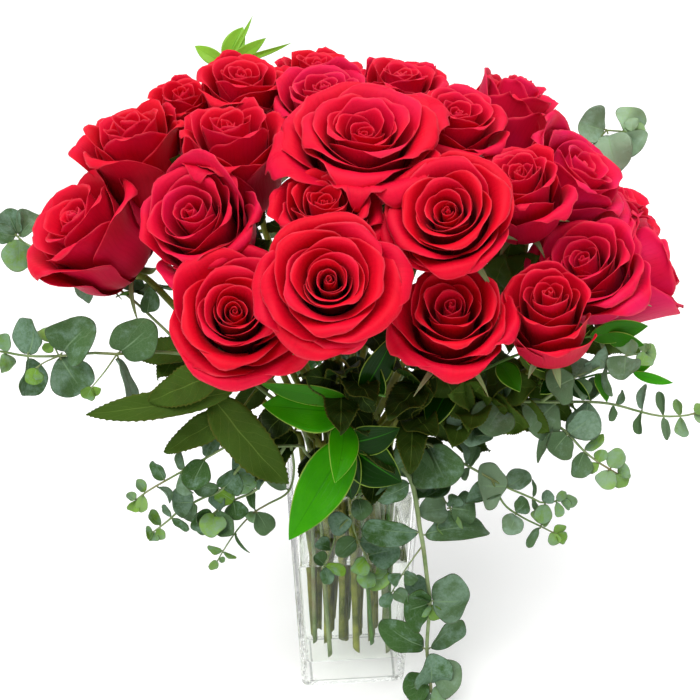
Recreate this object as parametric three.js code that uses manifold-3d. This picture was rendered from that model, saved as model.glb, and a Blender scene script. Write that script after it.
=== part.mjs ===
// Two dozen red roses with eucalyptus and glossy-leaved shoots, standing in a square glass vase of water.
// Millimetres, +Z up. The origin is the middle of the vase's underside, and the vase's sides are square to X and Y.
import * as THREE from 'three';
import * as BufferGeometryUtils from 'three/addons/utils/BufferGeometryUtils.js';
import Module from 'manifold-3d';

const wasm = await Module();
wasm.setup();

// ---- driving dimensions, mm ----
const VASE_HEIGHT = 200;
const VASE_BASE = 88;          // outer width across the flats at the bottom
const VASE_TOP = 100;          // outer width across the flats at the mouth
const VASE_WALL = 4.5;
const VASE_FLOOR = 24;         // thickness of the heavy base
const VASE_CORNER = 5;         // outer corner radius
const WATER_LEVEL = 130;
const STEM_RADIUS = 3.2;       // rose stems
const HIP_RADIUS = 6.2;        // the swelling under each bloom
const HIP_HEIGHT = 10;
const LEAF_THICK = 1.0;
const SMALLEST_LEAF = 17;      // shorter young leaves aren't solids of their own here
const GAP = 0.3;               // between touching pieces

// number, centre of the opening, direction it faces, base of the bloom, radius, height, how far open it is (0 to 1), points along the stem, leaves [on stem, blade base, blade tip, width, normal]
const ROSES = [
  { k: 1, C: [-190.1,-2.3,408.1], a: [-0.526,-0.363,0.769], B: [-155.4,21.7,357.4], R: 45, H: 66, open: 0.5, stem: [[-31.5,-4.6,36.4],[-37.2,2,203],[-45.4,4.8,223.8],[-61.3,8.8,243.1],[-77.2,12.7,262.3],[-93.2,16.5,281.5],[-109.2,20.3,300.6],[-125.2,24.1,319.7],[-141.2,27.8,338.8],[-153.3,23.2,354.3],[-155,22,356.8]], leaves: [[[-109.2,20.3,300.6],[-109.8,-15.1,307.6],[-155.7,-9.2,301.5],25.8,[-0.18,-0.695,0.696]], [[-87.9,15.3,275.1],[-94.7,15.2,268.9],[-134.9,17.5,256.2],24.7,[-0.306,-0.165,0.938]], [[-111.8,21,303.8],[-115.8,13.5,300.6],[-138.7,-22.4,289.1],30,[0.03,-0.324,0.946]]] },
  { k: 2, C: [-103.7,-51.5,422.7], a: [-0.224,-0.647,0.729], B: [-89.8,-11.4,377.5], R: 39, H: 62, open: 0.45, stem: [[-19.3,-3.3,30],[-25.1,2.2,203],[-29.8,3,224.5],[-38.7,2.8,247.1],[-47.6,2.6,269.6],[-56.6,2.2,292.1],[-65.5,1.8,314.5],[-74.4,1.3,336.8],[-83.3,0.7,359.2],[-88.9,-8.8,374.6],[-89.6,-10.9,376.9]], leaves: [[[-61,2,303.3],[-66.8,-38.3,300.5],[-102.7,-21.5,318.3],27.9,[0.178,-0.511,0.841]], [[-43.2,2.7,258.3],[-48.9,-4.4,254.2],[-77.3,-40,233.7],28.9,[-0.428,-0.17,0.888]], [[-52.1,2.4,280.8],[-58.6,-3.7,276.3],[-90.9,-34.1,253.4],24.9,[-0.319,-0.329,0.889]], [[-87.9,-7.2,372],[-80.6,-9.2,371.8],[-55.4,-32.6,394.3],24,[-0.578,-0.795,-0.181]]] },
  { k: 3, C: [-148.9,32,461.4], a: [-0.139,-0.242,0.96], B: [-138.7,49.9,390.4], R: 38, H: 74, open: 0.35, stem: [[-30.3,10.1,36.8],[-31,12.4,203],[-38.9,16.1,226.8],[-54.4,22.5,249.9],[-69.9,28.8,273.1],[-85.4,35,296.2],[-100.8,41.2,319.2],[-116.3,47.3,342.3],[-131.7,53.4,365.4],[-138.1,50.9,386.5],[-138.6,50.1,389.6]], leaves: [[[-95.7,39.1,311.6],[-100.6,49.8,306.2],[-126.6,90.2,301],30,[-0.198,-0,0.98]], [[-111.1,45.3,334.6],[-122.2,41.2,330.9],[-172.7,29.7,331.3],30,[-0.03,0.168,0.985]], [[-80.2,32.9,288.5],[-85.6,36.9,281.3],[-123.7,60.9,265.5],27.1,[-0.442,-0.114,0.89]], [[-136,51.7,379.5],[-138,50.5,378],[-159.8,39.9,411.8],26,[0.646,-0.742,0.182]], [[-138.1,50.9,386.5],[-135,47.1,394],[-116.6,24.9,437.4],26,[-0.228,-0.903,-0.364]]] },
  { k: 4, C: [-78.1,-5.1,467.3], a: [-0.043,-0.31,0.95], B: [-75.1,16.6,400.8], R: 38, H: 70, open: 0.45, stem: [[-5.2,-4.1,29.7],[-12.9,1.6,203],[-18,3.9,226.6],[-27,7,251.6],[-36,10.1,276.6],[-45,13.2,301.5],[-54,16.2,326.5],[-63,19.2,351.4],[-72,22.1,376.3],[-74.9,17.8,397],[-75.1,16.8,400]], leaves: [[[-30,8.1,259.9],[-38.9,3.9,259.2],[-70.2,-16.1,238.4],25.1,[-0.424,-0.244,0.872]], [[-49.5,14.7,314],[-57.8,19.6,311.4],[-89.8,38.3,301.1],24.4,[-0.417,-0.233,0.878]], [[-73.9,19.2,390.1],[-69.8,18.1,389.5],[-57.4,5.4,424.5],26,[-0.532,-0.839,-0.116]], [[-72.9,20.7,383.2],[-70.6,12.5,383.5],[-61.2,-25.8,392.8],26,[-0.843,-0.079,0.532]]] },
  { k: 5, C: [-116,71.8,473.5], a: [-0.032,-0.343,0.939], B: [-114.2,91,420.9], R: 31, H: 56, open: 0.3, stem: [[-27,19.3,28.3],[-23.7,24,203],[-30.3,30.5,230.2],[-43.6,41.6,257.5],[-56.9,52.7,284.8],[-70.2,63.7,312],[-83.5,74.6,339.2],[-96.7,85.4,366.3],[-110,96.2,393.5],[-114.1,92.4,417.2],[-114.2,91.3,420.2]], leaves: [[[-79.1,71,330.1],[-80,82.8,325.7],[-92.2,135.5,326.2],30,[-0.164,-0.047,0.985]], [[-92.3,81.8,357.3],[-104,81.6,352.2],[-152.5,87.2,350.3],30,[-0.018,0.171,0.985]], [[-90.1,80,352.8],[-99.1,81.5,348.6],[-137.9,88.2,330.5],30.5,[-0.304,0.472,0.827]]] },
  { k: 6, C: [-71.2,51.7,490], a: [0.037,-0.289,0.957], B: [-73.2,66.7,440.3], R: 36, H: 52, open: 0.5, stem: [[-16.6,7.4,31.6],[-17.5,12,203],[-21.9,17.4,231.5],[-30.3,26.5,261.5],[-38.7,35.6,291.5],[-47,44.6,321.5],[-55.3,53.5,351.5],[-63.6,62.4,381.4],[-71.9,71.2,411.4],[-73.3,67.8,436.4],[-73.2,66.9,439.5]], leaves: [[[-52.5,50.5,341.5],[-53.9,62.8,336],[-63.5,111.2,334.3],30,[-0.172,0.001,0.985]], [[-60.8,59.4,371.5],[-73.3,60.2,365.6],[-122.3,68.2,362.5],30,[-0.034,0.175,0.984]]] },
  { k: 7, C: [-17.5,84.2,493.1], a: [0.011,-0.166,0.986], B: [-18.1,92.8,441.8], R: 35, H: 52, open: 0.4, stem: [[-16,19.9,33],[-10.9,21.9,203],[-11.1,27.9,231.5],[-12.3,39,261.6],[-13.4,50.1,291.8],[-14.6,61.1,321.9],[-15.7,72.1,352.1],[-16.9,83,382.2],[-18,93.8,412.2],[-18.1,93.4,437.9],[-18.1,92.9,441]], leaves: [[[-15.3,68.4,342],[-9.9,79.5,336.7],[10.9,130.4,335.6],30,[-0.149,0.082,0.985]], [[-16.5,79.3,372.1],[-26.5,87.1,367.2],[-61.7,120.1,367.4],30,[0.119,0.121,0.985]]] },
  { k: 8, C: [-16.3,25.7,485.8], a: [-0.031,-0.343,0.939], B: [-14.7,43.5,437], R: 37, H: 52, open: 0.5, stem: [[-4.7,4.5,30.2],[-6.2,10.6,203],[-6.8,14.5,230.5],[-8,20.5,260.4],[-9.1,26.5,290.3],[-10.3,32.4,320.1],[-11.4,38.3,349.9],[-12.6,44.1,379.7],[-13.7,49.8,409.4],[-14.6,44.9,433.2],[-14.7,43.8,436.2]], leaves: [[[-10.7,34.4,330],[-19.4,38.7,331.1],[-60.9,54.7,312.5],30.2,[-0.277,0.332,0.902]]] },
  { k: 9, C: [43,68.3,487.6], a: [0.042,-0.231,0.972], B: [40.9,79.8,439], R: 34, H: 50, open: 0.45, stem: [[-5.4,17.1,34.4],[2.2,20.9,203],[5.6,26.3,231.1],[11.1,35.9,261],[16.7,45.4,290.8],[22.2,54.8,320.7],[27.6,64.2,350.5],[33.1,73.5,380.3],[38.6,82.8,410],[40.8,80.7,435.1],[40.9,80,438.2]], leaves: [[[25.8,61.1,340.5],[36.7,67,335.8],[78,93.1,336.8],30,[-0.107,0.134,0.985]], [[31.3,70.4,370.3],[27.7,82.6,365],[17.2,135.3,363.7],30,[0.161,0.056,0.985]]] },
  { k: 10, C: [6.5,-37.5,472.1], a: [-0.02,-0.465,0.885], B: [7.6,-12.4,424.3], R: 48.5, H: 54, open: 1, stem: [[6,-7.8,34.3],[-0.6,0,203],[-0.4,0.9,229],[1,0.5,257.5],[2.3,0.1,285.9],[3.6,-0.4,314.3],[5,-0.9,342.7],[6.3,-1.6,371],[7.6,-2.3,399.3],[7.7,-10.5,420.7],[7.6,-12,423.6]], leaves: [[[2.7,-0.1,295.4],[3.7,-8.7,295.1],[6.9,-48.4,271.8],27.1,[-0.061,-0.509,0.859]], [[4.1,-0.6,323.8],[8.1,-9.2,324.9],[22.7,-41.8,311.4],26.2,[-0.132,-0.43,0.893]], [[6.7,-1.8,380.4],[9.7,-5,382.2],[24.9,-20.7,418.4],26,[-0.392,-0.893,-0.222]]] },
  { k: 11, C: [72.8,2.8,472.3], a: [0.076,-0.41,0.909], B: [68.7,25,423.2], R: 34, H: 54, open: 0.5, stem: [[7.6,16.4,29.6],[6.7,10.3,203],[11.1,12.1,229.4],[20.1,15.7,257.5],[29,19.3,285.5],[37.9,22.9,313.5],[46.9,26.3,341.5],[55.8,29.7,369.4],[64.7,33,397.3],[68.4,26.6,419.6],[68.6,25.3,422.5]], leaves: [[[33.5,21.1,299.5],[40.7,15.2,296],[73.9,-11.7,279.8],30.9,[0.525,0.142,0.839]], [[51.3,28,355.4],[59.4,22.6,353],[91,1.8,343.5],28.8,[0.505,0.421,0.754]]] },
  { k: 12, C: [127.4,46.9,478.8], a: [0.36,-0.075,0.93], B: [102.8,52,415.5], R: 34, H: 68, open: 0.12, stem: [[6.1,28.1,34.6],[13.7,20,203],[20,22,229],[31.9,27.1,255.8],[43.9,32.2,282.6],[55.8,37.2,309.3],[67.8,42.2,336],[79.8,47.3,362.7],[91.8,52.3,389.3],[101.4,52.3,411.8],[102.6,52,414.8]], leaves: [[[63.8,40.6,327.1],[75.7,39.2,321.5],[131,37,317],30,[0.087,0.164,0.983]], [[75.8,45.6,353.8],[79.4,57.5,348.1],[98.6,101.1,343.7],30,[0.189,0.015,0.982]], [[37.9,29.6,269.2],[47,31.7,265.7],[87.9,40.7,250],24.1,[0.371,-0.068,0.926]]] },
  { k: 13, C: [161.4,-7.6,436.4], a: [0.462,-0.411,0.786], B: [132.8,17.8,387.6], R: 43, H: 62, open: 0.45, stem: [[20.8,15.1,31.1],[19.1,9.6,203],[26.4,10.9,227],[41.8,13.5,250.3],[57.2,16.1,273.6],[72.6,18.6,296.9],[88.1,21,320.1],[103.6,23.4,343.3],[119.1,25.8,366.4],[130.9,19.5,384.5],[132.4,18.2,387]], leaves: [[[82.9,20.2,312.4],[93.4,14.8,308.8],[144.3,-4.9,309.8],30,[0.044,0.166,0.985]], [[98.4,22.6,335.6],[105.2,32.6,331.8],[137.7,68.8,332.3],30,[0.12,-0.121,0.985]], [[49.5,14.8,262],[58.8,15,258.3],[102.7,16.1,240.6],24.7,[0.33,-0.514,0.792]], [[67.5,17.8,289.1],[74.4,19.3,282.9],[117.5,28.3,272.2],30.8,[0.249,-0.044,0.967]]] },
  { k: 14, C: [102.6,-44.9,442.9], a: [-0.254,-0.4,0.881], B: [116.8,-22.5,393.6], R: 30, H: 56, open: 0.45, stem: [[17.6,4.4,36.1],[25,-2.2,203],[35.3,-7,225.4],[49.3,-8,249.6],[63.2,-9,273.9],[77.1,-10,298.1],[90.9,-11.2,322.2],[104.7,-12.5,346.3],[118.5,-13.9,370.4],[117.9,-20.9,390.1],[117,-22.2,392.9]], leaves: [[[70.2,-9.5,286],[79.3,-7.8,282.3],[122.3,0.2,264.9],25.8,[0.406,-0.345,0.846]], [[84,-10.6,310.2],[90.3,-16.8,305.5],[118.4,-44.1,284.8],29.6,[0.343,-0.318,0.884]], [[109.3,-13,354.4],[105.7,-13.8,355.2],[110.5,-19.6,396.1],30,[-0.321,-0.942,-0.098]], [[104.7,-12.5,346.3],[105.1,-16.3,347.3],[123.3,-35.4,380.4],30,[-0.868,-0.447,0.218]], [[107,-12.7,350.3],[102.6,-17.7,350.5],[100.9,-41.6,382.7],26,[-0.688,-0.565,-0.456]], [[97.8,-11.9,334.3],[100.2,-20.4,333.9],[103.1,-57.9,318.9],28,[0.539,-0.278,0.795]]] },
  { k: 15, C: [48.2,-92.2,432.6], a: [-0.295,-0.709,0.641], B: [63.6,-55.4,399.3], R: 38, H: 52, open: 0.75, stem: [[3.1,-16.8,30.3],[6.2,-11,203],[11.5,-12.2,227.5],[20.9,-16.6,253.2],[30.3,-21,278.9],[39.6,-25.5,304.5],[48.8,-30.2,330],[58,-34.9,355.4],[67.2,-39.7,380.8],[64.7,-52.5,396.7],[63.8,-54.8,398.8]], leaves: [[[34.9,-23.3,291.7],[45.9,-47.9,285.6],[69,-55.9,249.9],28.3,[-0.121,-0.983,0.141]], [[25.6,-18.8,266],[33,-23.8,261.6],[64,-44.9,243],24.6,[0.35,-0.276,0.895]], [[34.9,-23.3,291.7],[43,-28.2,288.3],[75.8,-48.1,274.8],25.7,[0.079,-0.468,0.88]], [[66.8,-41.8,383.5],[58.7,-40.5,383.7],[20.3,-44,396.9],24,[0.299,-0.655,0.693]]] },
  { k: 16, C: [-20,-75.9,435.3], a: [-0.034,-0.478,0.878], B: [-18.4,-53,393.2], R: 31, H: 48, open: 0.6, stem: [[-8.7,-17.7,36.9],[-6.8,-11,203],[-7.5,-12.7,225.6],[-9.1,-17.5,249.9],[-10.8,-22.4,274.3],[-12.4,-27.3,298.5],[-14,-32.3,322.8],[-15.6,-37.4,346.9],[-17.3,-42.5,371.1],[-18.2,-51,389.7],[-18.3,-52.6,392.5]], leaves: [[[-11.6,-24.8,286.4],[-38.2,-43.9,281.8],[-66.4,-42.1,247.2],28.4,[-0.516,-0.766,0.383]], [[-9.9,-19.9,262.1],[-5.5,-28.7,260.1],[16.8,-71.9,250.4],26.7,[-0.277,-0.345,0.897]], [[-11.6,-24.8,286.4],[-8.3,-33.9,283.6],[7.3,-76.8,270.2],30.8,[-0.352,-0.393,0.85]], [[-18.2,-51,389.7],[-25,-45.5,391.7],[-56.4,-19.4,401.3],28,[0.02,-0.325,0.945]]] },
  { k: 17, C: [-20.5,-129.4,405.8], a: [-0.055,-0.799,0.599], B: [-17.6,-87.9,374.6], R: 38.5, H: 52, open: 0.85, stem: [[2.8,-30.8,31.9],[-1,-21.4,203],[-2.3,-24.1,224.6],[-4.6,-31.7,247.1],[-6.9,-39.4,269.6],[-9.2,-47.2,292],[-11.5,-55.1,314.3],[-13.8,-63.1,336.6],[-16.1,-71.1,358.8],[-17.4,-84.7,372.2],[-17.6,-87.3,374.1]], leaves: [[[-11.9,-56.4,318],[-3.5,-69.4,314.4],[10.6,-77.6,288.2],22.5,[-0.357,-0.929,0.101]], [[-5.8,-35.6,258.4],[-0.8,-43.9,255.9],[24,-85.3,243.6],24.8,[-0.121,-0.348,0.93]], [[-10,-49.8,299.4],[-14.1,-54.5,299.3],[-35.3,-83.1,320],30,[0.829,-0.554,0.082]], [[-11.1,-53.8,310.6],[-10.1,-59.1,307.4],[-9.1,-93.8,326],30,[-0.262,0.45,0.854]], [[-10.7,-52.5,306.9],[-7.2,-60.5,306.1],[8.1,-97.6,306.5],30,[0.039,0.028,0.999]], [[-9.2,-47.2,292],[-15.2,-52.2,291.6],[-43.4,-78.9,302.2],28,[0.614,-0.372,0.696]], [[-10.3,-51.2,303.2],[-10.9,-59.6,300.2],[-13.4,-99.9,286.3],28,[0.101,-0.332,0.938]]] },
  { k: 18, C: [-75.3,-98.3,375.9], a: [0.054,-0.732,0.679], B: [-78.2,-58.8,339.3], R: 42, H: 54, open: 0.75, stem: [[-21,-17,33.7],[-19.8,-8.9,203],[-24.4,-10.9,220.6],[-33.1,-16.5,238],[-41.9,-22.1,255.5],[-50.7,-27.8,272.8],[-59.4,-33.6,290.2],[-68.1,-39.5,307.4],[-76.8,-45.4,324.7],[-78.4,-55.8,336.5],[-78.2,-58.2,338.7]], leaves: [[[-71,-41.5,313.2],[-83.4,-62.6,298.7],[-184.2,-49.9,278.3],23,[-0.214,-0.8,0.561]], [[-76.8,-45.4,324.7],[-89.4,-58.9,312.1],[-138.4,-64.3,294.2],30.6,[-0.123,-0.807,0.578]], [[-69.5,-40.5,310.3],[-97.7,-55.8,292.4],[-48.2,-82.2,236.4],36.7,[-0.04,-0.916,0.398]], [[-60.8,-34.6,293],[-80,-51.4,276.5],[-133.3,-56.8,248.8],25,[-0.228,-0.774,0.59]], [[-28.8,-13.7,229.3],[-28.5,-23,225.6],[-27.5,-68.9,207.3],30.8,[-0.244,-0.364,0.899]], [[-37.5,-19.3,246.8],[-43.6,-25.9,242.3],[-71.5,-56.3,221.7],29.5,[-0.123,-0.477,0.87]]] },
  { k: 19, C: [53.8,-98.1,375.3], a: [-0.143,-0.534,0.833], B: [61.5,-69.2,330.3], R: 35, H: 54, open: 0.5, stem: [[16,-18.6,35.3],[10.3,-21.6,203],[14.2,-24.4,219],[22.1,-30.2,235],[30,-35.9,250.9],[38,-41.8,266.8],[45.9,-47.7,282.7],[53.7,-53.6,298.5],[61.6,-59.5,314.3],[62.1,-67.1,326.9],[61.6,-68.8,329.6]], leaves: [[[57.7,-56.6,306.4],[56.5,-54,308.8],[78.2,-67.5,273.1],31.6,[-0.285,-0.941,0.182]], [[56.4,-55.6,303.8],[52.3,-55.5,305.1],[28.8,-63.2,272.6],30.2,[-0.435,-0.755,0.491]], [[16.8,-26.3,224.4],[16.6,-36.1,222.6],[10.1,-72.8,209.1],28.8,[0.039,-0.351,0.936]], [[48.5,-49.6,287.9],[42.8,-53.5,290.8],[24.6,-76.4,318.3],32,[0.605,0.368,0.706]], [[43.2,-45.7,277.4],[41.6,-50.1,276.3],[49.4,-81.7,301.9],32,[-0.931,0.06,0.359]], [[53.7,-53.6,298.5],[48.2,-60.1,298.2],[18.6,-86,287.8],30,[-0.125,-0.242,0.962]], [[40.6,-43.7,272.1],[40.8,-51.2,270],[49.3,-90.9,275.7],30,[-0.346,0.06,0.936]], [[40.6,-43.7,272.1],[39.6,-52.5,270.2],[32,-103.2,255.1],26,[-0.093,-0.272,0.958]]] },
  { k: 20, C: [113.2,-99.6,380], a: [-0.236,-0.49,0.839], B: [127.8,-69.1,328], R: 29, H: 62, open: 0.1, stem: [[16.8,-8.7,33.2],[17.9,-12,203],[24.6,-10.8,224.4],[41.9,-18.8,238.7],[59.2,-26.7,253],[76.5,-34.7,267.3],[93.6,-42.6,281.7],[110.7,-50.6,296],[127.7,-58.6,310.3],[128.7,-67.2,324.6],[128,-68.8,327.3]], leaves: [[[128.6,-65.8,322.2],[108.6,-66.9,324],[146.3,-65.6,307],24.2,[0.018,-0.999,-0.035]], [[36.1,-16.1,233.9],[41.8,-18.2,227.6],[76.1,-32.2,211.6],28.2,[0.263,-0.371,0.89]], [[53.5,-24.1,248.3],[59.7,-25.2,242.5],[102.6,-36.7,226.4],30.7,[0.24,-0.36,0.902]], [[70.7,-32,262.6],[77.2,-33.1,257.5],[113.3,-42.2,246.9],26.1,[0.152,-0.427,0.892]], [[93.6,-42.6,281.7],[87.8,-48.7,284.9],[60.6,-76.7,299.9],32,[0.756,-0.621,0.209]], [[87.9,-40,276.9],[82.9,-44.5,278.6],[82.9,-74.9,304.6],32,[-0.555,-0.541,-0.632]], [[87.9,-40,276.9],[87.6,-42.7,278.5],[109.2,-65.9,305.1],30,[-0.828,-0.151,0.54]], [[87.9,-40,276.9],[84.7,-48.3,276.4],[73.3,-87.2,276.9],30,[-0.06,0.03,0.998]], [[79.3,-36,269.7],[77.8,-45,269.4],[63.9,-84.2,262.1],26,[-0.037,-0.171,0.985]], [[79.3,-36,269.7],[79.5,-40.4,268.4],[103.4,-71.7,281.7],28,[-0.81,-0.473,0.346]], [[90.7,-41.3,279.3],[92.1,-47.2,275.8],[114.6,-81.3,273.4],34,[-0.823,-0.552,0.133]], [[96.4,-44,284],[95.5,-46,281.9],[122.4,-69.2,298.4],34,[-0.717,-0.45,0.533]], [[102.1,-46.6,288.8],[103.9,-50.5,282],[131.3,-77.3,267.3],26,[-0.395,-0.718,0.573]]] },
  { k: 21, C: [145.2,-56.5,388.7], a: [-0.445,-0.441,0.779], B: [170.6,-31.4,344.3], R: 37, H: 57, open: 0.6, stem: [[29.5,17.2,29.8],[32.3,8.8,203],[44.4,6.2,223.6],[66.2,1.7,240.7],[88,-2.8,257.8],[109.6,-7.4,274.8],[131.1,-12.1,291.8],[152.5,-16.8,308.7],[173.9,-21.5,325.6],[172.3,-29.6,341.2],[170.9,-31,343.7]], leaves: [[[172.3,-29.6,341.2],[167.6,-50.9,330.9],[200.7,-45.8,312],20.8,[0.052,-0.983,-0.177]], [[80.7,-1.3,252.1],[85.8,-1,244.5],[124.2,-2.8,223.5],28.8,[0.446,-0.304,0.842]], [[123.9,-10.5,286.1],[127,-16.5,280.2],[159.9,-50.2,264.6],26.9,[0.491,0.08,0.867]], [[141.8,-14.4,300.3],[141.1,-23.3,301.3],[125.8,-60.4,296.4],28,[0.565,-0.331,0.756]], [[134.7,-12.9,294.6],[133.9,-18.1,292.4],[157.5,-47.1,304.4],28,[-0.732,-0.357,0.58]], [[127.5,-11.3,289],[129.8,-18.2,284.1],[153.6,-60.2,264.3],26,[-0.781,-0.566,0.265]]] },
  { k: 22, C: [223.4,-12.2,366.8], a: [0.883,-0.167,0.439], B: [163.4,-0.8,336.9], R: 44, H: 68, open: 0.12, stem: [[6.3,3.9,39.2],[12.6,-1.2,203],[22.2,-0.9,224.1],[41.7,0.2,241.2],[61.4,0.8,258.1],[81.1,1.3,275],[101,1.7,291.8],[121,2,308.5],[141,2.3,325.1],[159.9,-0.1,335.2],[162.7,-0.7,336.6]], leaves: [[[97.7,1.6,289],[102.6,-6.3,282.5],[142.3,-33.1,279.5],30,[0.145,0.104,0.984]], [[117.6,2,305.7],[122.2,10,298.7],[164.5,40.7,293],30,[0.184,-0.072,0.98]], [[159.9,-0.1,335.2],[156.3,-0.6,343.4],[137.5,-3.2,387.7],28,[-0.409,-0.884,-0.226]], [[147.3,1.5,328.5],[149.5,-3.6,323],[184.5,-35.4,303.9],26,[-0.401,-0.754,0.52]]] },
  { k: 23, C: [213.8,41.9,399.2], a: [0.49,-0.164,0.856], B: [186.3,51.1,351.3], R: 34, H: 56, open: 0.4, stem: [[33,29,27.7],[25.5,20.3,203],[36.3,22.5,225.2],[58.5,27.7,242.7],[80.8,32.9,260.2],[103.1,38,277.7],[125.4,43.1,295.2],[147.8,48.2,312.6],[170.1,53.2,329.9],[184.4,51.8,347.8],[185.9,51.3,350.6]], leaves: [[[121.7,42.2,292.2],[127.7,36.8,286.3],[178.3,22.9,285.8],30,[0.054,0.161,0.986]], [[144,47.3,309.7],[144.9,56.8,302.4],[172.8,94.5,297.7],30,[0.193,-0.019,0.981]]] },
  { k: 24, C: [-34.4,128.9,447.1], a: [-0.052,-0.344,0.938], B: [-31.6,147.4,396.5], R: 37, H: 54, open: 0.5, stem: [[-14.6,32.8,30.7],[-4.7,31.9,203],[-5.9,41.6,227.8],[-9.8,59.9,251.7],[-13.7,78.1,275.7],[-17.6,96.3,299.6],[-21.5,114.4,323.5],[-25.4,132.3,347.3],[-29.3,150.2,371.2],[-31.4,148.8,392.7],[-31.5,147.7,395.7]], leaves: [[[-20.2,108.3,315.5],[-13.8,118,310.6],[6.9,163.5,307.1],30,[-0.124,0.131,0.984]], [[-24.1,126.3,339.4],[-33.5,133.1,335],[-70.1,168.7,333.5],30,[0.097,0.14,0.985]]] },
];
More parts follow.
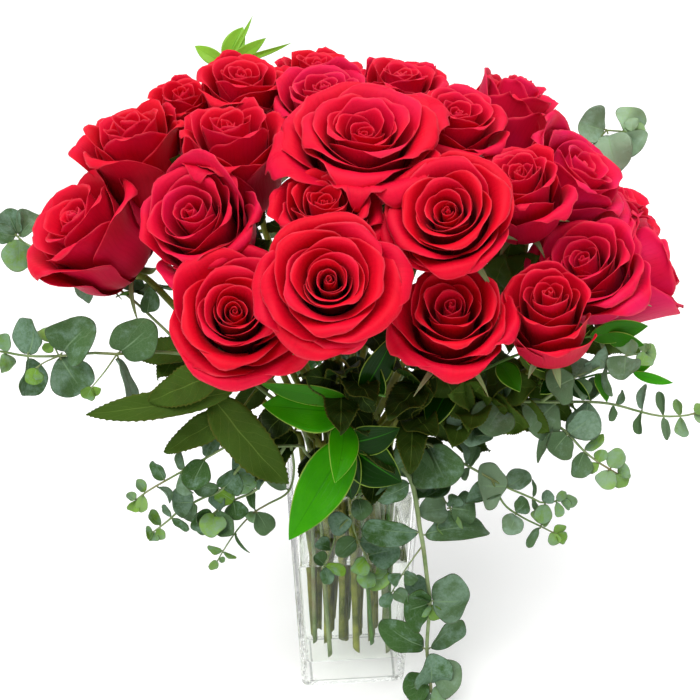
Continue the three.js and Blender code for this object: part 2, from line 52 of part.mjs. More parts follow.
// branches [radius, points], the first being the main stem, and leaves [base, tip, width, normal, young]
const SPRIGS = [
  { name: "eucalyptus_left", kind: "euc",
    branches: [[2.2,[[-31.1,-14.5,33.6],[-31.1,-9,203],[-30.9,-13.8,215.8],[-32.9,-20.9,227.5],[-34.8,-27.9,239.3],[-36.8,-35,251],[-38.7,-42,262.8],[-64.5,-42.2,288.3],[-89.1,-37.3,308.5],[-112.5,-37.1,314.6],[-136,-36.3,317.4],[-162,-35.1,316.1],[-178.1,-31.9,315.9],[-203.3,-27.4,312.2],[-226.3,-21.3,310],[-244.6,-14.3,310.3],[-253.8,-11.3,310.7]]], [0.7,[[-162,-35.1,316.1],[-168.9,-43,308.2],[-174.4,-48.6,302.9],[-178.1,-52.1,299.6]]], [0.7,[[-203.3,-27.4,312.2],[-205.3,-27.9,320.2],[-207.3,-27.4,325.3]]], [0.7,[[-203.3,-27.4,312.2],[-211.2,-34.1,311.2],[-216.2,-39.1,309.4]]], [1.3,[[-112.5,-37.1,314.6],[-137.1,-0.7,321.6],[-170.4,36,334.8],[-210.7,60.4,349.2],[-242.2,71.9,358.9],[-252,76,365.8],[-257.2,79,371.4]]]],
    leaves: [[[-162,-35.1,316.1],[-133.6,-40.3,341.5],29.4,[-0.127,-0.99,-0.06],0],[[-162,-35.1,316.1],[-152,-46.6,280.6],17.8,[0.952,-0.088,0.295],0],[[-203.3,-27.4,312.2],[-176.8,-29.9,338.2],30.4,[-0.232,-0.962,0.144],0],[[-203.3,-27.4,312.2],[-189.4,-30.6,285.1],29,[0.173,-0.964,0.2],0],[[-177.2,-51.2,300.4],[-182.3,-52.9,291.8],10.1,[-0.092,-0.966,0.24],1],[[-177.5,-51.5,300.2],[-174.8,-52.7,293.7],6.7,[0.711,-0.583,0.394],1],[[-206.5,-27.6,323.2],[-213.4,-21.4,330.3],10.9,[0.198,-0.634,0.748],1],[[-206,-27.7,321.9],[-212,-29.5,317.4],7.5,[0.19,-0.973,0.13],1],[[-226.3,-21.3,310],[-220.8,-19.2,337.8],23.7,[-0.449,-0.88,0.155],0],[[-226.3,-21.3,310],[-230.4,-24.6,280.1],22.3,[0.803,-0.594,-0.047],0],[[-215.3,-38.3,309.7],[-220.7,-41.2,298.4],12.2,[0.02,-0.97,0.243],1],[[-215.3,-38.3,309.7],[-213.2,-40.2,301.4],6.8,[-0.328,-0.935,0.137],1],[[-243.1,-14.9,310.3],[-242.7,-12.6,324.1],12.6,[-0.184,-0.969,0.168],1],[[-243.1,-14.9,310.3],[-245.7,-17.6,295.4],11.9,[0.779,-0.627,-0.022],1],[[-252.2,-11.8,310.6],[-260.5,-9.2,314.6],8.5,[0.204,-0.578,0.79],1],[[-252.2,-11.8,310.6],[-259.4,-13.7,305.8],7.7,[0.281,-0.959,-0.045],1],[[-170.4,36,334.8],[-159.7,36.9,351.7],18,[0.491,-0.829,-0.268],0],[[-148.2,11.5,326],[-142.4,6.7,348.8],13.1,[0.294,-0.918,-0.267],0],[[-190.6,48.2,342],[-201.3,48.3,322.5],19.7,[-0.535,-0.793,0.291],0],[[-252,76,365.8],[-258.4,79.7,386.2],19.3,[0.074,-0.976,0.204],0],[[-251.2,75.6,365.2],[-235.6,87.8,378.6],18.5,[0.127,-0.802,0.583],0],[[-252,76,365.8],[-268,75.3,371.2],17,[-0.005,-0.99,-0.141],0],[[-250.3,75.3,364.7],[-252.5,69.8,339.5],24.7,[0.43,-0.889,0.158],1],[[-223.9,65.2,353.2],[-219.3,76.6,368.1],16.9,[0.749,-0.616,0.244],0],[[-223.9,65.2,353.2],[-230.3,53.5,337.7],15.4,[-0.228,-0.732,0.642],0]] },
  { name: "eucalyptus_lower_left", kind: "euc",
    branches: [[2.2,[[-19.2,-30.6,26.9],[-26.5,-20.4,203],[-27.4,-23.5,212.2],[-30.4,-28.7,219.7],[-33.4,-33.9,227.3],[-36.3,-39.1,234.8],[-39.3,-44.2,242.3],[-60.6,-49.5,246.6],[-84.2,-52.1,251.8],[-94.1,-54.1,248.6],[-106.9,-56.3,242.2],[-123.5,-58.3,233.5],[-135.1,-59.5,227.2],[-141.7,-59.7,223.4],[-149.8,-60.5,218.4],[-156.6,-61.4,213.3]]], [1.4,[[-65.3,-50,247.7],[-81.8,-52.7,232.7],[-97.1,-54.2,213.8],[-109.1,-54,208],[-118,-54.4,203.5],[-129.4,-54.9,196.4],[-135.5,-55.9,191.2],[-143.1,-57.1,185.3],[-148.5,-57.6,181.4]]], [1.5,[[-49.9,-46.9,244.5],[-61.6,-47,224.4],[-72.4,-49.3,209],[-88.8,-49.8,201.2],[-103,-52.7,193.3],[-110.7,-54.6,186.1]]], [1.2,[[-45.7,-45.8,243.6],[-44.3,-38.2,217.6],[-49.3,-41.7,200.5],[-64.5,-44.6,192.5],[-73.6,-46.3,187.8],[-80.4,-48.4,182.5],[-89.7,-52.4,173.1],[-99.1,-56.9,160.3],[-104,-59.4,152.3]]]],
    leaves: [[[-105.8,-56.1,242.8],[-116.6,-69.9,226.8],19,[0.02,-0.763,0.646],0],[[-105.8,-56.1,242.8],[-99.7,-45,257.2],14.1,[-0.361,-0.658,0.661],0],[[-122.1,-58.2,234.2],[-124.9,-46.8,247.8],9.9,[-0.808,-0.524,0.27],0],[[-123.5,-58.3,233.5],[-116.1,-62.4,217.1],11.3,[-0.574,-0.817,-0.058],0],[[-135.1,-59.5,227.2],[-143.3,-55.2,241.5],10.6,[-0.341,-0.936,0.085],0],[[-141.2,-59.7,223.7],[-132.7,-63.3,210.8],8.5,[0.834,-0.009,0.552],0],[[-149.8,-60.5,218.4],[-154.8,-57.8,227.8],7.1,[0.555,-0.673,0.489],1],[[-151,-60.7,217.5],[-152.8,-64.5,204.9],8.5,[-0.111,-0.946,0.303],1],[[-156,-61.4,213.7],[-162.8,-59.2,217.2],6.4,[0.249,-0.52,0.817],1],[[-156.6,-61.4,213.3],[-160.3,-64.6,206.3],8.5,[0.235,-0.927,0.293],1],[[-97.1,-54.2,213.8],[-117,-54.9,223.1],13.7,[0.03,-0.999,-0.013],0],[[-97.1,-54.2,213.8],[-84.2,-52.7,227.7],18,[-0.022,-0.992,0.126],0],[[-117.3,-54.4,203.9],[-133,-58.4,207.2],21.8,[0.311,-0.653,0.69],0],[[-118,-54.4,203.5],[-117.1,-56.4,186],16,[-0.612,-0.789,0.056],0],[[-134.5,-55.7,192.1],[-139.9,-52.9,201.7],7.3,[-0.529,-0.847,-0.045],0],[[-134.5,-55.7,192.1],[-122.3,-58.4,181.5],8.7,[-0.3,-0.948,-0.106],0],[[-142.5,-57,185.8],[-149.7,-53.2,197.1],8,[0.588,-0.576,0.568],1],[[-143.6,-57.2,185],[-142.3,-59.7,175.5],7.3,[-0.116,-0.963,0.241],1],[[-148.5,-57.6,181.4],[-153.3,-59.5,181.4],10.2,[0.31,-0.781,0.542],1],[[-148.1,-57.5,181.7],[-149.8,-58.9,174.3],7.3,[0.402,-0.913,0.068],1],[[-71.5,-49.1,210.3],[-81,-41,243.8],23.4,[-0.047,-0.973,0.224],0],[[-72.4,-49.3,209],[-67.4,-44.3,224.6],16.1,[-0.576,-0.705,0.413],0],[[-72.4,-49.3,209],[-88.8,-53.3,221.4],17.6,[0.381,-0.898,0.221],1],[[-88.8,-49.8,201.2],[-99.5,-52.4,212.6],16.2,[0.325,-0.941,0.089],1],[[-88.8,-49.8,201.2],[-87.5,-59.6,190.5],17.6,[-0.272,-0.726,0.632],0],[[-103,-52.7,193.3],[-119.4,-61.5,186.6],17.6,[0.318,-0.872,0.373],0],[[-103,-52.7,193.3],[-90.4,-67.4,183.3],16.2,[-0.384,-0.721,0.576],0],[[-103,-52.7,193.3],[-104.7,-68.6,183.3],19.1,[0.004,-0.532,0.847],1],[[-101.9,-52.4,194],[-97.1,-50.5,207.6],13.2,[-0.528,-0.796,0.295],0],[[-110.1,-54.4,186.7],[-114.4,-59.9,179.5],10.3,[0.462,-0.818,0.343],1],[[-110.1,-54.4,186.7],[-103.8,-64.5,180.8],10.3,[0.082,-0.468,0.88],1],[[-73.6,-46.3,187.8],[-64.2,-57.7,175],15.7,[-0.143,-0.789,0.598],0],[[-74.1,-46.5,187.4],[-75.9,-40.5,203.7],8.2,[-0.637,-0.744,0.201],0],[[-73.6,-46.3,187.8],[-77.5,-49.6,180.4],9.7,[-0.485,-0.668,0.564],1],[[-89.7,-52.4,173.1],[-79,-59.7,159.7],5.2,[-0.632,-0.77,-0.084],0],[[-48.9,-41.4,202],[-65.2,-36.6,214],11.9,[-0.296,-0.955,-0.02],0],[[-99.1,-56.9,160.3],[-110,-56,165],6,[-0.004,-0.986,0.164],1],[[-99.6,-57.1,159.7],[-89.8,-58.2,154.3],4.5,[0.47,-0.131,0.873],1],[[-103.2,-58.9,153.6],[-109.4,-61.4,147.7],6.7,[0.15,-0.958,0.245],1],[[-102.4,-58.5,155],[-98.7,-60,152.5],5.2,[0.404,-0.387,0.829],1]] },
  { name: "eucalyptus_front", kind: "euc",
    branches: [[2.6,[[29.8,-30.5,28.5],[16.9,-34.2,203],[18,-36.9,210.8],[20.9,-41.2,216.1],[23.7,-45.5,221.4],[26.6,-49.8,226.6],[29.5,-54.2,231.9],[39.9,-60.6,220.2],[44.3,-65.8,199],[47,-67.4,180.2],[50,-66.1,165],[55.2,-61.8,129.1],[58.4,-62.9,104.6],[57.7,-63.9,79.6],[57.8,-65,54.8],[60.5,-69.4,32.6],[61.2,-73.7,19.3]]], [1,[[29.5,-54.2,231.9],[14.1,-58.4,216.5],[-0.4,-57.6,202.4],[-2.6,-59.1,185.5],[1.7,-61.1,168.4],[7.7,-62,153.7],[13.8,-63.8,137.4]]], [0.8,[[-2,-58.6,190.6],[-13.1,-60,177.6],[-17.8,-62.4,163],[-24,-61.6,145.5]]], [0.7,[[50,-66.1,165],[42,-67.3,152.3],[34.8,-67.1,138.1],[27.7,-66.2,120.8]]]],
    leaves: [[[47.5,-67.2,177.7],[3.6,-64.9,185.2],19.9,[-0.005,-0.964,0.264],0],[[48,-67,175.1],[99,-60.8,172.1],23.7,[0.1,-0.377,0.921],0],[[58.4,-62.9,104.6],[34.4,-76.4,109.9],31.3,[0.52,-0.808,0.276],0],[[58.1,-62.8,106.7],[86.7,-75.2,117.3],36,[-0.474,-0.44,0.762],0],[[58.1,-62.8,106.7],[37.7,-59.8,123.5],18.8,[0.535,-0.431,0.726],0],[[58.3,-63,102.6],[48.8,-70.6,99.3],10.2,[0.026,-0.422,0.906],1],[[58.3,-63,102.6],[65.8,-72.5,97.9],11,[-0.453,-0.653,0.607],1],[[57.8,-64.9,56.8],[20.7,-58.4,83],24.2,[-0.013,-0.974,0.225],0],[[57.8,-64.9,56.8],[88.5,-52.6,72.7],21,[0.31,-0.941,0.132],0],[[60.7,-70.8,28.2],[38.1,-78.8,26.9],24.5,[0.209,-0.703,0.68],0],[[60.7,-70.5,29.3],[82.9,-73.5,44.4],31,[-0.433,-0.761,0.483],0],[[60.8,-71.6,25.9],[57.2,-73,58.9],32.6,[0.297,-0.955,-0.008],0],[[61.1,-73.4,20.4],[72.2,-81.8,18.5],18,[-0.518,-0.767,0.378],1],[[61.1,-73.4,20.4],[47.4,-79.3,15.4],18,[-0.269,-0.176,0.947],0],[[40.3,-61,218.5],[14.2,-65.8,209.5],18.1,[0.127,-0.98,0.155],0],[[43.2,-64.5,204.3],[70.1,-52.3,214.7],21.8,[-0.24,-0.267,0.933],0],[[2,-57.7,204.8],[3.9,-68.4,192.4],15.3,[0.099,-0.746,0.659],0],[[-2.5,-58.9,186.9],[-19.2,-63.2,180.5],17.7,[0.105,-0.934,0.341],0],[[1.4,-60.9,169.8],[-13.6,-67.3,159.3],14.9,[-0.302,-0.561,0.77],0],[[2.2,-61.2,167.2],[19.1,-67.1,166.6],17.9,[-0.14,-0.475,0.869],0],[[7.7,-62,153.7],[33,-65,160.4],21.1,[-0.218,-0.871,0.44],0],[[8.3,-62.2,152.3],[-3.3,-68.2,145.2],15.1,[0.269,-0.904,0.332],1],[[13.3,-63.6,138.7],[20.6,-73.2,131.7],18.2,[-0.225,-0.684,0.694],1],[[12.8,-63.5,140.1],[5.6,-71.8,131.3],15.2,[-0.22,-0.613,0.759],1],[[13.8,-63.8,137.4],[22.5,-67.7,144.2],13.7,[-0.669,-0.257,0.697],1],[[-17.8,-62.4,163],[-29.7,-63.4,168.3],11.2,[0.404,-0.382,0.831],0],[[-23.5,-61.6,147],[-31.4,-59.8,154.1],11.3,[0.449,-0.612,0.652],0],[[-24,-61.6,145.5],[-20,-69.4,134.7],11.3,[0.362,-0.686,0.631],0],[[-23.5,-61.6,147],[-7.8,-68.2,142.6],9.1,[-0.287,-0.901,0.326],1],[[35.4,-67.2,139.2],[45.7,-72.2,135],12.1,[0.223,-0.319,0.921],0],[[34.8,-67.1,138.1],[23.9,-69.7,138.1],11.4,[0.228,-0.972,0.06],0],[[28.3,-66.2,122.3],[39.4,-72.4,115.8],12.3,[-0.336,-0.899,0.281],0],[[27.7,-66.2,120.8],[18,-71.8,112.6],10.8,[0.267,-0.914,0.306],0]] },
  { name: "eucalyptus_lower_right", kind: "euc",
    branches: [[2.2,[[29.3,-21.8,36.9],[22.5,-23.6,203],[22.6,-27.6,212.6],[25.1,-33.5,220.3],[27.6,-39.3,228],[30,-45.1,235.7],[32.5,-51,243.4],[50.2,-53,246.4],[66.4,-57.9,238.7],[86.8,-64.4,228.4],[107.4,-70,217.5],[117.6,-71.8,213],[128.1,-72.8,207.9],[134.8,-73.7,204.7],[144.5,-73,205.4],[149.2,-71.5,206.8]]], [1,[[97.1,-67.2,222.9],[106.8,-71.3,203.5],[120.4,-74,193.1],[133.8,-76.2,186],[142.7,-77.9,181.4],[146.3,-78.8,180.1]]], [1.2,[[39.6,-51.8,244.6],[53.4,-54.3,216.9],[62.8,-55.5,202.1],[70.6,-57,191.1],[71.5,-58.1,184.5]]]],
    leaves: [[[51.6,-53.4,245.8],[64.6,-72.8,221.6],35.9,[-0.259,-0.816,0.517],0],[[50.2,-53,246.4],[30.9,-56.4,223],31.6,[-0.008,-0.988,0.152],0],[[80,-62.2,231.8],[77.5,-50.5,246.2],14.3,[0.497,-0.629,0.597],0],[[81.7,-62.7,230.9],[88.1,-56.5,244.5],11.5,[-0.645,-0.533,0.548],0],[[81.7,-62.7,230.9],[76.6,-66.5,222.6],8.6,[-0.758,-0.281,0.589],0],[[107.4,-70,217.5],[84.7,-72.5,222.9],33,[0.235,-0.716,0.658],0],[[107.4,-70,217.5],[125.2,-61.2,224.4],16.5,[-0.165,-0.378,0.911],0],[[107.4,-70,217.5],[79.6,-67.6,204.8],15.8,[-0.412,-0.366,0.834],0],[[127.2,-72.7,208.3],[127,-66.8,220.3],5.1,[-0.969,-0.228,0.097],0],[[127.2,-72.7,208.3],[132,-77.7,198.9],6.5,[0.635,-0.499,0.59],0],[[134.8,-73.7,204.7],[140.2,-72.3,213.1],10.1,[-0.635,-0.576,0.515],0],[[136.4,-73.6,204.8],[131.6,-81.4,192.9],12.3,[-0.08,-0.821,0.565],1],[[144.5,-73,205.4],[151.2,-70.2,211.9],6.5,[-0.027,-0.911,0.41],1],[[144.5,-73,205.4],[147,-78.3,195],7.2,[0.171,-0.861,0.479],1],[[148.4,-71.8,206.5],[159.9,-74,203.6],9.4,[0.022,-0.75,0.661],1],[[148.4,-71.8,206.5],[154.7,-75.6,199.7],6.5,[0.215,-0.757,0.617],1],[[115.9,-73.1,196.6],[108.6,-82.6,185.2],16,[0.03,-0.775,0.631],0],[[115.9,-73.1,196.6],[123.7,-72.8,207.3],13.1,[-0.69,-0.505,0.519],0],[[134.5,-76.3,185.6],[125.3,-82.6,171.5],8,[-0.753,-0.255,0.606],0],[[134.5,-76.3,185.6],[137.3,-72.2,199],13.9,[-0.587,-0.732,0.347],1],[[142.7,-77.9,181.4],[144.7,-83.9,174.2],9.5,[-0.463,-0.745,0.481],1],[[143.3,-78.1,181.2],[153,-77,184.7],6.6,[-0.011,-0.949,0.314],1],[[145.7,-78.7,180.3],[152.7,-81.5,175.5],8.8,[0.118,-0.769,0.628],1],[[70.6,-57,191.1],[47.4,-61.6,192.1],20.8,[0.164,-0.67,0.724],0],[[70.6,-57,191.1],[88.5,-64.4,192.1],25.3,[-0.359,-0.8,0.48],0],[[71,-57.5,187.8],[69,-70.7,174.2],18.6,[-0.058,-0.71,0.702],1],[[70.6,-57,191.1],[72.4,-52.5,200.4],13.4,[0.303,-0.881,0.363],0],[[54.2,-54.4,215.7],[43,-56.4,210],13.2,[0.176,-0.984,-0.002],0]] },
  { name: "eucalyptus_right", kind: "euc",
    branches: [[2.4,[[28.9,3.9,36.7],[36.4,-3.3,203],[36.9,-10.1,214.8],[36.7,-19.4,226.3],[36.4,-28.6,237.9],[37.7,-38.7,248.8],[39.5,-49.1,259.6],[65.9,-56.9,277],[102.9,-62.9,283.7],[133.8,-65,283.7],[165.6,-62,280.7],[183.8,-59,275.9],[201.6,-56.9,269],[218.9,-56.2,263.8],[237,-53.1,261.2],[248.6,-50.4,261.6]]], [1.4,[[112.1,-63.5,283.7],[130.1,-69.6,273.8],[144.9,-73.2,264.1],[156.9,-77.9,251.8],[167.8,-80.6,243.2],[177,-82.9,237.6],[182.2,-83.7,234.5]]], [1.4,[[127.6,-64.6,283.7],[138.4,-68.5,296.2],[145.1,-70.4,304.6],[157.1,-69.9,308.8],[168.3,-67.5,313.2],[182.8,-64.3,317.2],[196.9,-61.7,317.6]]], [1,[[84.4,-59.9,280.4],[79.7,-60.3,272],[81.6,-61.3,261.1]]]],
    leaves: [[[204.5,-56.8,268.2],[208.2,-48.6,285.3],6.4,[-0.791,-0.47,0.392],0],[[204.5,-56.8,268.2],[202.8,-63.9,253.3],6.4,[-0.799,-0.501,0.334],0],[[221.9,-55.7,263.4],[219.8,-47.6,279.5],6.5,[-0.78,-0.594,0.196],0],[[221.9,-55.7,263.4],[223.8,-63.4,247.9],6.5,[-0.782,-0.59,0.202],0],[[235.5,-53.4,261.4],[232.8,-47.8,272.5],6.5,[-0.739,-0.655,0.156],1],[[235.5,-53.4,261.4],[238.5,-60.3,247.8],8.7,[-0.684,-0.701,0.204],1],[[246.6,-50.9,261.6],[255,-49,266.5],8.7,[-0.327,-0.553,0.766],1],[[246.6,-50.9,261.6],[255.5,-52.9,258.6],9.4,[-0.024,-0.851,0.525],1],[[183.8,-59,275.9],[189.9,-51.2,283.4],7,[0.531,-0.768,0.359],0],[[182.3,-59.2,276.3],[178.3,-65.7,267],8.5,[0.556,-0.774,0.304],0],[[139.1,-64.5,283.2],[117,-80.1,271.1],30.4,[0.184,-0.754,0.631],0],[[139.1,-64.5,283.2],[144.2,-48.6,298.1],20.7,[0.568,-0.652,0.502],0],[[102.9,-62.9,283.7],[85.5,-79.9,269.2],29,[-0.187,-0.519,0.834],0],[[102.9,-62.9,283.7],[101.5,-48.3,299.5],23.5,[-0.819,-0.455,0.349],0],[[162.9,-62.3,281],[150.1,-79.9,261.5],23.7,[-0.413,-0.524,0.745],0],[[162.9,-62.3,281],[175,-52.8,292.9],16.7,[-0.649,-0.116,0.752],0],[[145.9,-73.6,263],[132.3,-86.3,253.5],20.8,[0.166,-0.701,0.694],0],[[145.9,-73.6,263],[163.9,-73.5,279.5],20.8,[-0.185,-0.96,0.21],0],[[135,-70.8,270.6],[123.3,-85.4,248.4],9.7,[-0.831,-0.149,0.535],0],[[157.8,-78.1,251.1],[171.1,-75.5,262.7],8.3,[-0.597,-0.294,0.746],1],[[157.8,-78.1,251.1],[150.9,-87.5,235.4],15.3,[0.115,-0.873,0.474],0],[[167.8,-80.6,243.2],[170.1,-78.5,252.4],9.8,[-0.006,-0.974,0.228],1],[[167.8,-80.6,243.2],[160.6,-83.2,236.9],8.4,[-0.545,-0.344,0.765],1],[[176.3,-82.7,238],[184.3,-79,251.3],12.6,[-0.528,-0.678,0.511],1],[[175.5,-82.5,238.5],[170.2,-91.7,228.1],14,[-0.202,-0.68,0.705],1],[[181.8,-83.6,234.8],[189.8,-84.7,238.2],11.9,[-0.374,-0.641,0.671],1],[[180.9,-83.5,235.3],[184.6,-88.3,225.8],11.2,[-0.579,-0.794,0.185],1],[[145.1,-70.4,304.6],[125,-81.8,301.2],25.6,[0.323,-0.745,0.584],0],[[145.1,-70.4,304.6],[155.6,-62.1,314],17.5,[-0.414,-0.397,0.819],0],[[145.1,-70.4,304.6],[156.8,-76.4,294],14.8,[0.314,-0.637,0.704],0],[[168.3,-67.5,313.2],[157,-69.7,320.7],18.9,[0.141,-0.987,-0.076],0],[[168.3,-67.5,313.2],[170.6,-79.8,295.3],8.8,[-0.978,-0.207,0.02],0],[[182.8,-64.3,317.2],[177.8,-78.2,306.3],21.7,[-0.466,-0.433,0.772],0],[[182.8,-64.3,317.2],[184.2,-62.7,329.8],14.9,[-0.705,-0.688,0.171],1],[[196.9,-61.7,317.6],[203.1,-64.5,319.6],13.6,[-0.469,-0.842,0.267],1],[[196.9,-61.7,317.6],[192,-67.9,311.1],12.2,[0.087,-0.755,0.65],1],[[196.9,-61.7,317.6],[197.8,-58.8,323.8],8.2,[-0.68,-0.617,0.396],1],[[81.3,-61.2,262.9],[78.1,-73.4,255.7],23.9,[0.127,-0.527,0.841],0],[[80.8,-60.9,265.6],[64.7,-65.4,272.4],21,[0.286,-0.957,0.05],0],[[81.1,-61.1,263.8],[95.4,-67.7,266],19.6,[-0.339,-0.457,0.822],0]] },
  { name: "eucalyptus_upper_right", kind: "euc",
    branches: [[2.2,[[18.4,29,34.8],[21.3,30.3,203],[25.9,28.8,223.4],[35.6,28.9,241.9],[45.3,29,260.4],[54.9,29.1,278.9],[64.6,29.2,297.4],[127.8,75.4,336.9],[180.9,104.7,386],[204.4,111.6,416.9],[216.4,111.8,432.8],[227.7,108.3,431.8],[235.3,106.4,431.2]]], [1.2,[[154.3,90.1,361.5],[200.2,110.1,345.2],[238.1,122.8,326.4],[263.6,131.5,311.4]]]],
    leaves: [[[216.4,111.8,432.8],[193.4,112.2,439.4],29.2,[0.075,-0.946,0.316],0],[[216.4,111.8,432.8],[221.1,88.5,404.2],32.4,[-0.557,-0.686,0.468],0],[[227.7,108.3,431.8],[241.8,111,448.4],24.2,[-0.083,-0.97,0.23],1],[[228.3,108.1,431.7],[240,96.2,418.2],21,[-0.67,-0.738,0.074],0],[[235.3,106.4,431.2],[245.8,104.7,433.8],12.9,[-0.175,-0.982,0.064],1],[[235.3,106.4,431.2],[237.3,111.6,442.1],11.3,[-0.643,-0.639,0.423],1],[[192.6,108.2,401.5],[182.9,122.2,415],24.6,[-0.042,-0.708,0.705],0],[[192.6,108.2,401.5],[211.7,107,388.2],24.6,[0.252,-0.863,0.437],0],[[200.2,110.1,345.2],[212.4,124.5,362.6],22.2,[0.241,-0.824,0.513],0],[[200.2,110.1,345.2],[193.8,106.1,322.4],22.2,[0.125,-0.982,0.139],0],[[234.9,121.7,328],[246.1,117.6,307.5],22.8,[0.132,-0.955,0.265],0],[[234.9,121.7,328],[231.5,136.6,344.1],21.1,[-0.028,-0.738,0.674],0],[[261.5,130.8,312.7],[273.2,135.4,319.3],16.2,[-0.21,-0.585,0.783],1],[[261.5,130.8,312.7],[270.8,127.7,303.1],16.2,[-0.425,-0.897,-0.122],1]] },
  { name: "ruscus_front", kind: "rus",
    branches: [[2,[[16.1,-30.7,38.2],[4.5,-32.5,203],[3.4,-36.8,212.4],[1.8,-43.3,221.3],[0.2,-49.9,230.1],[-1.4,-56.5,238.9],[-3,-63.1,247.8],[-7.5,-67.7,267.3],[-9.7,-71.1,282.8],[-8.4,-72.2,296.6],[2.6,-75.6,302.6],[17.7,-77.8,300.2]]]],
    leaves: [[[-8.4,-72.2,296.6],[-63.7,-78.1,313.1],19.9,[0.068,-0.99,-0.124],0],[[-9.5,-71.2,285.1],[-62.9,-82.8,299.5],40.3,[0.323,-0.697,0.64],1],[[-8.6,-69.4,275],[-17.5,-111.4,256.4],27.2,[0.366,-0.441,0.819],1],[[-5.6,-65.8,259.1],[-48.6,-104.3,206.3],42.9,[0.135,-0.849,0.511],1],[[-4.1,-64.2,252.6],[30.2,-82.3,234.3],43.2,[-0.348,-0.906,0.243],2],[[-5.2,-65.4,257.5],[28.4,-77.1,274.7],30.5,[-0.297,-0.952,-0.071],2],[[2.6,-75.6,302.6],[24.4,-63.9,338.6],27.7,[0.362,-0.929,0.083],2],[[16.4,-77.6,300.4],[7.9,-59,323.6],22.4,[-0.717,-0.647,0.258],2],[[-4.5,-64.6,254.3],[-3.7,-73.2,214.1],27.8,[-0.547,-0.821,0.165],2]] },
  { name: "ruscus_right", kind: "rus",
    branches: [[2,[[30.8,-7.4,36.3],[29.9,-12.9,203],[33.3,-22.8,216.2],[39.4,-30.5,231.8],[44.4,-37.6,247.8],[48.6,-44.2,264.2],[52.7,-50.9,280.5],[85,-57.8,305.1],[111.2,-58.2,318.2],[137.5,-59,325.9],[157.8,-59.3,330.6],[171.7,-58.8,331.4]]], [1,[[111.2,-58.2,318.2],[136.5,-67.6,301.2],[168.9,-58.8,301.1],[198.1,-56.8,300.5]]]],
    leaves: [[[157.8,-59.3,330.6],[198.7,-55.5,335],20.2,[0.078,-0.99,0.12],0],[[135.3,-59,325.3],[156.2,-61.8,336.2],17.5,[-0.463,-0.421,0.78],2],[[117.7,-58.4,320.1],[125.3,-72.3,311.2],20.3,[-0.074,-0.569,0.819],2],[[98.1,-58,311.6],[108.5,-76.2,298.8],20.4,[-0.02,-0.584,0.811],0],[[79.6,-56.6,301],[63.2,-58.8,321.6],24.7,[-0.182,-0.952,-0.245],2],[[66.1,-53.8,290.8],[48.9,-77.2,272.3],27.7,[-0.323,-0.426,0.845],2],[[169.4,-58.9,331.2],[195.1,-62,323.9],16.2,[-0.167,-0.972,-0.168],0],[[193.2,-57.2,300.6],[221.4,-60.6,293],9.7,[-0.121,-0.993,0.006],1],[[166.2,-59.6,301.1],[171.3,-71.8,286.1],13.8,[0.195,-0.728,0.657],0],[[144.6,-65.4,301.2],[157.4,-76,290.6],15,[-0.647,-0.762,-0.021],2],[[139.2,-66.9,301.2],[122.2,-76.7,297],17.7,[-0.001,-0.394,0.919],2],[[195.7,-57,300.5],[207.4,-52.9,305.9],9.7,[-0.354,-0.202,0.913],1]] },
  { name: "eucalyptus_back", kind: "euc",
    branches: [[2.4,[[-2,28.8,30.4],[8.1,31.4,203],[8.2,31.7,203.2],[8.2,32.2,203.1],[8.3,32.6,203.1],[8.3,33.1,203],[8.4,33.5,203],[11.2,46.2,221.4],[14.6,60.7,238.7],[19.3,78.2,254],[25.2,98.6,266.6],[32,120.9,276.1],[39,143.9,282.1],[45.3,166.4,284.3],[50.4,187.9,283.1],[54.7,208.7,280]]], [1.68,[[15.5,64.2,241.8],[-1.3,76.6,250.7],[-16.8,92.1,256.1],[-31.9,107.7,260.6],[-46.4,123.6,263.8],[-60.2,139.4,265.5],[-72.9,154.6,265.2],[-84.2,168.8,262.2],[-94.5,182.4,257.3],[-104.6,195.8,252]]], [1.68,[[28.6,109.8,271.3],[48.3,116.9,280],[68.7,125.3,284.9],[88.2,132.9,289.4],[106.4,139.4,293.2],[123.6,144.8,296.2],[139.7,149.1,297.5],[154.8,152,296.2],[169.1,153.9,293.3],[183.3,155.6,290]]], [1.68,[[11.8,49.1,224.9],[26.2,60,225],[41.1,70.6,224.8],[56.2,81,223.6],[71.6,91.2,221.1],[86.9,101,217.4],[101,109.8,212.4],[113.2,117.5,205.7],[124,124.3,198],[134.5,130.9,190]]]],
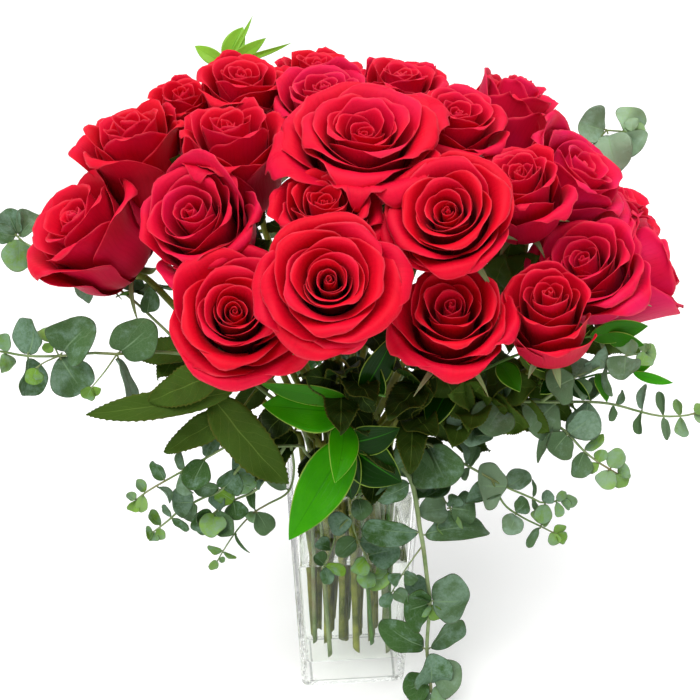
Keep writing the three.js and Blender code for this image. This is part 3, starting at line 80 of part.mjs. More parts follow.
    leaves: [[[16.5,67.8,244.9],[-8.1,72.8,266.8],29.7,[0.485,0.796,0.362],0],[[16.5,67.8,244.9],[43,74.6,234.3],26.3,[0.068,0.751,0.656],0],[[27.5,106.5,269.9],[3.2,122.7,283.4],29.7,[0.581,0.811,0.07],0],[[27.5,106.5,269.9],[63.1,107.2,262.3],31.3,[0.09,0.857,0.507],0],[[40.5,149.1,282.6],[16,158,293.9],24.3,[0.338,0.941,-0.009],0],[[40.5,149.1,282.6],[67.6,149.3,272.2],26.2,[-0.073,0.983,-0.169],0],[[51.4,192.8,282.4],[68.4,196.4,296.1],18.2,[0.226,0.835,-0.501],1],[[51.4,192.8,282.4],[40.6,201.3,270.2],16.4,[0.478,0.86,0.177],1],[[-0.8,76.1,250.5],[-3.8,70.5,285.1],30.3,[-0.455,0.884,0.104],0],[[-0.8,76.1,250.5],[-9.1,91.3,226.2],28.7,[-0.655,0.521,0.547],0],[[-26,101.6,258.8],[-23.3,113.2,288.7],32.1,[-0.694,0.69,-0.206],0],[[-26,101.6,258.8],[-47.3,107.5,230.8],31.9,[-0.615,0.534,0.58],0],[[-53.8,132.1,264.7],[-59.6,141.4,292.9],28.3,[-0.672,0.651,-0.353],0],[[-53.8,132.1,264.7],[-67,144.1,234.4],34.1,[-0.878,0.17,0.448],0],[[-77,159.7,264.2],[-75.5,171.1,290],24.5,[-0.655,0.705,-0.273],0],[[-77,159.7,264.2],[-84.9,157.8,239.2],23.6,[-0.576,0.809,0.119],0],[[-97.5,186.4,255.7],[-89.3,195.2,255.2],10.9,[-0.729,0.684,-0.031],1],[[-97.5,186.4,255.7],[-110.5,182.2,254.2],12.7,[-0.264,0.923,-0.278],1],[[47.5,116.6,279.8],[51.9,118.6,314.3],29.9,[0.847,0.513,-0.139],0],[[47.5,116.6,279.8],[58,120.8,252.8],25.9,[0.867,0.312,0.388],0],[[82.9,130.8,288.2],[91.1,124.8,322.2],31.4,[0.949,0.257,-0.182],0],[[82.9,130.8,288.2],[96.7,144.1,263.9],28.3,[0.879,-0.047,0.474],0],[[118.6,143.2,295.4],[117.5,142.4,322],22,[0.972,0.232,0.045],0],[[118.6,143.2,295.4],[131.6,147.9,268.6],27.8,[0.898,0.011,0.441],0],[[158.1,152.4,295.6],[165.6,161.6,315.5],22.1,[0.86,0.258,-0.441],1],[[158.1,152.4,295.6],[164.6,146.3,275.8],17.8,[0.943,0.236,0.236],1],[[29.3,62.2,225],[16,90.9,239.4],31.6,[0.908,0.42,0.003],0],[[29.3,62.2,225],[53.7,44.9,211.7],28,[0.659,0.674,0.333],0],[[65.6,87.2,222.1],[84.8,73.6,243.2],27,[0.796,0.307,-0.522],0],[[65.6,87.2,222.1],[54.4,104.5,201.1],29.3,[0.7,0.688,0.191],0],[[103.5,111.4,211],[128.3,103.4,224.3],28.1,[0.498,0.708,-0.501],0],[[103.5,111.4,211],[91.4,126.5,191.8],26.3,[0.792,0.611,-0.019],0],[[133.4,130.3,190.8],[143,132.2,196.1],9.8,[0.375,0.415,-0.829],1],[[133.4,130.3,190.8],[127.8,131.1,181.6],9.7,[0.785,0.432,-0.444],1]] },
  { name: "ruscus_back", kind: "rus",
    branches: [[2,[[-28.1,31.3,34.9],[-17,33.6,203],[-17.1,32.5,203.5],[-17.3,31.2,203.4],[-17.5,30,203.3],[-17.8,28.7,203.1],[-18.1,27.4,203],[-28.2,45.8,228],[-39.2,64.3,251.4],[-51.8,82.7,272.1],[-66.4,100.6,290],[-82.9,117.7,305.6],[-100.8,133,318.9],[-118.9,145.2,329.7],[-136.7,154.1,338],[-154.1,161.1,345]]], [1.4,[[-42.9,69.8,257.6],[-54.6,88.7,293.3],[-68.2,107.4,326],[-78.8,121.8,356.2],[-85,129.9,382.7],[-88,133.5,406.3],[-89.4,134.9,428],[-89.6,134.6,447.7],[-88.9,133.2,466],[-88,131.5,484]]], [1.4,[[-26.2,42.1,223],[-2.9,62.4,244.9],[15.6,75.2,274.2],[34.1,89.7,295],[50.1,101.2,310.8],[64.4,110.5,322.9],[77.8,118,332.5],[90.4,123.7,339.6],[102.5,128.2,345],[114.5,132.3,350]]]],
    leaves: [[[-35.9,58.8,244.4],[-73.6,27.4,267],24.6,[-0.052,0.622,0.781],0],[[-35.9,58.8,244.4],[-11.7,98.8,242.1],20.8,[-0.188,0.169,0.967],0],[[-66.2,100.4,289.8],[-35.8,118.5,337],25.2,[-0.853,0.279,0.442],0],[[-66.2,100.4,289.8],[-113.8,104.1,264.8],23.2,[-0.346,0.574,0.742],0],[[-102.1,133.9,319.7],[-89.9,144.6,361],20.7,[-0.64,0.768,-0.009],0],[[-102.1,133.9,319.7],[-128.3,134.8,292.4],15.9,[-0.454,0.763,0.46],0],[[-147.5,158.5,342.4],[-154.2,145.7,355.4],8.2,[-0.629,0.691,0.357],1],[[-147.5,158.5,342.4],[-148.5,176.1,331.2],9.6,[-0.664,0.374,0.648],1],[[-47.9,79.5,277.8],[-36.8,44.7,318.8],26.5,[-0.543,0.562,0.624],0],[[-47.9,79.5,277.8],[-68.5,124.5,268.3],22.4,[-0.215,0.106,0.971],0],[[-67.6,106.5,324.5],[-84.4,74,352.5],20.8,[-0.31,0.707,0.635],0],[[-67.6,106.5,324.5],[-58.5,158.8,317.4],23,[-0.892,0.209,0.402],0],[[-86,131.1,390.6],[-57.1,96.1,414.3],24.6,[-0.288,0.363,0.886],0],[[-86,131.1,390.6],[-113.1,163.9,389],18.1,[0.282,0.276,0.919],0],[[-12.8,52.1,240.1],[-47.7,66.7,284.6],28.8,[0.797,0.295,0.528],0],[[-12.8,52.1,240.1],[31,51.9,220.6],21.3,[0.292,0.7,0.652],0],[[23.7,81.6,283.3],[23.7,59,336.2],27.4,[0.111,0.915,0.389],0],[[23.7,81.6,283.3],[48.5,125.5,253.5],25,[0.18,0.48,0.859],0],[[69,113.1,326.2],[53.6,153.2,333.9],20.7,[0.753,0.168,0.636],0],[[69,113.1,326.2],[99.3,86.9,331.3],17.4,[0.378,0.578,0.723],0],[[-88.5,131.7,484.2],[-112,143.5,496],15,[-0.294,-0.901,0.318],1],[[-87.8,131.8,484.5],[-73.9,147.4,509.4],21,[0.239,-0.877,0.418],1],[[-87.4,131.7,484.4],[-56.2,142.4,501.7],13,[0.217,-0.956,0.199],1],[[-87,131.6,484.3],[-36.7,139.3,498.2],6,[0.114,-0.985,0.13],1],[[-87.5,131.9,484.8],[-62.5,153.2,522.8],5,[0.229,-0.906,0.357],1]] },
];

// ---- helpers ----
const V = (a) => new THREE.Vector3(a[0], a[1], a[2]);
const owned = [];
function solid(geometry) {
  const g = geometry.clone();
  for (const name of Object.keys(g.attributes)) if (name !== 'position') g.deleteAttribute(name);
  const m = BufferGeometryUtils.mergeVertices(g, 1e-4);
  const index = m.index ? new Uint32Array(m.index.array) : Uint32Array.from({ length: m.attributes.position.count }, (_, i) => i);
  const out = [];
  for (let i = 0; i < index.length; i += 3) {
    const [a, b, c] = [index[i], index[i + 1], index[i + 2]];
    if (a !== b && b !== c && a !== c) out.push(a, b, c);
  }
  const s = new wasm.Manifold(new wasm.Mesh({ numProp: 3, vertProperties: new Float32Array(m.attributes.position.array), triVerts: new Uint32Array(out) }));
  owned.push(s);
  return s;
}
function keepLargest(s) {
  const parts = s.decompose();
  if (parts.length === 1) return s;
  let best = parts[0];
  for (const p of parts) if (p.volume() > best.volume()) best = p;
  return best;
}
function geometryOf(s) {
  const mesh = s.getMesh();
  const g = new THREE.BufferGeometry();
  g.setAttribute('position', new THREE.BufferAttribute(new Float32Array(mesh.vertProperties), 3));
  g.setIndex(new THREE.BufferAttribute(new Uint32Array(mesh.triVerts), 1));
  g.computeVertexNormals();
  return g;
}
function joined(list) {
  let s = list[0];
  for (let i = 1; i < list.length; i++) s = s.add(list[i]);
  return s;
}
// A round rod along a curve.
function rod(points, radius, sides, steps) {
  const path = new THREE.CatmullRomCurve3(points.map(V), false, 'centripetal');
  const ring = [];
  for (let i = 0; i < sides; i++) ring.push(new THREE.Vector2(radius * Math.cos((2 * Math.PI * i) / sides), radius * Math.sin((2 * Math.PI * i) / sides)));
  return solid(new THREE.ExtrudeGeometry(new THREE.Shape(ring), { steps, bevelEnabled: false, extrudePath: path }));
}
// A turned shape whose axis runs from `base` along `dir`. profile: [radius, distance along the axis].
function turned(profile, segments, base, dir, lobe = 0, spin = 0) {
  const g = new THREE.LatheGeometry(profile.map((p) => new THREE.Vector2(p[0], p[1])), segments);
  if (lobe) {
    const p = g.attributes.position;
    for (let i = 0; i < p.count; i++) {
      const x = p.getX(i), z = p.getZ(i), a = Math.atan2(z, x), r = Math.hypot(x, z);
      const k = 1 - lobe * (0.5 - 0.5 * Math.cos(4 * a)) * Math.min(1, r / 30);
      p.setX(i, x * k); p.setZ(i, z * k);
    }
  }
  g.rotateY(spin);
  g.applyQuaternion(new THREE.Quaternion().setFromUnitVectors(new THREE.Vector3(0, 1, 0), V(dir).normalize()));
  g.translate(base[0], base[1], base[2]);
  return solid(g);
}
// A leaf blade as a thin plate. extra thickens and widens it, for cutting its neighbours back.
const OUTLINES = {
  small: [[-0.04, 0], [0.5, 0.5], [1, 0], [0.5, -0.5]],
  round: [[-0.04, 0], [0.4, 0.5], [0.93, 0.28], [0.93, -0.28], [0.4, -0.5]],
  pointed: [[-0.04, 0], [0.42, 0.5], [1, 0], [0.42, -0.5]],
};
function blade(outline, base, tip, width, normal, extra = 0) {
  const b = V(base), t = V(tip), along = t.clone().sub(b), length = along.length();
  along.normalize();
  const n = V(normal); n.addScaledVector(along, -n.dot(along)).normalize();
  const side = new THREE.Vector3().crossVectors(n, along);
  const shape = new THREE.Shape(outline.map(([u, v]) => new THREE.Vector2(u * length + (u > 0.5 ? extra : -extra), v * width + Math.sign(v) * extra)));
  const thick = LEAF_THICK + 2 * extra;
  const g = new THREE.ExtrudeGeometry(shape, { depth: thick, steps: 1, bevelEnabled: false });
  g.translate(0, 0, -thick / 2);
  const m = new THREE.Matrix4().makeBasis(along, side, n);
  if (m.determinant() < 0) throw new Error('left-handed leaf frame');
  m.setPosition(b);
  g.applyMatrix4(m);
  return solid(g);
}
function tapered(height, from, halfAt, corner) {
  // rounded square prism whose half width follows halfAt(z)
  const h = 50, c = corner, s = new THREE.Shape();
  s.moveTo(-h + c, -h); s.lineTo(h - c, -h); s.absarc(h - c, -h + c, c, -Math.PI / 2, 0);
  s.lineTo(h, h - c); s.absarc(h - c, h - c, c, 0, Math.PI / 2);
  s.lineTo(-h + c, h); s.absarc(-h + c, h - c, c, Math.PI / 2, Math.PI);
  s.lineTo(-h, -h + c); s.absarc(-h + c, -h + c, c, Math.PI, 1.5 * Math.PI);
  const g = new THREE.ExtrudeGeometry(s, { depth: height, steps: 1, bevelEnabled: false, curveSegments: 3 });
  const p = g.attributes.position;
  for (let i = 0; i < p.count; i++) {
    const z = p.getZ(i) + from, k = halfAt(z) / h;
    p.setXYZ(i, p.getX(i) * k, p.getY(i) * k, z);
  }
  return solid(g);
}

// ---- finishes ----
const finish = (color, roughness, extra = {}) => new THREE.MeshStandardMaterial({ color, roughness, metalness: 0, ...extra });
const PETAL = () => finish(0xc8102e, 0.6);
const STEM = () => finish(0x5d7a2c, 0.55);
const EUCALYPTUS = () => finish(0x5f8269, 0.6);
const RUSCUS = () => finish(0x2f8a12, 0.3);
const GLASS = () => finish(0xe6f2ee, 0.05, { transparent: true, opacity: 0.35 });
const WATER = () => finish(0xdfeff0, 0.05, { transparent: true, opacity: 0.35 });

const bouquet = new THREE.Group();
bouquet.name = 'roses_in_a_vase';
function place(name, s, material) {
  const mesh = new THREE.Mesh(geometryOf(keepLargest(s.simplify(0.12))), material);
  mesh.name = name;
  bouquet.add(mesh);
}
const pad = (n) => String(n).padStart(2, '0');

// ---- vase ----
const outerHalf = (z) => VASE_BASE / 2 + ((VASE_TOP - VASE_BASE) / 2) * (z / VASE_HEIGHT);
const innerHalf = (z) => outerHalf(z) - VASE_WALL;
const vase = tapered(VASE_HEIGHT, 0, outerHalf, VASE_CORNER).subtract(tapered(VASE_HEIGHT, VASE_FLOOR, innerHalf, 2.5));
const vaseBlock = tapered(VASE_HEIGHT + GAP, 0, (z) => outerHalf(Math.min(z, VASE_HEIGHT)) + GAP, VASE_CORNER).subtract(tapered(VASE_HEIGHT, VASE_FLOOR - GAP, (z) => innerHalf(Math.min(z, VASE_HEIGHT)) - GAP, 2.5));
place('vase', vase, GLASS());

// ---- rose stems: the rod and its hip ----
const SIDES = 5, STEPS = 8;
function stemSolid(r, extra) {
  const s = rod(r.stem, STEM_RADIUS + extra, SIDES, STEPS);
  const hip = turned([[0, -HIP_HEIGHT], [STEM_RADIUS + extra, -HIP_HEIGHT], [HIP_RADIUS + extra, -2.5], [HIP_RADIUS - 1 + extra, extra], [0, extra]], 5, r.B, r.a);
  return s.add(hip);
}
const stems = new Map(), fatStems = new Map();
for (const r of ROSES) { stems.set(r.k, stemSolid(r, 0)); fatStems.set(r.k, stemSolid(r, GAP)); }

// ---- blooms: each a cup of petals on its hip, pressed against its neighbours ----
function bloomSolid(r, extra) {
  const { R, H, open } = r, e = extra;
  const lip = 0.97 - 0.22 * open, mid = 0.80 + 0.10 * open;
  const profile = [[0, 0.4 - e], [5 + e, 0.4 - e], [0.55 * R + e, 0.17 * H], [mid * R + e, 0.45 * H], [R + e, lip * H], [0.86 * R + e, lip * H + 3 + e], [0.42 * R, H + e], [0, H + e]];
  return turned(profile, 8, r.B, r.a, 0.1, r.k * 0.7);
}
const ORDER = [...ROSES].sort((p, q) => (q.R * q.H) - (p.R * p.H));
const blooms = new Map(), fatBlooms = new Map();
for (const r of ORDER) {
  let s = bloomSolid(r, 0);
  for (const o of ROSES) {
    if (o.k === r.k) continue;
    const near = Math.hypot(o.C[0] - r.C[0], o.C[1] - r.C[1], o.C[2] - r.C[2]) < 170;
    if (!near) continue;
    if (fatBlooms.has(o.k)) s = s.subtract(fatBlooms.get(o.k));
    s = s.subtract(fatStems.get(o.k));
  }
  s = keepLargest(s);
  blooms.set(r.k, s);
  fatBlooms.set(r.k, bloomSolid(r, GAP));
}

// ---- rods of the sprigs: main stem and side twigs ----
const steps = (points) => Math.max(2, Math.min(12, Math.round(points.length * 0.6)));
const rodsOf = (s, extra) => joined(s.branches.map(([radius, points], i) => rod(points, radius + extra, i ? 3 : 5, steps(points))));
const fatRods = SPRIGS.map((s) => rodsOf(s, GAP));

// ---- leaves of the roses, joined to their stems by a short stalk ----
const fatLeaves = [];
for (const r of ROSES) {
  let s = stems.get(r.k);
  if (r.leaves.length) {
    const add = [], fat = [];
    for (const [on, base, tip, width, normal] of r.leaves) {
      add.push(rod([on, base], 1.2, 3, 1), blade(OUTLINES.pointed, base, tip, width, normal));
      fat.push(rod([on, base], 1.2 + GAP, 3, 1), blade(OUTLINES.pointed, base, tip, width, normal, GAP));
    }
    let foliage = joined(add);
    for (const o of ROSES) {
      if (o.k !== r.k) foliage = foliage.subtract(fatStems.get(o.k));
      foliage = foliage.subtract(fatBlooms.get(o.k));
    }
    for (const f of [...fatLeaves, ...fatRods, vaseBlock]) foliage = foliage.subtract(f);
    s = keepLargest(s.add(foliage));
    fatLeaves.push(joined(fat));
  }
  stems.set(r.k, s);
}
for (const r of ROSES) {
  place(`rose_${pad(r.k)}_bloom`, blooms.get(r.k), PETAL());
  place(`rose_${pad(r.k)}_stem`, stems.get(r.k), STEM());
}

// ---- eucalyptus and glossy shoots ----
function bladesOf(s, extra) {
  const list = [];
  for (const [base, tip, width, normal, young] of s.leaves) {
    const length = Math.hypot(tip[0] - base[0], tip[1] - base[1], tip[2] - base[2]);
    if (length < SMALLEST_LEAF || young === 1) continue;
    const outline = s.kind === 'rus' ? OUTLINES.pointed : length < 28 ? OUTLINES.small : OUTLINES.round;
    list.push(blade(outline, base, tip, width, normal, extra));
  }
  return joined(list);
}
const obstacles = [vaseBlock, ...fatLeaves];
SPRIGS.forEach((s, i) => {
  let rods = rodsOf(s, 0), leaves = bladesOf(s, 0);
  for (const r of ROSES) {
    rods = rods.subtract(fatStems.get(r.k)).subtract(fatBlooms.get(r.k));
    leaves = leaves.subtract(fatStems.get(r.k)).subtract(fatBlooms.get(r.k));
  }
  rods = rods.subtract(vaseBlock);
  fatRods.forEach((f, j) => {
    if (j !== i) leaves = leaves.subtract(f);
    if (j < i) rods = rods.subtract(f);
  });
  for (const o of obstacles) leaves = leaves.subtract(o);
  //DBG
  obstacles.push(bladesOf(s, GAP));
  place(s.name, keepLargest(rods.add(leaves)), s.kind === 'rus' ? RUSCUS() : EUCALYPTUS());
});

// ---- water, standing round the stems ----
let water = tapered(WATER_LEVEL - VASE_FLOOR - GAP, VASE_FLOOR + GAP, (z) => innerHalf(z) - GAP, 2.5);
for (const r of ROSES) water = water.subtract(rod(r.stem, STEM_RADIUS + GAP, SIDES, STEPS));
for (const f of fatRods) water = water.subtract(f);
for (const o of obstacles.slice(1)) water = water.subtract(o);
place('water', keepLargest(water), WATER());

export default bouquet;
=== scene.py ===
import math
import bpy
import numpy as np
from mathutils import Matrix, Vector


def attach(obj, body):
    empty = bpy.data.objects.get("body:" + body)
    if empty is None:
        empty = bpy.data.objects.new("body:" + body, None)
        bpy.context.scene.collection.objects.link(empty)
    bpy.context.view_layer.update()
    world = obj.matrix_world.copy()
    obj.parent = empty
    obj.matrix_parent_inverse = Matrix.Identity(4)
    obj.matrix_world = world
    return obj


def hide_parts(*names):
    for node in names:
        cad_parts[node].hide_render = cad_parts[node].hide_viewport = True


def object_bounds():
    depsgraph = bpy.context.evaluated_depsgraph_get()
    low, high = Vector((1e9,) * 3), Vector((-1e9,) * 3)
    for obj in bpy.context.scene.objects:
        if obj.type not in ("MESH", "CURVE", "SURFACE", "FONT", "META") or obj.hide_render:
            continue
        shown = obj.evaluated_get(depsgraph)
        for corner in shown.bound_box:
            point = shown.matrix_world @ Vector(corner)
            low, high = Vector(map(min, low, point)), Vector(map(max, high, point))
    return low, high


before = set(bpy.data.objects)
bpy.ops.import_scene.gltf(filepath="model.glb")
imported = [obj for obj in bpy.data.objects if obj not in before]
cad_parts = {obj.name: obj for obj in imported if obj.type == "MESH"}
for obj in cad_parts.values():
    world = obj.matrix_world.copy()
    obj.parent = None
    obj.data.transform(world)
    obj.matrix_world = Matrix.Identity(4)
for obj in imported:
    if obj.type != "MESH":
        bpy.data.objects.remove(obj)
CAD_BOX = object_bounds()
MM = 0.001

# ---------------------------------------------------------------- tables, millimetres
# number, centre of the opening, direction it faces, base of the bloom, radius, height, openness,
# points along the stem, leaves [on stem, blade base, blade tip, width, normal]
ROSES = [
    {"k": 1, "C": [-190.1, -2.3, 408.1], "a": [-0.526, -0.363, 0.769], "B": [-155.4, 21.7, 357.4], "R": 45, "H": 66, "open": 0.5,
     "stem": [[-31.5, -4.6, 36.4], [-37.2, 2, 203], [-45.4, 4.8, 223.8], [-61.3, 8.8, 243.1], [-77.2, 12.7, 262.3], [-93.2, 16.5, 281.5], [-109.2, 20.3, 300.6], [-125.2, 24.1, 319.7], [-141.2, 27.8, 338.8], [-153.3, 23.2, 354.3], [-155, 22, 356.8]],
     "leaves": [[[-109.2, 20.3, 300.6], [-109.8, -15.1, 307.6], [-155.7, -9.2, 301.5], 25.8, [-0.18, -0.695, 0.696]], [[-87.9, 15.3, 275.1], [-94.7, 15.2, 268.9], [-134.9, 17.5, 256.2], 24.7, [-0.306, -0.165, 0.938]], [[-111.8, 21, 303.8], [-115.8, 13.5, 300.6], [-138.7, -22.4, 289.1], 30, [0.03, -0.324, 0.946]]]},
    {"k": 2, "C": [-103.7, -51.5, 422.7], "a": [-0.224, -0.647, 0.729], "B": [-89.8, -11.4, 377.5], "R": 39, "H": 62, "open": 0.45,
     "stem": [[-19.3, -3.3, 30], [-25.1, 2.2, 203], [-29.8, 3, 224.5], [-38.7, 2.8, 247.1], [-47.6, 2.6, 269.6], [-56.6, 2.2, 292.1], [-65.5, 1.8, 314.5], [-74.4, 1.3, 336.8], [-83.3, 0.7, 359.2], [-88.9, -8.8, 374.6], [-89.6, -10.9, 376.9]],
     "leaves": [[[-61, 2, 303.3], [-66.8, -38.3, 300.5], [-102.7, -21.5, 318.3], 27.9, [0.178, -0.511, 0.841]], [[-43.2, 2.7, 258.3], [-48.9, -4.4, 254.2], [-77.3, -40, 233.7], 28.9, [-0.428, -0.17, 0.888]], [[-52.1, 2.4, 280.8], [-58.6, -3.7, 276.3], [-90.9, -34.1, 253.4], 24.9, [-0.319, -0.329, 0.889]], [[-87.9, -7.2, 372], [-80.6, -9.2, 371.8], [-55.4, -32.6, 394.3], 24, [-0.578, -0.795, -0.181]]]},
    {"k": 3, "C": [-148.9, 32, 461.4], "a": [-0.139, -0.242, 0.96], "B": [-138.7, 49.9, 390.4], "R": 38, "H": 74, "open": 0.35,
     "stem": [[-30.3, 10.1, 36.8], [-31, 12.4, 203], [-38.9, 16.1, 226.8], [-54.4, 22.5, 249.9], [-69.9, 28.8, 273.1], [-85.4, 35, 296.2], [-100.8, 41.2, 319.2], [-116.3, 47.3, 342.3], [-131.7, 53.4, 365.4], [-138.1, 50.9, 386.5], [-138.6, 50.1, 389.6]],
     "leaves": [[[-95.7, 39.1, 311.6], [-100.6, 49.8, 306.2], [-126.6, 90.2, 301], 30, [-0.198, 0, 0.98]], [[-111.1, 45.3, 334.6], [-122.2, 41.2, 330.9], [-172.7, 29.7, 331.3], 30, [-0.03, 0.168, 0.985]], [[-80.2, 32.9, 288.5], [-85.6, 36.9, 281.3], [-123.7, 60.9, 265.5], 27.1, [-0.442, -0.114, 0.89]], [[-136, 51.7, 379.5], [-138, 50.5, 378], [-159.8, 39.9, 411.8], 26, [0.646, -0.742, 0.182]], [[-138.1, 50.9, 386.5], [-135, 47.1, 394], [-116.6, 24.9, 437.4], 26, [-0.228, -0.903, -0.364]]]},
    {"k": 4, "C": [-78.1, -5.1, 467.3], "a": [-0.043, -0.31, 0.95], "B": [-75.1, 16.6, 400.8], "R": 38, "H": 70, "open": 0.45,
     "stem": [[-5.2, -4.1, 29.7], [-12.9, 1.6, 203], [-18, 3.9, 226.6], [-27, 7, 251.6], [-36, 10.1, 276.6], [-45, 13.2, 301.5], [-54, 16.2, 326.5], [-63, 19.2, 351.4], [-72, 22.1, 376.3], [-74.9, 17.8, 397], [-75.1, 16.8, 400]],
     "leaves": [[[-30, 8.1, 259.9], [-38.9, 3.9, 259.2], [-70.2, -16.1, 238.4], 25.1, [-0.424, -0.244, 0.872]], [[-49.5, 14.7, 314], [-57.8, 19.6, 311.4], [-89.8, 38.3, 301.1], 24.4, [-0.417, -0.233, 0.878]], [[-73.9, 19.2, 390.1], [-69.8, 18.1, 389.5], [-57.4, 5.4, 424.5], 26, [-0.532, -0.839, -0.116]], [[-72.9, 20.7, 383.2], [-70.6, 12.5, 383.5], [-61.2, -25.8, 392.8], 26, [-0.843, -0.079, 0.532]]]},
    {"k": 5, "C": [-116, 71.8, 473.5], "a": [-0.032, -0.343, 0.939], "B": [-114.2, 91, 420.9], "R": 31, "H": 56, "open": 0.3,
     "stem": [[-27, 19.3, 28.3], [-23.7, 24, 203], [-30.3, 30.5, 230.2], [-43.6, 41.6, 257.5], [-56.9, 52.7, 284.8], [-70.2, 63.7, 312], [-83.5, 74.6, 339.2], [-96.7, 85.4, 366.3], [-110, 96.2, 393.5], [-114.1, 92.4, 417.2], [-114.2, 91.3, 420.2]],
     "leaves": [[[-79.1, 71, 330.1], [-80, 82.8, 325.7], [-92.2, 135.5, 326.2], 30, [-0.164, -0.047, 0.985]], [[-92.3, 81.8, 357.3], [-104, 81.6, 352.2], [-152.5, 87.2, 350.3], 30, [-0.018, 0.171, 0.985]], [[-90.1, 80, 352.8], [-99.1, 81.5, 348.6], [-137.9, 88.2, 330.5], 30.5, [-0.304, 0.472, 0.827]]]},
    {"k": 6, "C": [-71.2, 51.7, 490], "a": [0.037, -0.289, 0.957], "B": [-73.2, 66.7, 440.3], "R": 36, "H": 52, "open": 0.5,
     "stem": [[-16.6, 7.4, 31.6], [-17.5, 12, 203], [-21.9, 17.4, 231.5], [-30.3, 26.5, 261.5], [-38.7, 35.6, 291.5], [-47, 44.6, 321.5], [-55.3, 53.5, 351.5], [-63.6, 62.4, 381.4], [-71.9, 71.2, 411.4], [-73.3, 67.8, 436.4], [-73.2, 66.9, 439.5]],
     "leaves": [[[-52.5, 50.5, 341.5], [-53.9, 62.8, 336], [-63.5, 111.2, 334.3], 30, [-0.172, 0.001, 0.985]], [[-60.8, 59.4, 371.5], [-73.3, 60.2, 365.6], [-122.3, 68.2, 362.5], 30, [-0.034, 0.175, 0.984]]]},
    {"k": 7, "C": [-17.5, 84.2, 493.1], "a": [0.011, -0.166, 0.986], "B": [-18.1, 92.8, 441.8], "R": 35, "H": 52, "open": 0.4,
     "stem": [[-16, 19.9, 33], [-10.9, 21.9, 203], [-11.1, 27.9, 231.5], [-12.3, 39, 261.6], [-13.4, 50.1, 291.8], [-14.6, 61.1, 321.9], [-15.7, 72.1, 352.1], [-16.9, 83, 382.2], [-18, 93.8, 412.2], [-18.1, 93.4, 437.9], [-18.1, 92.9, 441]],
     "leaves": [[[-15.3, 68.4, 342], [-9.9, 79.5, 336.7], [10.9, 130.4, 335.6], 30, [-0.149, 0.082, 0.985]], [[-16.5, 79.3, 372.1], [-26.5, 87.1, 367.2], [-61.7, 120.1, 367.4], 30, [0.119, 0.121, 0.985]]]},
    {"k": 8, "C": [-16.3, 25.7, 485.8], "a": [-0.031, -0.343, 0.939], "B": [-14.7, 43.5, 437], "R": 37, "H": 52, "open": 0.5,
     "stem": [[-4.7, 4.5, 30.2], [-6.2, 10.6, 203], [-6.8, 14.5, 230.5], [-8, 20.5, 260.4], [-9.1, 26.5, 290.3], [-10.3, 32.4, 320.1], [-11.4, 38.3, 349.9], [-12.6, 44.1, 379.7], [-13.7, 49.8, 409.4], [-14.6, 44.9, 433.2], [-14.7, 43.8, 436.2]],
     "leaves": [[[-10.7, 34.4, 330], [-19.4, 38.7, 331.1], [-60.9, 54.7, 312.5], 30.2, [-0.277, 0.332, 0.902]]]},
    {"k": 9, "C": [43, 68.3, 487.6], "a": [0.042, -0.231, 0.972], "B": [40.9, 79.8, 439], "R": 34, "H": 50, "open": 0.45,
     "stem": [[-5.4, 17.1, 34.4], [2.2, 20.9, 203], [5.6, 26.3, 231.1], [11.1, 35.9, 261], [16.7, 45.4, 290.8], [22.2, 54.8, 320.7], [27.6, 64.2, 350.5], [33.1, 73.5, 380.3], [38.6, 82.8, 410], [40.8, 80.7, 435.1], [40.9, 80, 438.2]],
     "leaves": [[[25.8, 61.1, 340.5], [36.7, 67, 335.8], [78, 93.1, 336.8], 30, [-0.107, 0.134, 0.985]], [[31.3, 70.4, 370.3], [27.7, 82.6, 365], [17.2, 135.3, 363.7], 30, [0.161, 0.056, 0.985]]]},
    {"k": 10, "C": [6.5, -37.5, 472.1], "a": [-0.02, -0.465, 0.885], "B": [7.6, -12.4, 424.3], "R": 48.5, "H": 54, "open": 1,
     "stem": [[6, -7.8, 34.3], [-0.6, 0, 203], [-0.4, 0.9, 229], [1, 0.5, 257.5], [2.3, 0.1, 285.9], [3.6, -0.4, 314.3], [5, -0.9, 342.7], [6.3, -1.6, 371], [7.6, -2.3, 399.3], [7.7, -10.5, 420.7], [7.6, -12, 423.6]],
     "leaves": [[[2.7, -0.1, 295.4], [3.7, -8.7, 295.1], [6.9, -48.4, 271.8], 27.1, [-0.061, -0.509, 0.859]], [[4.1, -0.6, 323.8], [8.1, -9.2, 324.9], [22.7, -41.8, 311.4], 26.2, [-0.132, -0.43, 0.893]], [[6.7, -1.8, 380.4], [9.7, -5, 382.2], [24.9, -20.7, 418.4], 26, [-0.392, -0.893, -0.222]]]},
    {"k": 11, "C": [72.8, 2.8, 472.3], "a": [0.076, -0.41, 0.909], "B": [68.7, 25, 423.2], "R": 34, "H": 54, "open": 0.5,
     "stem": [[7.6, 16.4, 29.6], [6.7, 10.3, 203], [11.1, 12.1, 229.4], [20.1, 15.7, 257.5], [29, 19.3, 285.5], [37.9, 22.9, 313.5], [46.9, 26.3, 341.5], [55.8, 29.7, 369.4], [64.7, 33, 397.3], [68.4, 26.6, 419.6], [68.6, 25.3, 422.5]],
     "leaves": [[[33.5, 21.1, 299.5], [40.7, 15.2, 296], [73.9, -11.7, 279.8], 30.9, [0.525, 0.142, 0.839]], [[51.3, 28, 355.4], [59.4, 22.6, 353], [91, 1.8, 343.5], 28.8, [0.505, 0.421, 0.754]]]},
    {"k": 12, "C": [127.4, 46.9, 478.8], "a": [0.36, -0.075, 0.93], "B": [102.8, 52, 415.5], "R": 34, "H": 68, "open": 0.12,
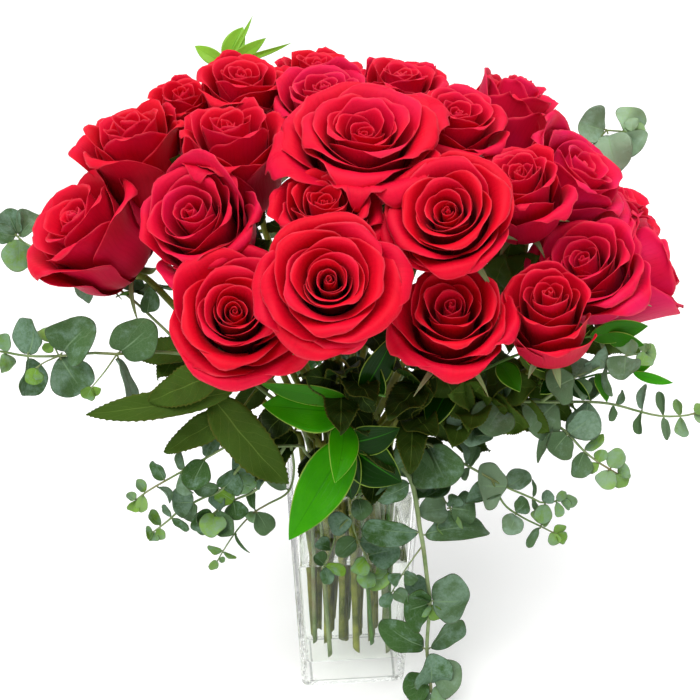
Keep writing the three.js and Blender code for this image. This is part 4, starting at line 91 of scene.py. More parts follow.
     "stem": [[6.1, 28.1, 34.6], [13.7, 20, 203], [20, 22, 229], [31.9, 27.1, 255.8], [43.9, 32.2, 282.6], [55.8, 37.2, 309.3], [67.8, 42.2, 336], [79.8, 47.3, 362.7], [91.8, 52.3, 389.3], [101.4, 52.3, 411.8], [102.6, 52, 414.8]],
     "leaves": [[[63.8, 40.6, 327.1], [75.7, 39.2, 321.5], [131, 37, 317], 30, [0.087, 0.164, 0.983]], [[75.8, 45.6, 353.8], [79.4, 57.5, 348.1], [98.6, 101.1, 343.7], 30, [0.189, 0.015, 0.982]], [[37.9, 29.6, 269.2], [47, 31.7, 265.7], [87.9, 40.7, 250], 24.1, [0.371, -0.068, 0.926]]]},
    {"k": 13, "C": [161.4, -7.6, 436.4], "a": [0.462, -0.411, 0.786], "B": [132.8, 17.8, 387.6], "R": 43, "H": 62, "open": 0.45,
     "stem": [[20.8, 15.1, 31.1], [19.1, 9.6, 203], [26.4, 10.9, 227], [41.8, 13.5, 250.3], [57.2, 16.1, 273.6], [72.6, 18.6, 296.9], [88.1, 21, 320.1], [103.6, 23.4, 343.3], [119.1, 25.8, 366.4], [130.9, 19.5, 384.5], [132.4, 18.2, 387]],
     "leaves": [[[82.9, 20.2, 312.4], [93.4, 14.8, 308.8], [144.3, -4.9, 309.8], 30, [0.044, 0.166, 0.985]], [[98.4, 22.6, 335.6], [105.2, 32.6, 331.8], [137.7, 68.8, 332.3], 30, [0.12, -0.121, 0.985]], [[49.5, 14.8, 262], [58.8, 15, 258.3], [102.7, 16.1, 240.6], 24.7, [0.33, -0.514, 0.792]], [[67.5, 17.8, 289.1], [74.4, 19.3, 282.9], [117.5, 28.3, 272.2], 30.8, [0.249, -0.044, 0.967]]]},
    {"k": 14, "C": [102.6, -44.9, 442.9], "a": [-0.254, -0.4, 0.881], "B": [116.8, -22.5, 393.6], "R": 30, "H": 56, "open": 0.45,
     "stem": [[17.6, 4.4, 36.1], [25, -2.2, 203], [35.3, -7, 225.4], [49.3, -8, 249.6], [63.2, -9, 273.9], [77.1, -10, 298.1], [90.9, -11.2, 322.2], [104.7, -12.5, 346.3], [118.5, -13.9, 370.4], [117.9, -20.9, 390.1], [117, -22.2, 392.9]],
     "leaves": [[[70.2, -9.5, 286], [79.3, -7.8, 282.3], [122.3, 0.2, 264.9], 25.8, [0.406, -0.345, 0.846]], [[84, -10.6, 310.2], [90.3, -16.8, 305.5], [118.4, -44.1, 284.8], 29.6, [0.343, -0.318, 0.884]], [[109.3, -13, 354.4], [105.7, -13.8, 355.2], [110.5, -19.6, 396.1], 30, [-0.321, -0.942, -0.098]], [[104.7, -12.5, 346.3], [105.1, -16.3, 347.3], [123.3, -35.4, 380.4], 30, [-0.868, -0.447, 0.218]], [[107, -12.7, 350.3], [102.6, -17.7, 350.5], [100.9, -41.6, 382.7], 26, [-0.688, -0.565, -0.456]], [[97.8, -11.9, 334.3], [100.2, -20.4, 333.9], [103.1, -57.9, 318.9], 28, [0.539, -0.278, 0.795]]]},
    {"k": 15, "C": [48.2, -92.2, 432.6], "a": [-0.295, -0.709, 0.641], "B": [63.6, -55.4, 399.3], "R": 38, "H": 52, "open": 0.75,
     "stem": [[3.1, -16.8, 30.3], [6.2, -11, 203], [11.5, -12.2, 227.5], [20.9, -16.6, 253.2], [30.3, -21, 278.9], [39.6, -25.5, 304.5], [48.8, -30.2, 330], [58, -34.9, 355.4], [67.2, -39.7, 380.8], [64.7, -52.5, 396.7], [63.8, -54.8, 398.8]],
     "leaves": [[[34.9, -23.3, 291.7], [45.9, -47.9, 285.6], [69, -55.9, 249.9], 28.3, [-0.121, -0.983, 0.141]], [[25.6, -18.8, 266], [33, -23.8, 261.6], [64, -44.9, 243], 24.6, [0.35, -0.276, 0.895]], [[34.9, -23.3, 291.7], [43, -28.2, 288.3], [75.8, -48.1, 274.8], 25.7, [0.079, -0.468, 0.88]], [[66.8, -41.8, 383.5], [58.7, -40.5, 383.7], [20.3, -44, 396.9], 24, [0.299, -0.655, 0.693]]]},
    {"k": 16, "C": [-20, -75.9, 435.3], "a": [-0.034, -0.478, 0.878], "B": [-18.4, -53, 393.2], "R": 31, "H": 48, "open": 0.6,
     "stem": [[-8.7, -17.7, 36.9], [-6.8, -11, 203], [-7.5, -12.7, 225.6], [-9.1, -17.5, 249.9], [-10.8, -22.4, 274.3], [-12.4, -27.3, 298.5], [-14, -32.3, 322.8], [-15.6, -37.4, 346.9], [-17.3, -42.5, 371.1], [-18.2, -51, 389.7], [-18.3, -52.6, 392.5]],
     "leaves": [[[-11.6, -24.8, 286.4], [-38.2, -43.9, 281.8], [-66.4, -42.1, 247.2], 28.4, [-0.516, -0.766, 0.383]], [[-9.9, -19.9, 262.1], [-5.5, -28.7, 260.1], [16.8, -71.9, 250.4], 26.7, [-0.277, -0.345, 0.897]], [[-11.6, -24.8, 286.4], [-8.3, -33.9, 283.6], [7.3, -76.8, 270.2], 30.8, [-0.352, -0.393, 0.85]], [[-18.2, -51, 389.7], [-25, -45.5, 391.7], [-56.4, -19.4, 401.3], 28, [0.02, -0.325, 0.945]]]},
    {"k": 17, "C": [-20.5, -129.4, 405.8], "a": [-0.055, -0.799, 0.599], "B": [-17.6, -87.9, 374.6], "R": 38.5, "H": 52, "open": 0.85,
     "stem": [[2.8, -30.8, 31.9], [-1, -21.4, 203], [-2.3, -24.1, 224.6], [-4.6, -31.7, 247.1], [-6.9, -39.4, 269.6], [-9.2, -47.2, 292], [-11.5, -55.1, 314.3], [-13.8, -63.1, 336.6], [-16.1, -71.1, 358.8], [-17.4, -84.7, 372.2], [-17.6, -87.3, 374.1]],
     "leaves": [[[-11.9, -56.4, 318], [-3.5, -69.4, 314.4], [10.6, -77.6, 288.2], 22.5, [-0.357, -0.929, 0.101]], [[-5.8, -35.6, 258.4], [-0.8, -43.9, 255.9], [24, -85.3, 243.6], 24.8, [-0.121, -0.348, 0.93]], [[-10, -49.8, 299.4], [-14.1, -54.5, 299.3], [-35.3, -83.1, 320], 30, [0.829, -0.554, 0.082]], [[-11.1, -53.8, 310.6], [-10.1, -59.1, 307.4], [-9.1, -93.8, 326], 30, [-0.262, 0.45, 0.854]], [[-10.7, -52.5, 306.9], [-7.2, -60.5, 306.1], [8.1, -97.6, 306.5], 30, [0.039, 0.028, 0.999]], [[-9.2, -47.2, 292], [-15.2, -52.2, 291.6], [-43.4, -78.9, 302.2], 28, [0.614, -0.372, 0.696]], [[-10.3, -51.2, 303.2], [-10.9, -59.6, 300.2], [-13.4, -99.9, 286.3], 28, [0.101, -0.332, 0.938]]]},
    {"k": 18, "C": [-75.3, -98.3, 375.9], "a": [0.054, -0.732, 0.679], "B": [-78.2, -58.8, 339.3], "R": 42, "H": 54, "open": 0.75,
     "stem": [[-21, -17, 33.7], [-19.8, -8.9, 203], [-24.4, -10.9, 220.6], [-33.1, -16.5, 238], [-41.9, -22.1, 255.5], [-50.7, -27.8, 272.8], [-59.4, -33.6, 290.2], [-68.1, -39.5, 307.4], [-76.8, -45.4, 324.7], [-78.4, -55.8, 336.5], [-78.2, -58.2, 338.7]],
     "leaves": [[[-71, -41.5, 313.2], [-83.4, -62.6, 298.7], [-184.2, -49.9, 278.3], 23, [-0.214, -0.8, 0.561]], [[-76.8, -45.4, 324.7], [-89.4, -58.9, 312.1], [-138.4, -64.3, 294.2], 30.6, [-0.123, -0.807, 0.578]], [[-69.5, -40.5, 310.3], [-97.7, -55.8, 292.4], [-48.2, -82.2, 236.4], 36.7, [-0.04, -0.916, 0.398]], [[-60.8, -34.6, 293], [-80, -51.4, 276.5], [-133.3, -56.8, 248.8], 25, [-0.228, -0.774, 0.59]], [[-28.8, -13.7, 229.3], [-28.5, -23, 225.6], [-27.5, -68.9, 207.3], 30.8, [-0.244, -0.364, 0.899]], [[-37.5, -19.3, 246.8], [-43.6, -25.9, 242.3], [-71.5, -56.3, 221.7], 29.5, [-0.123, -0.477, 0.87]]]},
    {"k": 19, "C": [53.8, -98.1, 375.3], "a": [-0.143, -0.534, 0.833], "B": [61.5, -69.2, 330.3], "R": 35, "H": 54, "open": 0.5,
     "stem": [[16, -18.6, 35.3], [10.3, -21.6, 203], [14.2, -24.4, 219], [22.1, -30.2, 235], [30, -35.9, 250.9], [38, -41.8, 266.8], [45.9, -47.7, 282.7], [53.7, -53.6, 298.5], [61.6, -59.5, 314.3], [62.1, -67.1, 326.9], [61.6, -68.8, 329.6]],
     "leaves": [[[57.7, -56.6, 306.4], [56.5, -54, 308.8], [78.2, -67.5, 273.1], 31.6, [-0.285, -0.941, 0.182]], [[56.4, -55.6, 303.8], [52.3, -55.5, 305.1], [28.8, -63.2, 272.6], 30.2, [-0.435, -0.755, 0.491]], [[16.8, -26.3, 224.4], [16.6, -36.1, 222.6], [10.1, -72.8, 209.1], 28.8, [0.039, -0.351, 0.936]], [[48.5, -49.6, 287.9], [42.8, -53.5, 290.8], [24.6, -76.4, 318.3], 32, [0.605, 0.368, 0.706]], [[43.2, -45.7, 277.4], [41.6, -50.1, 276.3], [49.4, -81.7, 301.9], 32, [-0.931, 0.06, 0.359]], [[53.7, -53.6, 298.5], [48.2, -60.1, 298.2], [18.6, -86, 287.8], 30, [-0.125, -0.242, 0.962]], [[40.6, -43.7, 272.1], [40.8, -51.2, 270], [49.3, -90.9, 275.7], 30, [-0.346, 0.06, 0.936]], [[40.6, -43.7, 272.1], [39.6, -52.5, 270.2], [32, -103.2, 255.1], 26, [-0.093, -0.272, 0.958]]]},
    {"k": 20, "C": [113.2, -99.6, 380], "a": [-0.236, -0.49, 0.839], "B": [127.8, -69.1, 328], "R": 29, "H": 62, "open": 0.1,
     "stem": [[16.8, -8.7, 33.2], [17.9, -12, 203], [24.6, -10.8, 224.4], [41.9, -18.8, 238.7], [59.2, -26.7, 253], [76.5, -34.7, 267.3], [93.6, -42.6, 281.7], [110.7, -50.6, 296], [127.7, -58.6, 310.3], [128.7, -67.2, 324.6], [128, -68.8, 327.3]],
     "leaves": [[[128.6, -65.8, 322.2], [108.6, -66.9, 324], [146.3, -65.6, 307], 24.2, [0.018, -0.999, -0.035]], [[36.1, -16.1, 233.9], [41.8, -18.2, 227.6], [76.1, -32.2, 211.6], 28.2, [0.263, -0.371, 0.89]], [[53.5, -24.1, 248.3], [59.7, -25.2, 242.5], [102.6, -36.7, 226.4], 30.7, [0.24, -0.36, 0.902]], [[70.7, -32, 262.6], [77.2, -33.1, 257.5], [113.3, -42.2, 246.9], 26.1, [0.152, -0.427, 0.892]], [[93.6, -42.6, 281.7], [87.8, -48.7, 284.9], [60.6, -76.7, 299.9], 32, [0.756, -0.621, 0.209]], [[87.9, -40, 276.9], [82.9, -44.5, 278.6], [82.9, -74.9, 304.6], 32, [-0.555, -0.541, -0.632]], [[87.9, -40, 276.9], [87.6, -42.7, 278.5], [109.2, -65.9, 305.1], 30, [-0.828, -0.151, 0.54]], [[87.9, -40, 276.9], [84.7, -48.3, 276.4], [73.3, -87.2, 276.9], 30, [-0.06, 0.03, 0.998]], [[79.3, -36, 269.7], [77.8, -45, 269.4], [63.9, -84.2, 262.1], 26, [-0.037, -0.171, 0.985]], [[79.3, -36, 269.7], [79.5, -40.4, 268.4], [103.4, -71.7, 281.7], 28, [-0.81, -0.473, 0.346]], [[90.7, -41.3, 279.3], [92.1, -47.2, 275.8], [114.6, -81.3, 273.4], 34, [-0.823, -0.552, 0.133]], [[96.4, -44, 284], [95.5, -46, 281.9], [122.4, -69.2, 298.4], 34, [-0.717, -0.45, 0.533]], [[102.1, -46.6, 288.8], [103.9, -50.5, 282], [131.3, -77.3, 267.3], 26, [-0.395, -0.718, 0.573]]]},
    {"k": 21, "C": [145.2, -56.5, 388.7], "a": [-0.445, -0.441, 0.779], "B": [170.6, -31.4, 344.3], "R": 37, "H": 57, "open": 0.6,
     "stem": [[29.5, 17.2, 29.8], [32.3, 8.8, 203], [44.4, 6.2, 223.6], [66.2, 1.7, 240.7], [88, -2.8, 257.8], [109.6, -7.4, 274.8], [131.1, -12.1, 291.8], [152.5, -16.8, 308.7], [173.9, -21.5, 325.6], [172.3, -29.6, 341.2], [170.9, -31, 343.7]],
     "leaves": [[[172.3, -29.6, 341.2], [167.6, -50.9, 330.9], [200.7, -45.8, 312], 20.8, [0.052, -0.983, -0.177]], [[80.7, -1.3, 252.1], [85.8, -1, 244.5], [124.2, -2.8, 223.5], 28.8, [0.446, -0.304, 0.842]], [[123.9, -10.5, 286.1], [127, -16.5, 280.2], [159.9, -50.2, 264.6], 26.9, [0.491, 0.08, 0.867]], [[141.8, -14.4, 300.3], [141.1, -23.3, 301.3], [125.8, -60.4, 296.4], 28, [0.565, -0.331, 0.756]], [[134.7, -12.9, 294.6], [133.9, -18.1, 292.4], [157.5, -47.1, 304.4], 28, [-0.732, -0.357, 0.58]], [[127.5, -11.3, 289], [129.8, -18.2, 284.1], [153.6, -60.2, 264.3], 26, [-0.781, -0.566, 0.265]]]},
    {"k": 22, "C": [223.4, -12.2, 366.8], "a": [0.883, -0.167, 0.439], "B": [163.4, -0.8, 336.9], "R": 44, "H": 68, "open": 0.12,
     "stem": [[6.3, 3.9, 39.2], [12.6, -1.2, 203], [22.2, -0.9, 224.1], [41.7, 0.2, 241.2], [61.4, 0.8, 258.1], [81.1, 1.3, 275], [101, 1.7, 291.8], [121, 2, 308.5], [141, 2.3, 325.1], [159.9, -0.1, 335.2], [162.7, -0.7, 336.6]],
     "leaves": [[[97.7, 1.6, 289], [102.6, -6.3, 282.5], [142.3, -33.1, 279.5], 30, [0.145, 0.104, 0.984]], [[117.6, 2, 305.7], [122.2, 10, 298.7], [164.5, 40.7, 293], 30, [0.184, -0.072, 0.98]], [[159.9, -0.1, 335.2], [156.3, -0.6, 343.4], [137.5, -3.2, 387.7], 28, [-0.409, -0.884, -0.226]], [[147.3, 1.5, 328.5], [149.5, -3.6, 323], [184.5, -35.4, 303.9], 26, [-0.401, -0.754, 0.52]]]},
    {"k": 23, "C": [213.8, 41.9, 399.2], "a": [0.49, -0.164, 0.856], "B": [186.3, 51.1, 351.3], "R": 34, "H": 56, "open": 0.4,
     "stem": [[33, 29, 27.7], [25.5, 20.3, 203], [36.3, 22.5, 225.2], [58.5, 27.7, 242.7], [80.8, 32.9, 260.2], [103.1, 38, 277.7], [125.4, 43.1, 295.2], [147.8, 48.2, 312.6], [170.1, 53.2, 329.9], [184.4, 51.8, 347.8], [185.9, 51.3, 350.6]],
     "leaves": [[[121.7, 42.2, 292.2], [127.7, 36.8, 286.3], [178.3, 22.9, 285.8], 30, [0.054, 0.161, 0.986]], [[144, 47.3, 309.7], [144.9, 56.8, 302.4], [172.8, 94.5, 297.7], 30, [0.193, -0.019, 0.981]]]},
    {"k": 24, "C": [-34.4, 128.9, 447.1], "a": [-0.052, -0.344, 0.938], "B": [-31.6, 147.4, 396.5], "R": 37, "H": 54, "open": 0.5,
     "stem": [[-14.6, 32.8, 30.7], [-4.7, 31.9, 203], [-5.9, 41.6, 227.8], [-9.8, 59.9, 251.7], [-13.7, 78.1, 275.7], [-17.6, 96.3, 299.6], [-21.5, 114.4, 323.5], [-25.4, 132.3, 347.3], [-29.3, 150.2, 371.2], [-31.4, 148.8, 392.7], [-31.5, 147.7, 395.7]],
     "leaves": [[[-20.2, 108.3, 315.5], [-13.8, 118, 310.6], [6.9, 163.5, 307.1], 30, [-0.124, 0.131, 0.984]], [[-24.1, 126.3, 339.4], [-33.5, 133.1, 335], [-70.1, 168.7, 333.5], 30, [0.097, 0.14, 0.985]]]},
]
# branches (radius at the foot, at the end, points), leaves [base, tip, width, normal, 0 grown, 1 young, 2 darkened with
# painted shade]
SPRIGS = [
    {"name": "eucalyptus_left", "kind": "euc",
     "branches": [
         (2.2, 0.9, [[-31.1, -14.5, 33.6], [-31.1, -9, 203], [-30.9, -13.8, 215.8], [-32.9, -20.9, 227.5], [-34.8, -27.9, 239.3], [-36.8, -35, 251], [-38.7, -42, 262.8], [-64.5, -42.2, 288.3], [-89.1, -37.3, 308.5], [-112.5, -37.1, 314.6], [-136, -36.3, 317.4], [-162, -35.1, 316.1], [-178.1, -31.9, 315.9], [-203.3, -27.4, 312.2], [-226.3, -21.3, 310], [-244.6, -14.3, 310.3], [-253.8, -11.3, 310.7]]),
         (0.7, 0.5, [[-162, -35.1, 316.1], [-168.9, -43, 308.2], [-174.4, -48.6, 302.9], [-178.1, -52.1, 299.6]]),
         (0.7, 0.5, [[-203.3, -27.4, 312.2], [-205.3, -27.9, 320.2], [-207.3, -27.4, 325.3]]),
         (0.7, 0.5, [[-203.3, -27.4, 312.2], [-211.2, -34.1, 311.2], [-216.2, -39.1, 309.4]]),
         (1.3, 0.8, [[-112.5, -37.1, 314.6], [-137.1, -0.7, 321.6], [-170.4, 36, 334.8], [-210.7, 60.4, 349.2], [-242.2, 71.9, 358.9], [-252, 76, 365.8], [-257.2, 79, 371.4]]),
     ],
     "leaves": [
         [[-162, -35.1, 316.1], [-133.6, -40.3, 341.5], 29.4, [-0.127, -0.99, -0.06], 0],
         [[-162, -35.1, 316.1], [-152, -46.6, 280.6], 17.8, [0.952, -0.088, 0.295], 0],
         [[-203.3, -27.4, 312.2], [-176.8, -29.9, 338.2], 30.4, [-0.232, -0.962, 0.144], 0],
         [[-203.3, -27.4, 312.2], [-189.4, -30.6, 285.1], 29, [0.173, -0.964, 0.2], 0],
         [[-177.2, -51.2, 300.4], [-182.3, -52.9, 291.8], 10.1, [-0.092, -0.966, 0.24], 1],
         [[-177.5, -51.5, 300.2], [-174.8, -52.7, 293.7], 6.7, [0.711, -0.583, 0.394], 1],
         [[-206.5, -27.6, 323.2], [-213.4, -21.4, 330.3], 10.9, [0.198, -0.634, 0.748], 1],
         [[-206, -27.7, 321.9], [-212, -29.5, 317.4], 7.5, [0.19, -0.973, 0.13], 1],
         [[-226.3, -21.3, 310], [-220.8, -19.2, 337.8], 23.7, [-0.449, -0.88, 0.155], 0],
         [[-226.3, -21.3, 310], [-230.4, -24.6, 280.1], 22.3, [0.803, -0.594, -0.047], 0],
         [[-215.3, -38.3, 309.7], [-220.7, -41.2, 298.4], 12.2, [0.02, -0.97, 0.243], 1],
         [[-215.3, -38.3, 309.7], [-213.2, -40.2, 301.4], 6.8, [-0.328, -0.935, 0.137], 1],
         [[-243.1, -14.9, 310.3], [-242.7, -12.6, 324.1], 12.6, [-0.184, -0.969, 0.168], 1],
         [[-243.1, -14.9, 310.3], [-245.7, -17.6, 295.4], 11.9, [0.779, -0.627, -0.022], 1],
         [[-252.2, -11.8, 310.6], [-260.5, -9.2, 314.6], 8.5, [0.204, -0.578, 0.79], 1],
         [[-252.2, -11.8, 310.6], [-259.4, -13.7, 305.8], 7.7, [0.281, -0.959, -0.045], 1],
         [[-170.4, 36, 334.8], [-159.7, 36.9, 351.7], 18, [0.491, -0.829, -0.268], 0],
         [[-148.2, 11.5, 326], [-142.4, 6.7, 348.8], 13.1, [0.294, -0.918, -0.267], 0],
         [[-190.6, 48.2, 342], [-201.3, 48.3, 322.5], 19.7, [-0.535, -0.793, 0.291], 0],
         [[-252, 76, 365.8], [-258.4, 79.7, 386.2], 19.3, [0.074, -0.976, 0.204], 0],
         [[-251.2, 75.6, 365.2], [-235.6, 87.8, 378.6], 18.5, [0.127, -0.802, 0.583], 0],
         [[-252, 76, 365.8], [-268, 75.3, 371.2], 17, [-0.005, -0.99, -0.141], 0],
         [[-250.3, 75.3, 364.7], [-252.5, 69.8, 339.5], 24.7, [0.43, -0.889, 0.158], 1],
         [[-223.9, 65.2, 353.2], [-219.3, 76.6, 368.1], 16.9, [0.749, -0.616, 0.244], 0],
         [[-223.9, 65.2, 353.2], [-230.3, 53.5, 337.7], 15.4, [-0.228, -0.732, 0.642], 0],
     ]},
    {"name": "eucalyptus_lower_left", "kind": "euc",
     "branches": [
         (2.2, 0.7, [[-19.2, -30.6, 26.9], [-26.5, -20.4, 203], [-27.4, -23.5, 212.2], [-30.4, -28.7, 219.7], [-33.4, -33.9, 227.3], [-36.3, -39.1, 234.8], [-39.3, -44.2, 242.3], [-60.6, -49.5, 246.6], [-84.2, -52.1, 251.8], [-94.1, -54.1, 248.6], [-106.9, -56.3, 242.2], [-123.5, -58.3, 233.5], [-135.1, -59.5, 227.2], [-141.7, -59.7, 223.4], [-149.8, -60.5, 218.4], [-156.6, -61.4, 213.3]]),
         (1.4, 0.7, [[-65.3, -50, 247.7], [-81.8, -52.7, 232.7], [-97.1, -54.2, 213.8], [-109.1, -54, 208], [-118, -54.4, 203.5], [-129.4, -54.9, 196.4], [-135.5, -55.9, 191.2], [-143.1, -57.1, 185.3], [-148.5, -57.6, 181.4]]),
         (1.5, 0.6, [[-49.9, -46.9, 244.5], [-61.6, -47, 224.4], [-72.4, -49.3, 209], [-88.8, -49.8, 201.2], [-103, -52.7, 193.3], [-110.7, -54.6, 186.1]]),
         (1.2, 0.5, [[-45.7, -45.8, 243.6], [-44.3, -38.2, 217.6], [-49.3, -41.7, 200.5], [-64.5, -44.6, 192.5], [-73.6, -46.3, 187.8], [-80.4, -48.4, 182.5], [-89.7, -52.4, 173.1], [-99.1, -56.9, 160.3], [-104, -59.4, 152.3]]),
     ],
     "leaves": [
         [[-105.8, -56.1, 242.8], [-116.6, -69.9, 226.8], 19, [0.02, -0.763, 0.646], 0],
         [[-105.8, -56.1, 242.8], [-99.7, -45, 257.2], 14.1, [-0.361, -0.658, 0.661], 0],
         [[-122.1, -58.2, 234.2], [-124.9, -46.8, 247.8], 9.9, [-0.808, -0.524, 0.27], 0],
         [[-123.5, -58.3, 233.5], [-116.1, -62.4, 217.1], 11.3, [-0.574, -0.817, -0.058], 0],
         [[-135.1, -59.5, 227.2], [-143.3, -55.2, 241.5], 10.6, [-0.341, -0.936, 0.085], 0],
         [[-141.2, -59.7, 223.7], [-132.7, -63.3, 210.8], 8.5, [0.834, -0.009, 0.552], 0],
         [[-149.8, -60.5, 218.4], [-154.8, -57.8, 227.8], 7.1, [0.555, -0.673, 0.489], 1],
         [[-151, -60.7, 217.5], [-152.8, -64.5, 204.9], 8.5, [-0.111, -0.946, 0.303], 1],
         [[-156, -61.4, 213.7], [-162.8, -59.2, 217.2], 6.4, [0.249, -0.52, 0.817], 1],
         [[-156.6, -61.4, 213.3], [-160.3, -64.6, 206.3], 8.5, [0.235, -0.927, 0.293], 1],
         [[-97.1, -54.2, 213.8], [-117, -54.9, 223.1], 13.7, [0.03, -0.999, -0.013], 0],
         [[-97.1, -54.2, 213.8], [-84.2, -52.7, 227.7], 18, [-0.022, -0.992, 0.126], 0],
         [[-117.3, -54.4, 203.9], [-133, -58.4, 207.2], 21.8, [0.311, -0.653, 0.69], 0],
         [[-118, -54.4, 203.5], [-117.1, -56.4, 186], 16, [-0.612, -0.789, 0.056], 0],
         [[-134.5, -55.7, 192.1], [-139.9, -52.9, 201.7], 7.3, [-0.529, -0.847, -0.045], 0],
         [[-134.5, -55.7, 192.1], [-122.3, -58.4, 181.5], 8.7, [-0.3, -0.948, -0.106], 0],
         [[-142.5, -57, 185.8], [-149.7, -53.2, 197.1], 8, [0.588, -0.576, 0.568], 1],
         [[-143.6, -57.2, 185], [-142.3, -59.7, 175.5], 7.3, [-0.116, -0.963, 0.241], 1],
         [[-148.5, -57.6, 181.4], [-153.3, -59.5, 181.4], 10.2, [0.31, -0.781, 0.542], 1],
         [[-148.1, -57.5, 181.7], [-149.8, -58.9, 174.3], 7.3, [0.402, -0.913, 0.068], 1],
         [[-71.5, -49.1, 210.3], [-81, -41, 243.8], 23.4, [-0.047, -0.973, 0.224], 0],
         [[-72.4, -49.3, 209], [-67.4, -44.3, 224.6], 16.1, [-0.576, -0.705, 0.413], 0],
         [[-72.4, -49.3, 209], [-88.8, -53.3, 221.4], 17.6, [0.381, -0.898, 0.221], 1],
         [[-88.8, -49.8, 201.2], [-99.5, -52.4, 212.6], 16.2, [0.325, -0.941, 0.089], 1],
         [[-88.8, -49.8, 201.2], [-87.5, -59.6, 190.5], 17.6, [-0.272, -0.726, 0.632], 0],
         [[-103, -52.7, 193.3], [-119.4, -61.5, 186.6], 17.6, [0.318, -0.872, 0.373], 0],
         [[-103, -52.7, 193.3], [-90.4, -67.4, 183.3], 16.2, [-0.384, -0.721, 0.576], 0],
         [[-103, -52.7, 193.3], [-104.7, -68.6, 183.3], 19.1, [0.004, -0.532, 0.847], 1],
         [[-101.9, -52.4, 194], [-97.1, -50.5, 207.6], 13.2, [-0.528, -0.796, 0.295], 0],
         [[-110.1, -54.4, 186.7], [-114.4, -59.9, 179.5], 10.3, [0.462, -0.818, 0.343], 1],
         [[-110.1, -54.4, 186.7], [-103.8, -64.5, 180.8], 10.3, [0.082, -0.468, 0.88], 1],
         [[-73.6, -46.3, 187.8], [-64.2, -57.7, 175], 15.7, [-0.143, -0.789, 0.598], 0],
         [[-74.1, -46.5, 187.4], [-75.9, -40.5, 203.7], 8.2, [-0.637, -0.744, 0.201], 0],
         [[-73.6, -46.3, 187.8], [-77.5, -49.6, 180.4], 9.7, [-0.485, -0.668, 0.564], 1],
         [[-89.7, -52.4, 173.1], [-79, -59.7, 159.7], 5.2, [-0.632, -0.77, -0.084], 0],
         [[-48.9, -41.4, 202], [-65.2, -36.6, 214], 11.9, [-0.296, -0.955, -0.02], 0],
         [[-99.1, -56.9, 160.3], [-110, -56, 165], 6, [-0.004, -0.986, 0.164], 1],
         [[-99.6, -57.1, 159.7], [-89.8, -58.2, 154.3], 4.5, [0.47, -0.131, 0.873], 1],
         [[-103.2, -58.9, 153.6], [-109.4, -61.4, 147.7], 6.7, [0.15, -0.958, 0.245], 1],
         [[-102.4, -58.5, 155], [-98.7, -60, 152.5], 5.2, [0.404, -0.387, 0.829], 1],
     ]},
    {"name": "eucalyptus_front", "kind": "euc",
     "branches": [
         (2.6, 1.5, [[29.8, -30.5, 28.5], [16.9, -34.2, 203], [18, -36.9, 210.8], [20.9, -41.2, 216.1], [23.7, -45.5, 221.4], [26.6, -49.8, 226.6], [29.5, -54.2, 231.9], [39.9, -60.6, 220.2], [44.3, -65.8, 199], [47, -67.4, 180.2], [50, -66.1, 165], [55.2, -61.8, 129.1], [58.4, -62.9, 104.6], [57.7, -63.9, 79.6], [57.8, -65, 54.8], [60.5, -69.4, 32.6], [61.2, -73.7, 19.3]]),
         (1, 0.6, [[29.5, -54.2, 231.9], [14.1, -58.4, 216.5], [-0.4, -57.6, 202.4], [-2.6, -59.1, 185.5], [1.7, -61.1, 168.4], [7.7, -62, 153.7], [13.8, -63.8, 137.4]]),
         (0.8, 0.5, [[-2, -58.6, 190.6], [-13.1, -60, 177.6], [-17.8, -62.4, 163], [-24, -61.6, 145.5]]),
         (0.7, 0.5, [[50, -66.1, 165], [42, -67.3, 152.3], [34.8, -67.1, 138.1], [27.7, -66.2, 120.8]]),
     ],
     "leaves": [
         [[47.5, -67.2, 177.7], [3.6, -64.9, 185.2], 19.9, [-0.005, -0.964, 0.264], 0],
         [[48, -67, 175.1], [99, -60.8, 172.1], 23.7, [0.1, -0.377, 0.921], 0],
         [[58.4, -62.9, 104.6], [34.4, -76.4, 109.9], 31.3, [0.52, -0.808, 0.276], 0],
         [[58.1, -62.8, 106.7], [86.7, -75.2, 117.3], 36, [-0.474, -0.44, 0.762], 0],
         [[58.1, -62.8, 106.7], [37.7, -59.8, 123.5], 18.8, [0.535, -0.431, 0.726], 0],
         [[58.3, -63, 102.6], [48.8, -70.6, 99.3], 10.2, [0.026, -0.422, 0.906], 1],
         [[58.3, -63, 102.6], [65.8, -72.5, 97.9], 11, [-0.453, -0.653, 0.607], 1],
         [[57.8, -64.9, 56.8], [20.7, -58.4, 83], 24.2, [-0.013, -0.974, 0.225], 0],
         [[57.8, -64.9, 56.8], [88.5, -52.6, 72.7], 21, [0.31, -0.941, 0.132], 0],
         [[60.7, -70.8, 28.2], [38.1, -78.8, 26.9], 24.5, [0.209, -0.703, 0.68], 0],
         [[60.7, -70.5, 29.3], [82.9, -73.5, 44.4], 31, [-0.433, -0.761, 0.483], 0],
         [[60.8, -71.6, 25.9], [57.2, -73, 58.9], 32.6, [0.297, -0.955, -0.008], 0],
         [[61.1, -73.4, 20.4], [72.2, -81.8, 18.5], 18, [-0.518, -0.767, 0.378], 1],
         [[61.1, -73.4, 20.4], [47.4, -79.3, 15.4], 18, [-0.269, -0.176, 0.947], 0],
         [[40.3, -61, 218.5], [14.2, -65.8, 209.5], 18.1, [0.127, -0.98, 0.155], 0],
         [[43.2, -64.5, 204.3], [70.1, -52.3, 214.7], 21.8, [-0.24, -0.267, 0.933], 0],
         [[2, -57.7, 204.8], [3.9, -68.4, 192.4], 15.3, [0.099, -0.746, 0.659], 0],
         [[-2.5, -58.9, 186.9], [-19.2, -63.2, 180.5], 17.7, [0.105, -0.934, 0.341], 0],
         [[1.4, -60.9, 169.8], [-13.6, -67.3, 159.3], 14.9, [-0.302, -0.561, 0.77], 0],
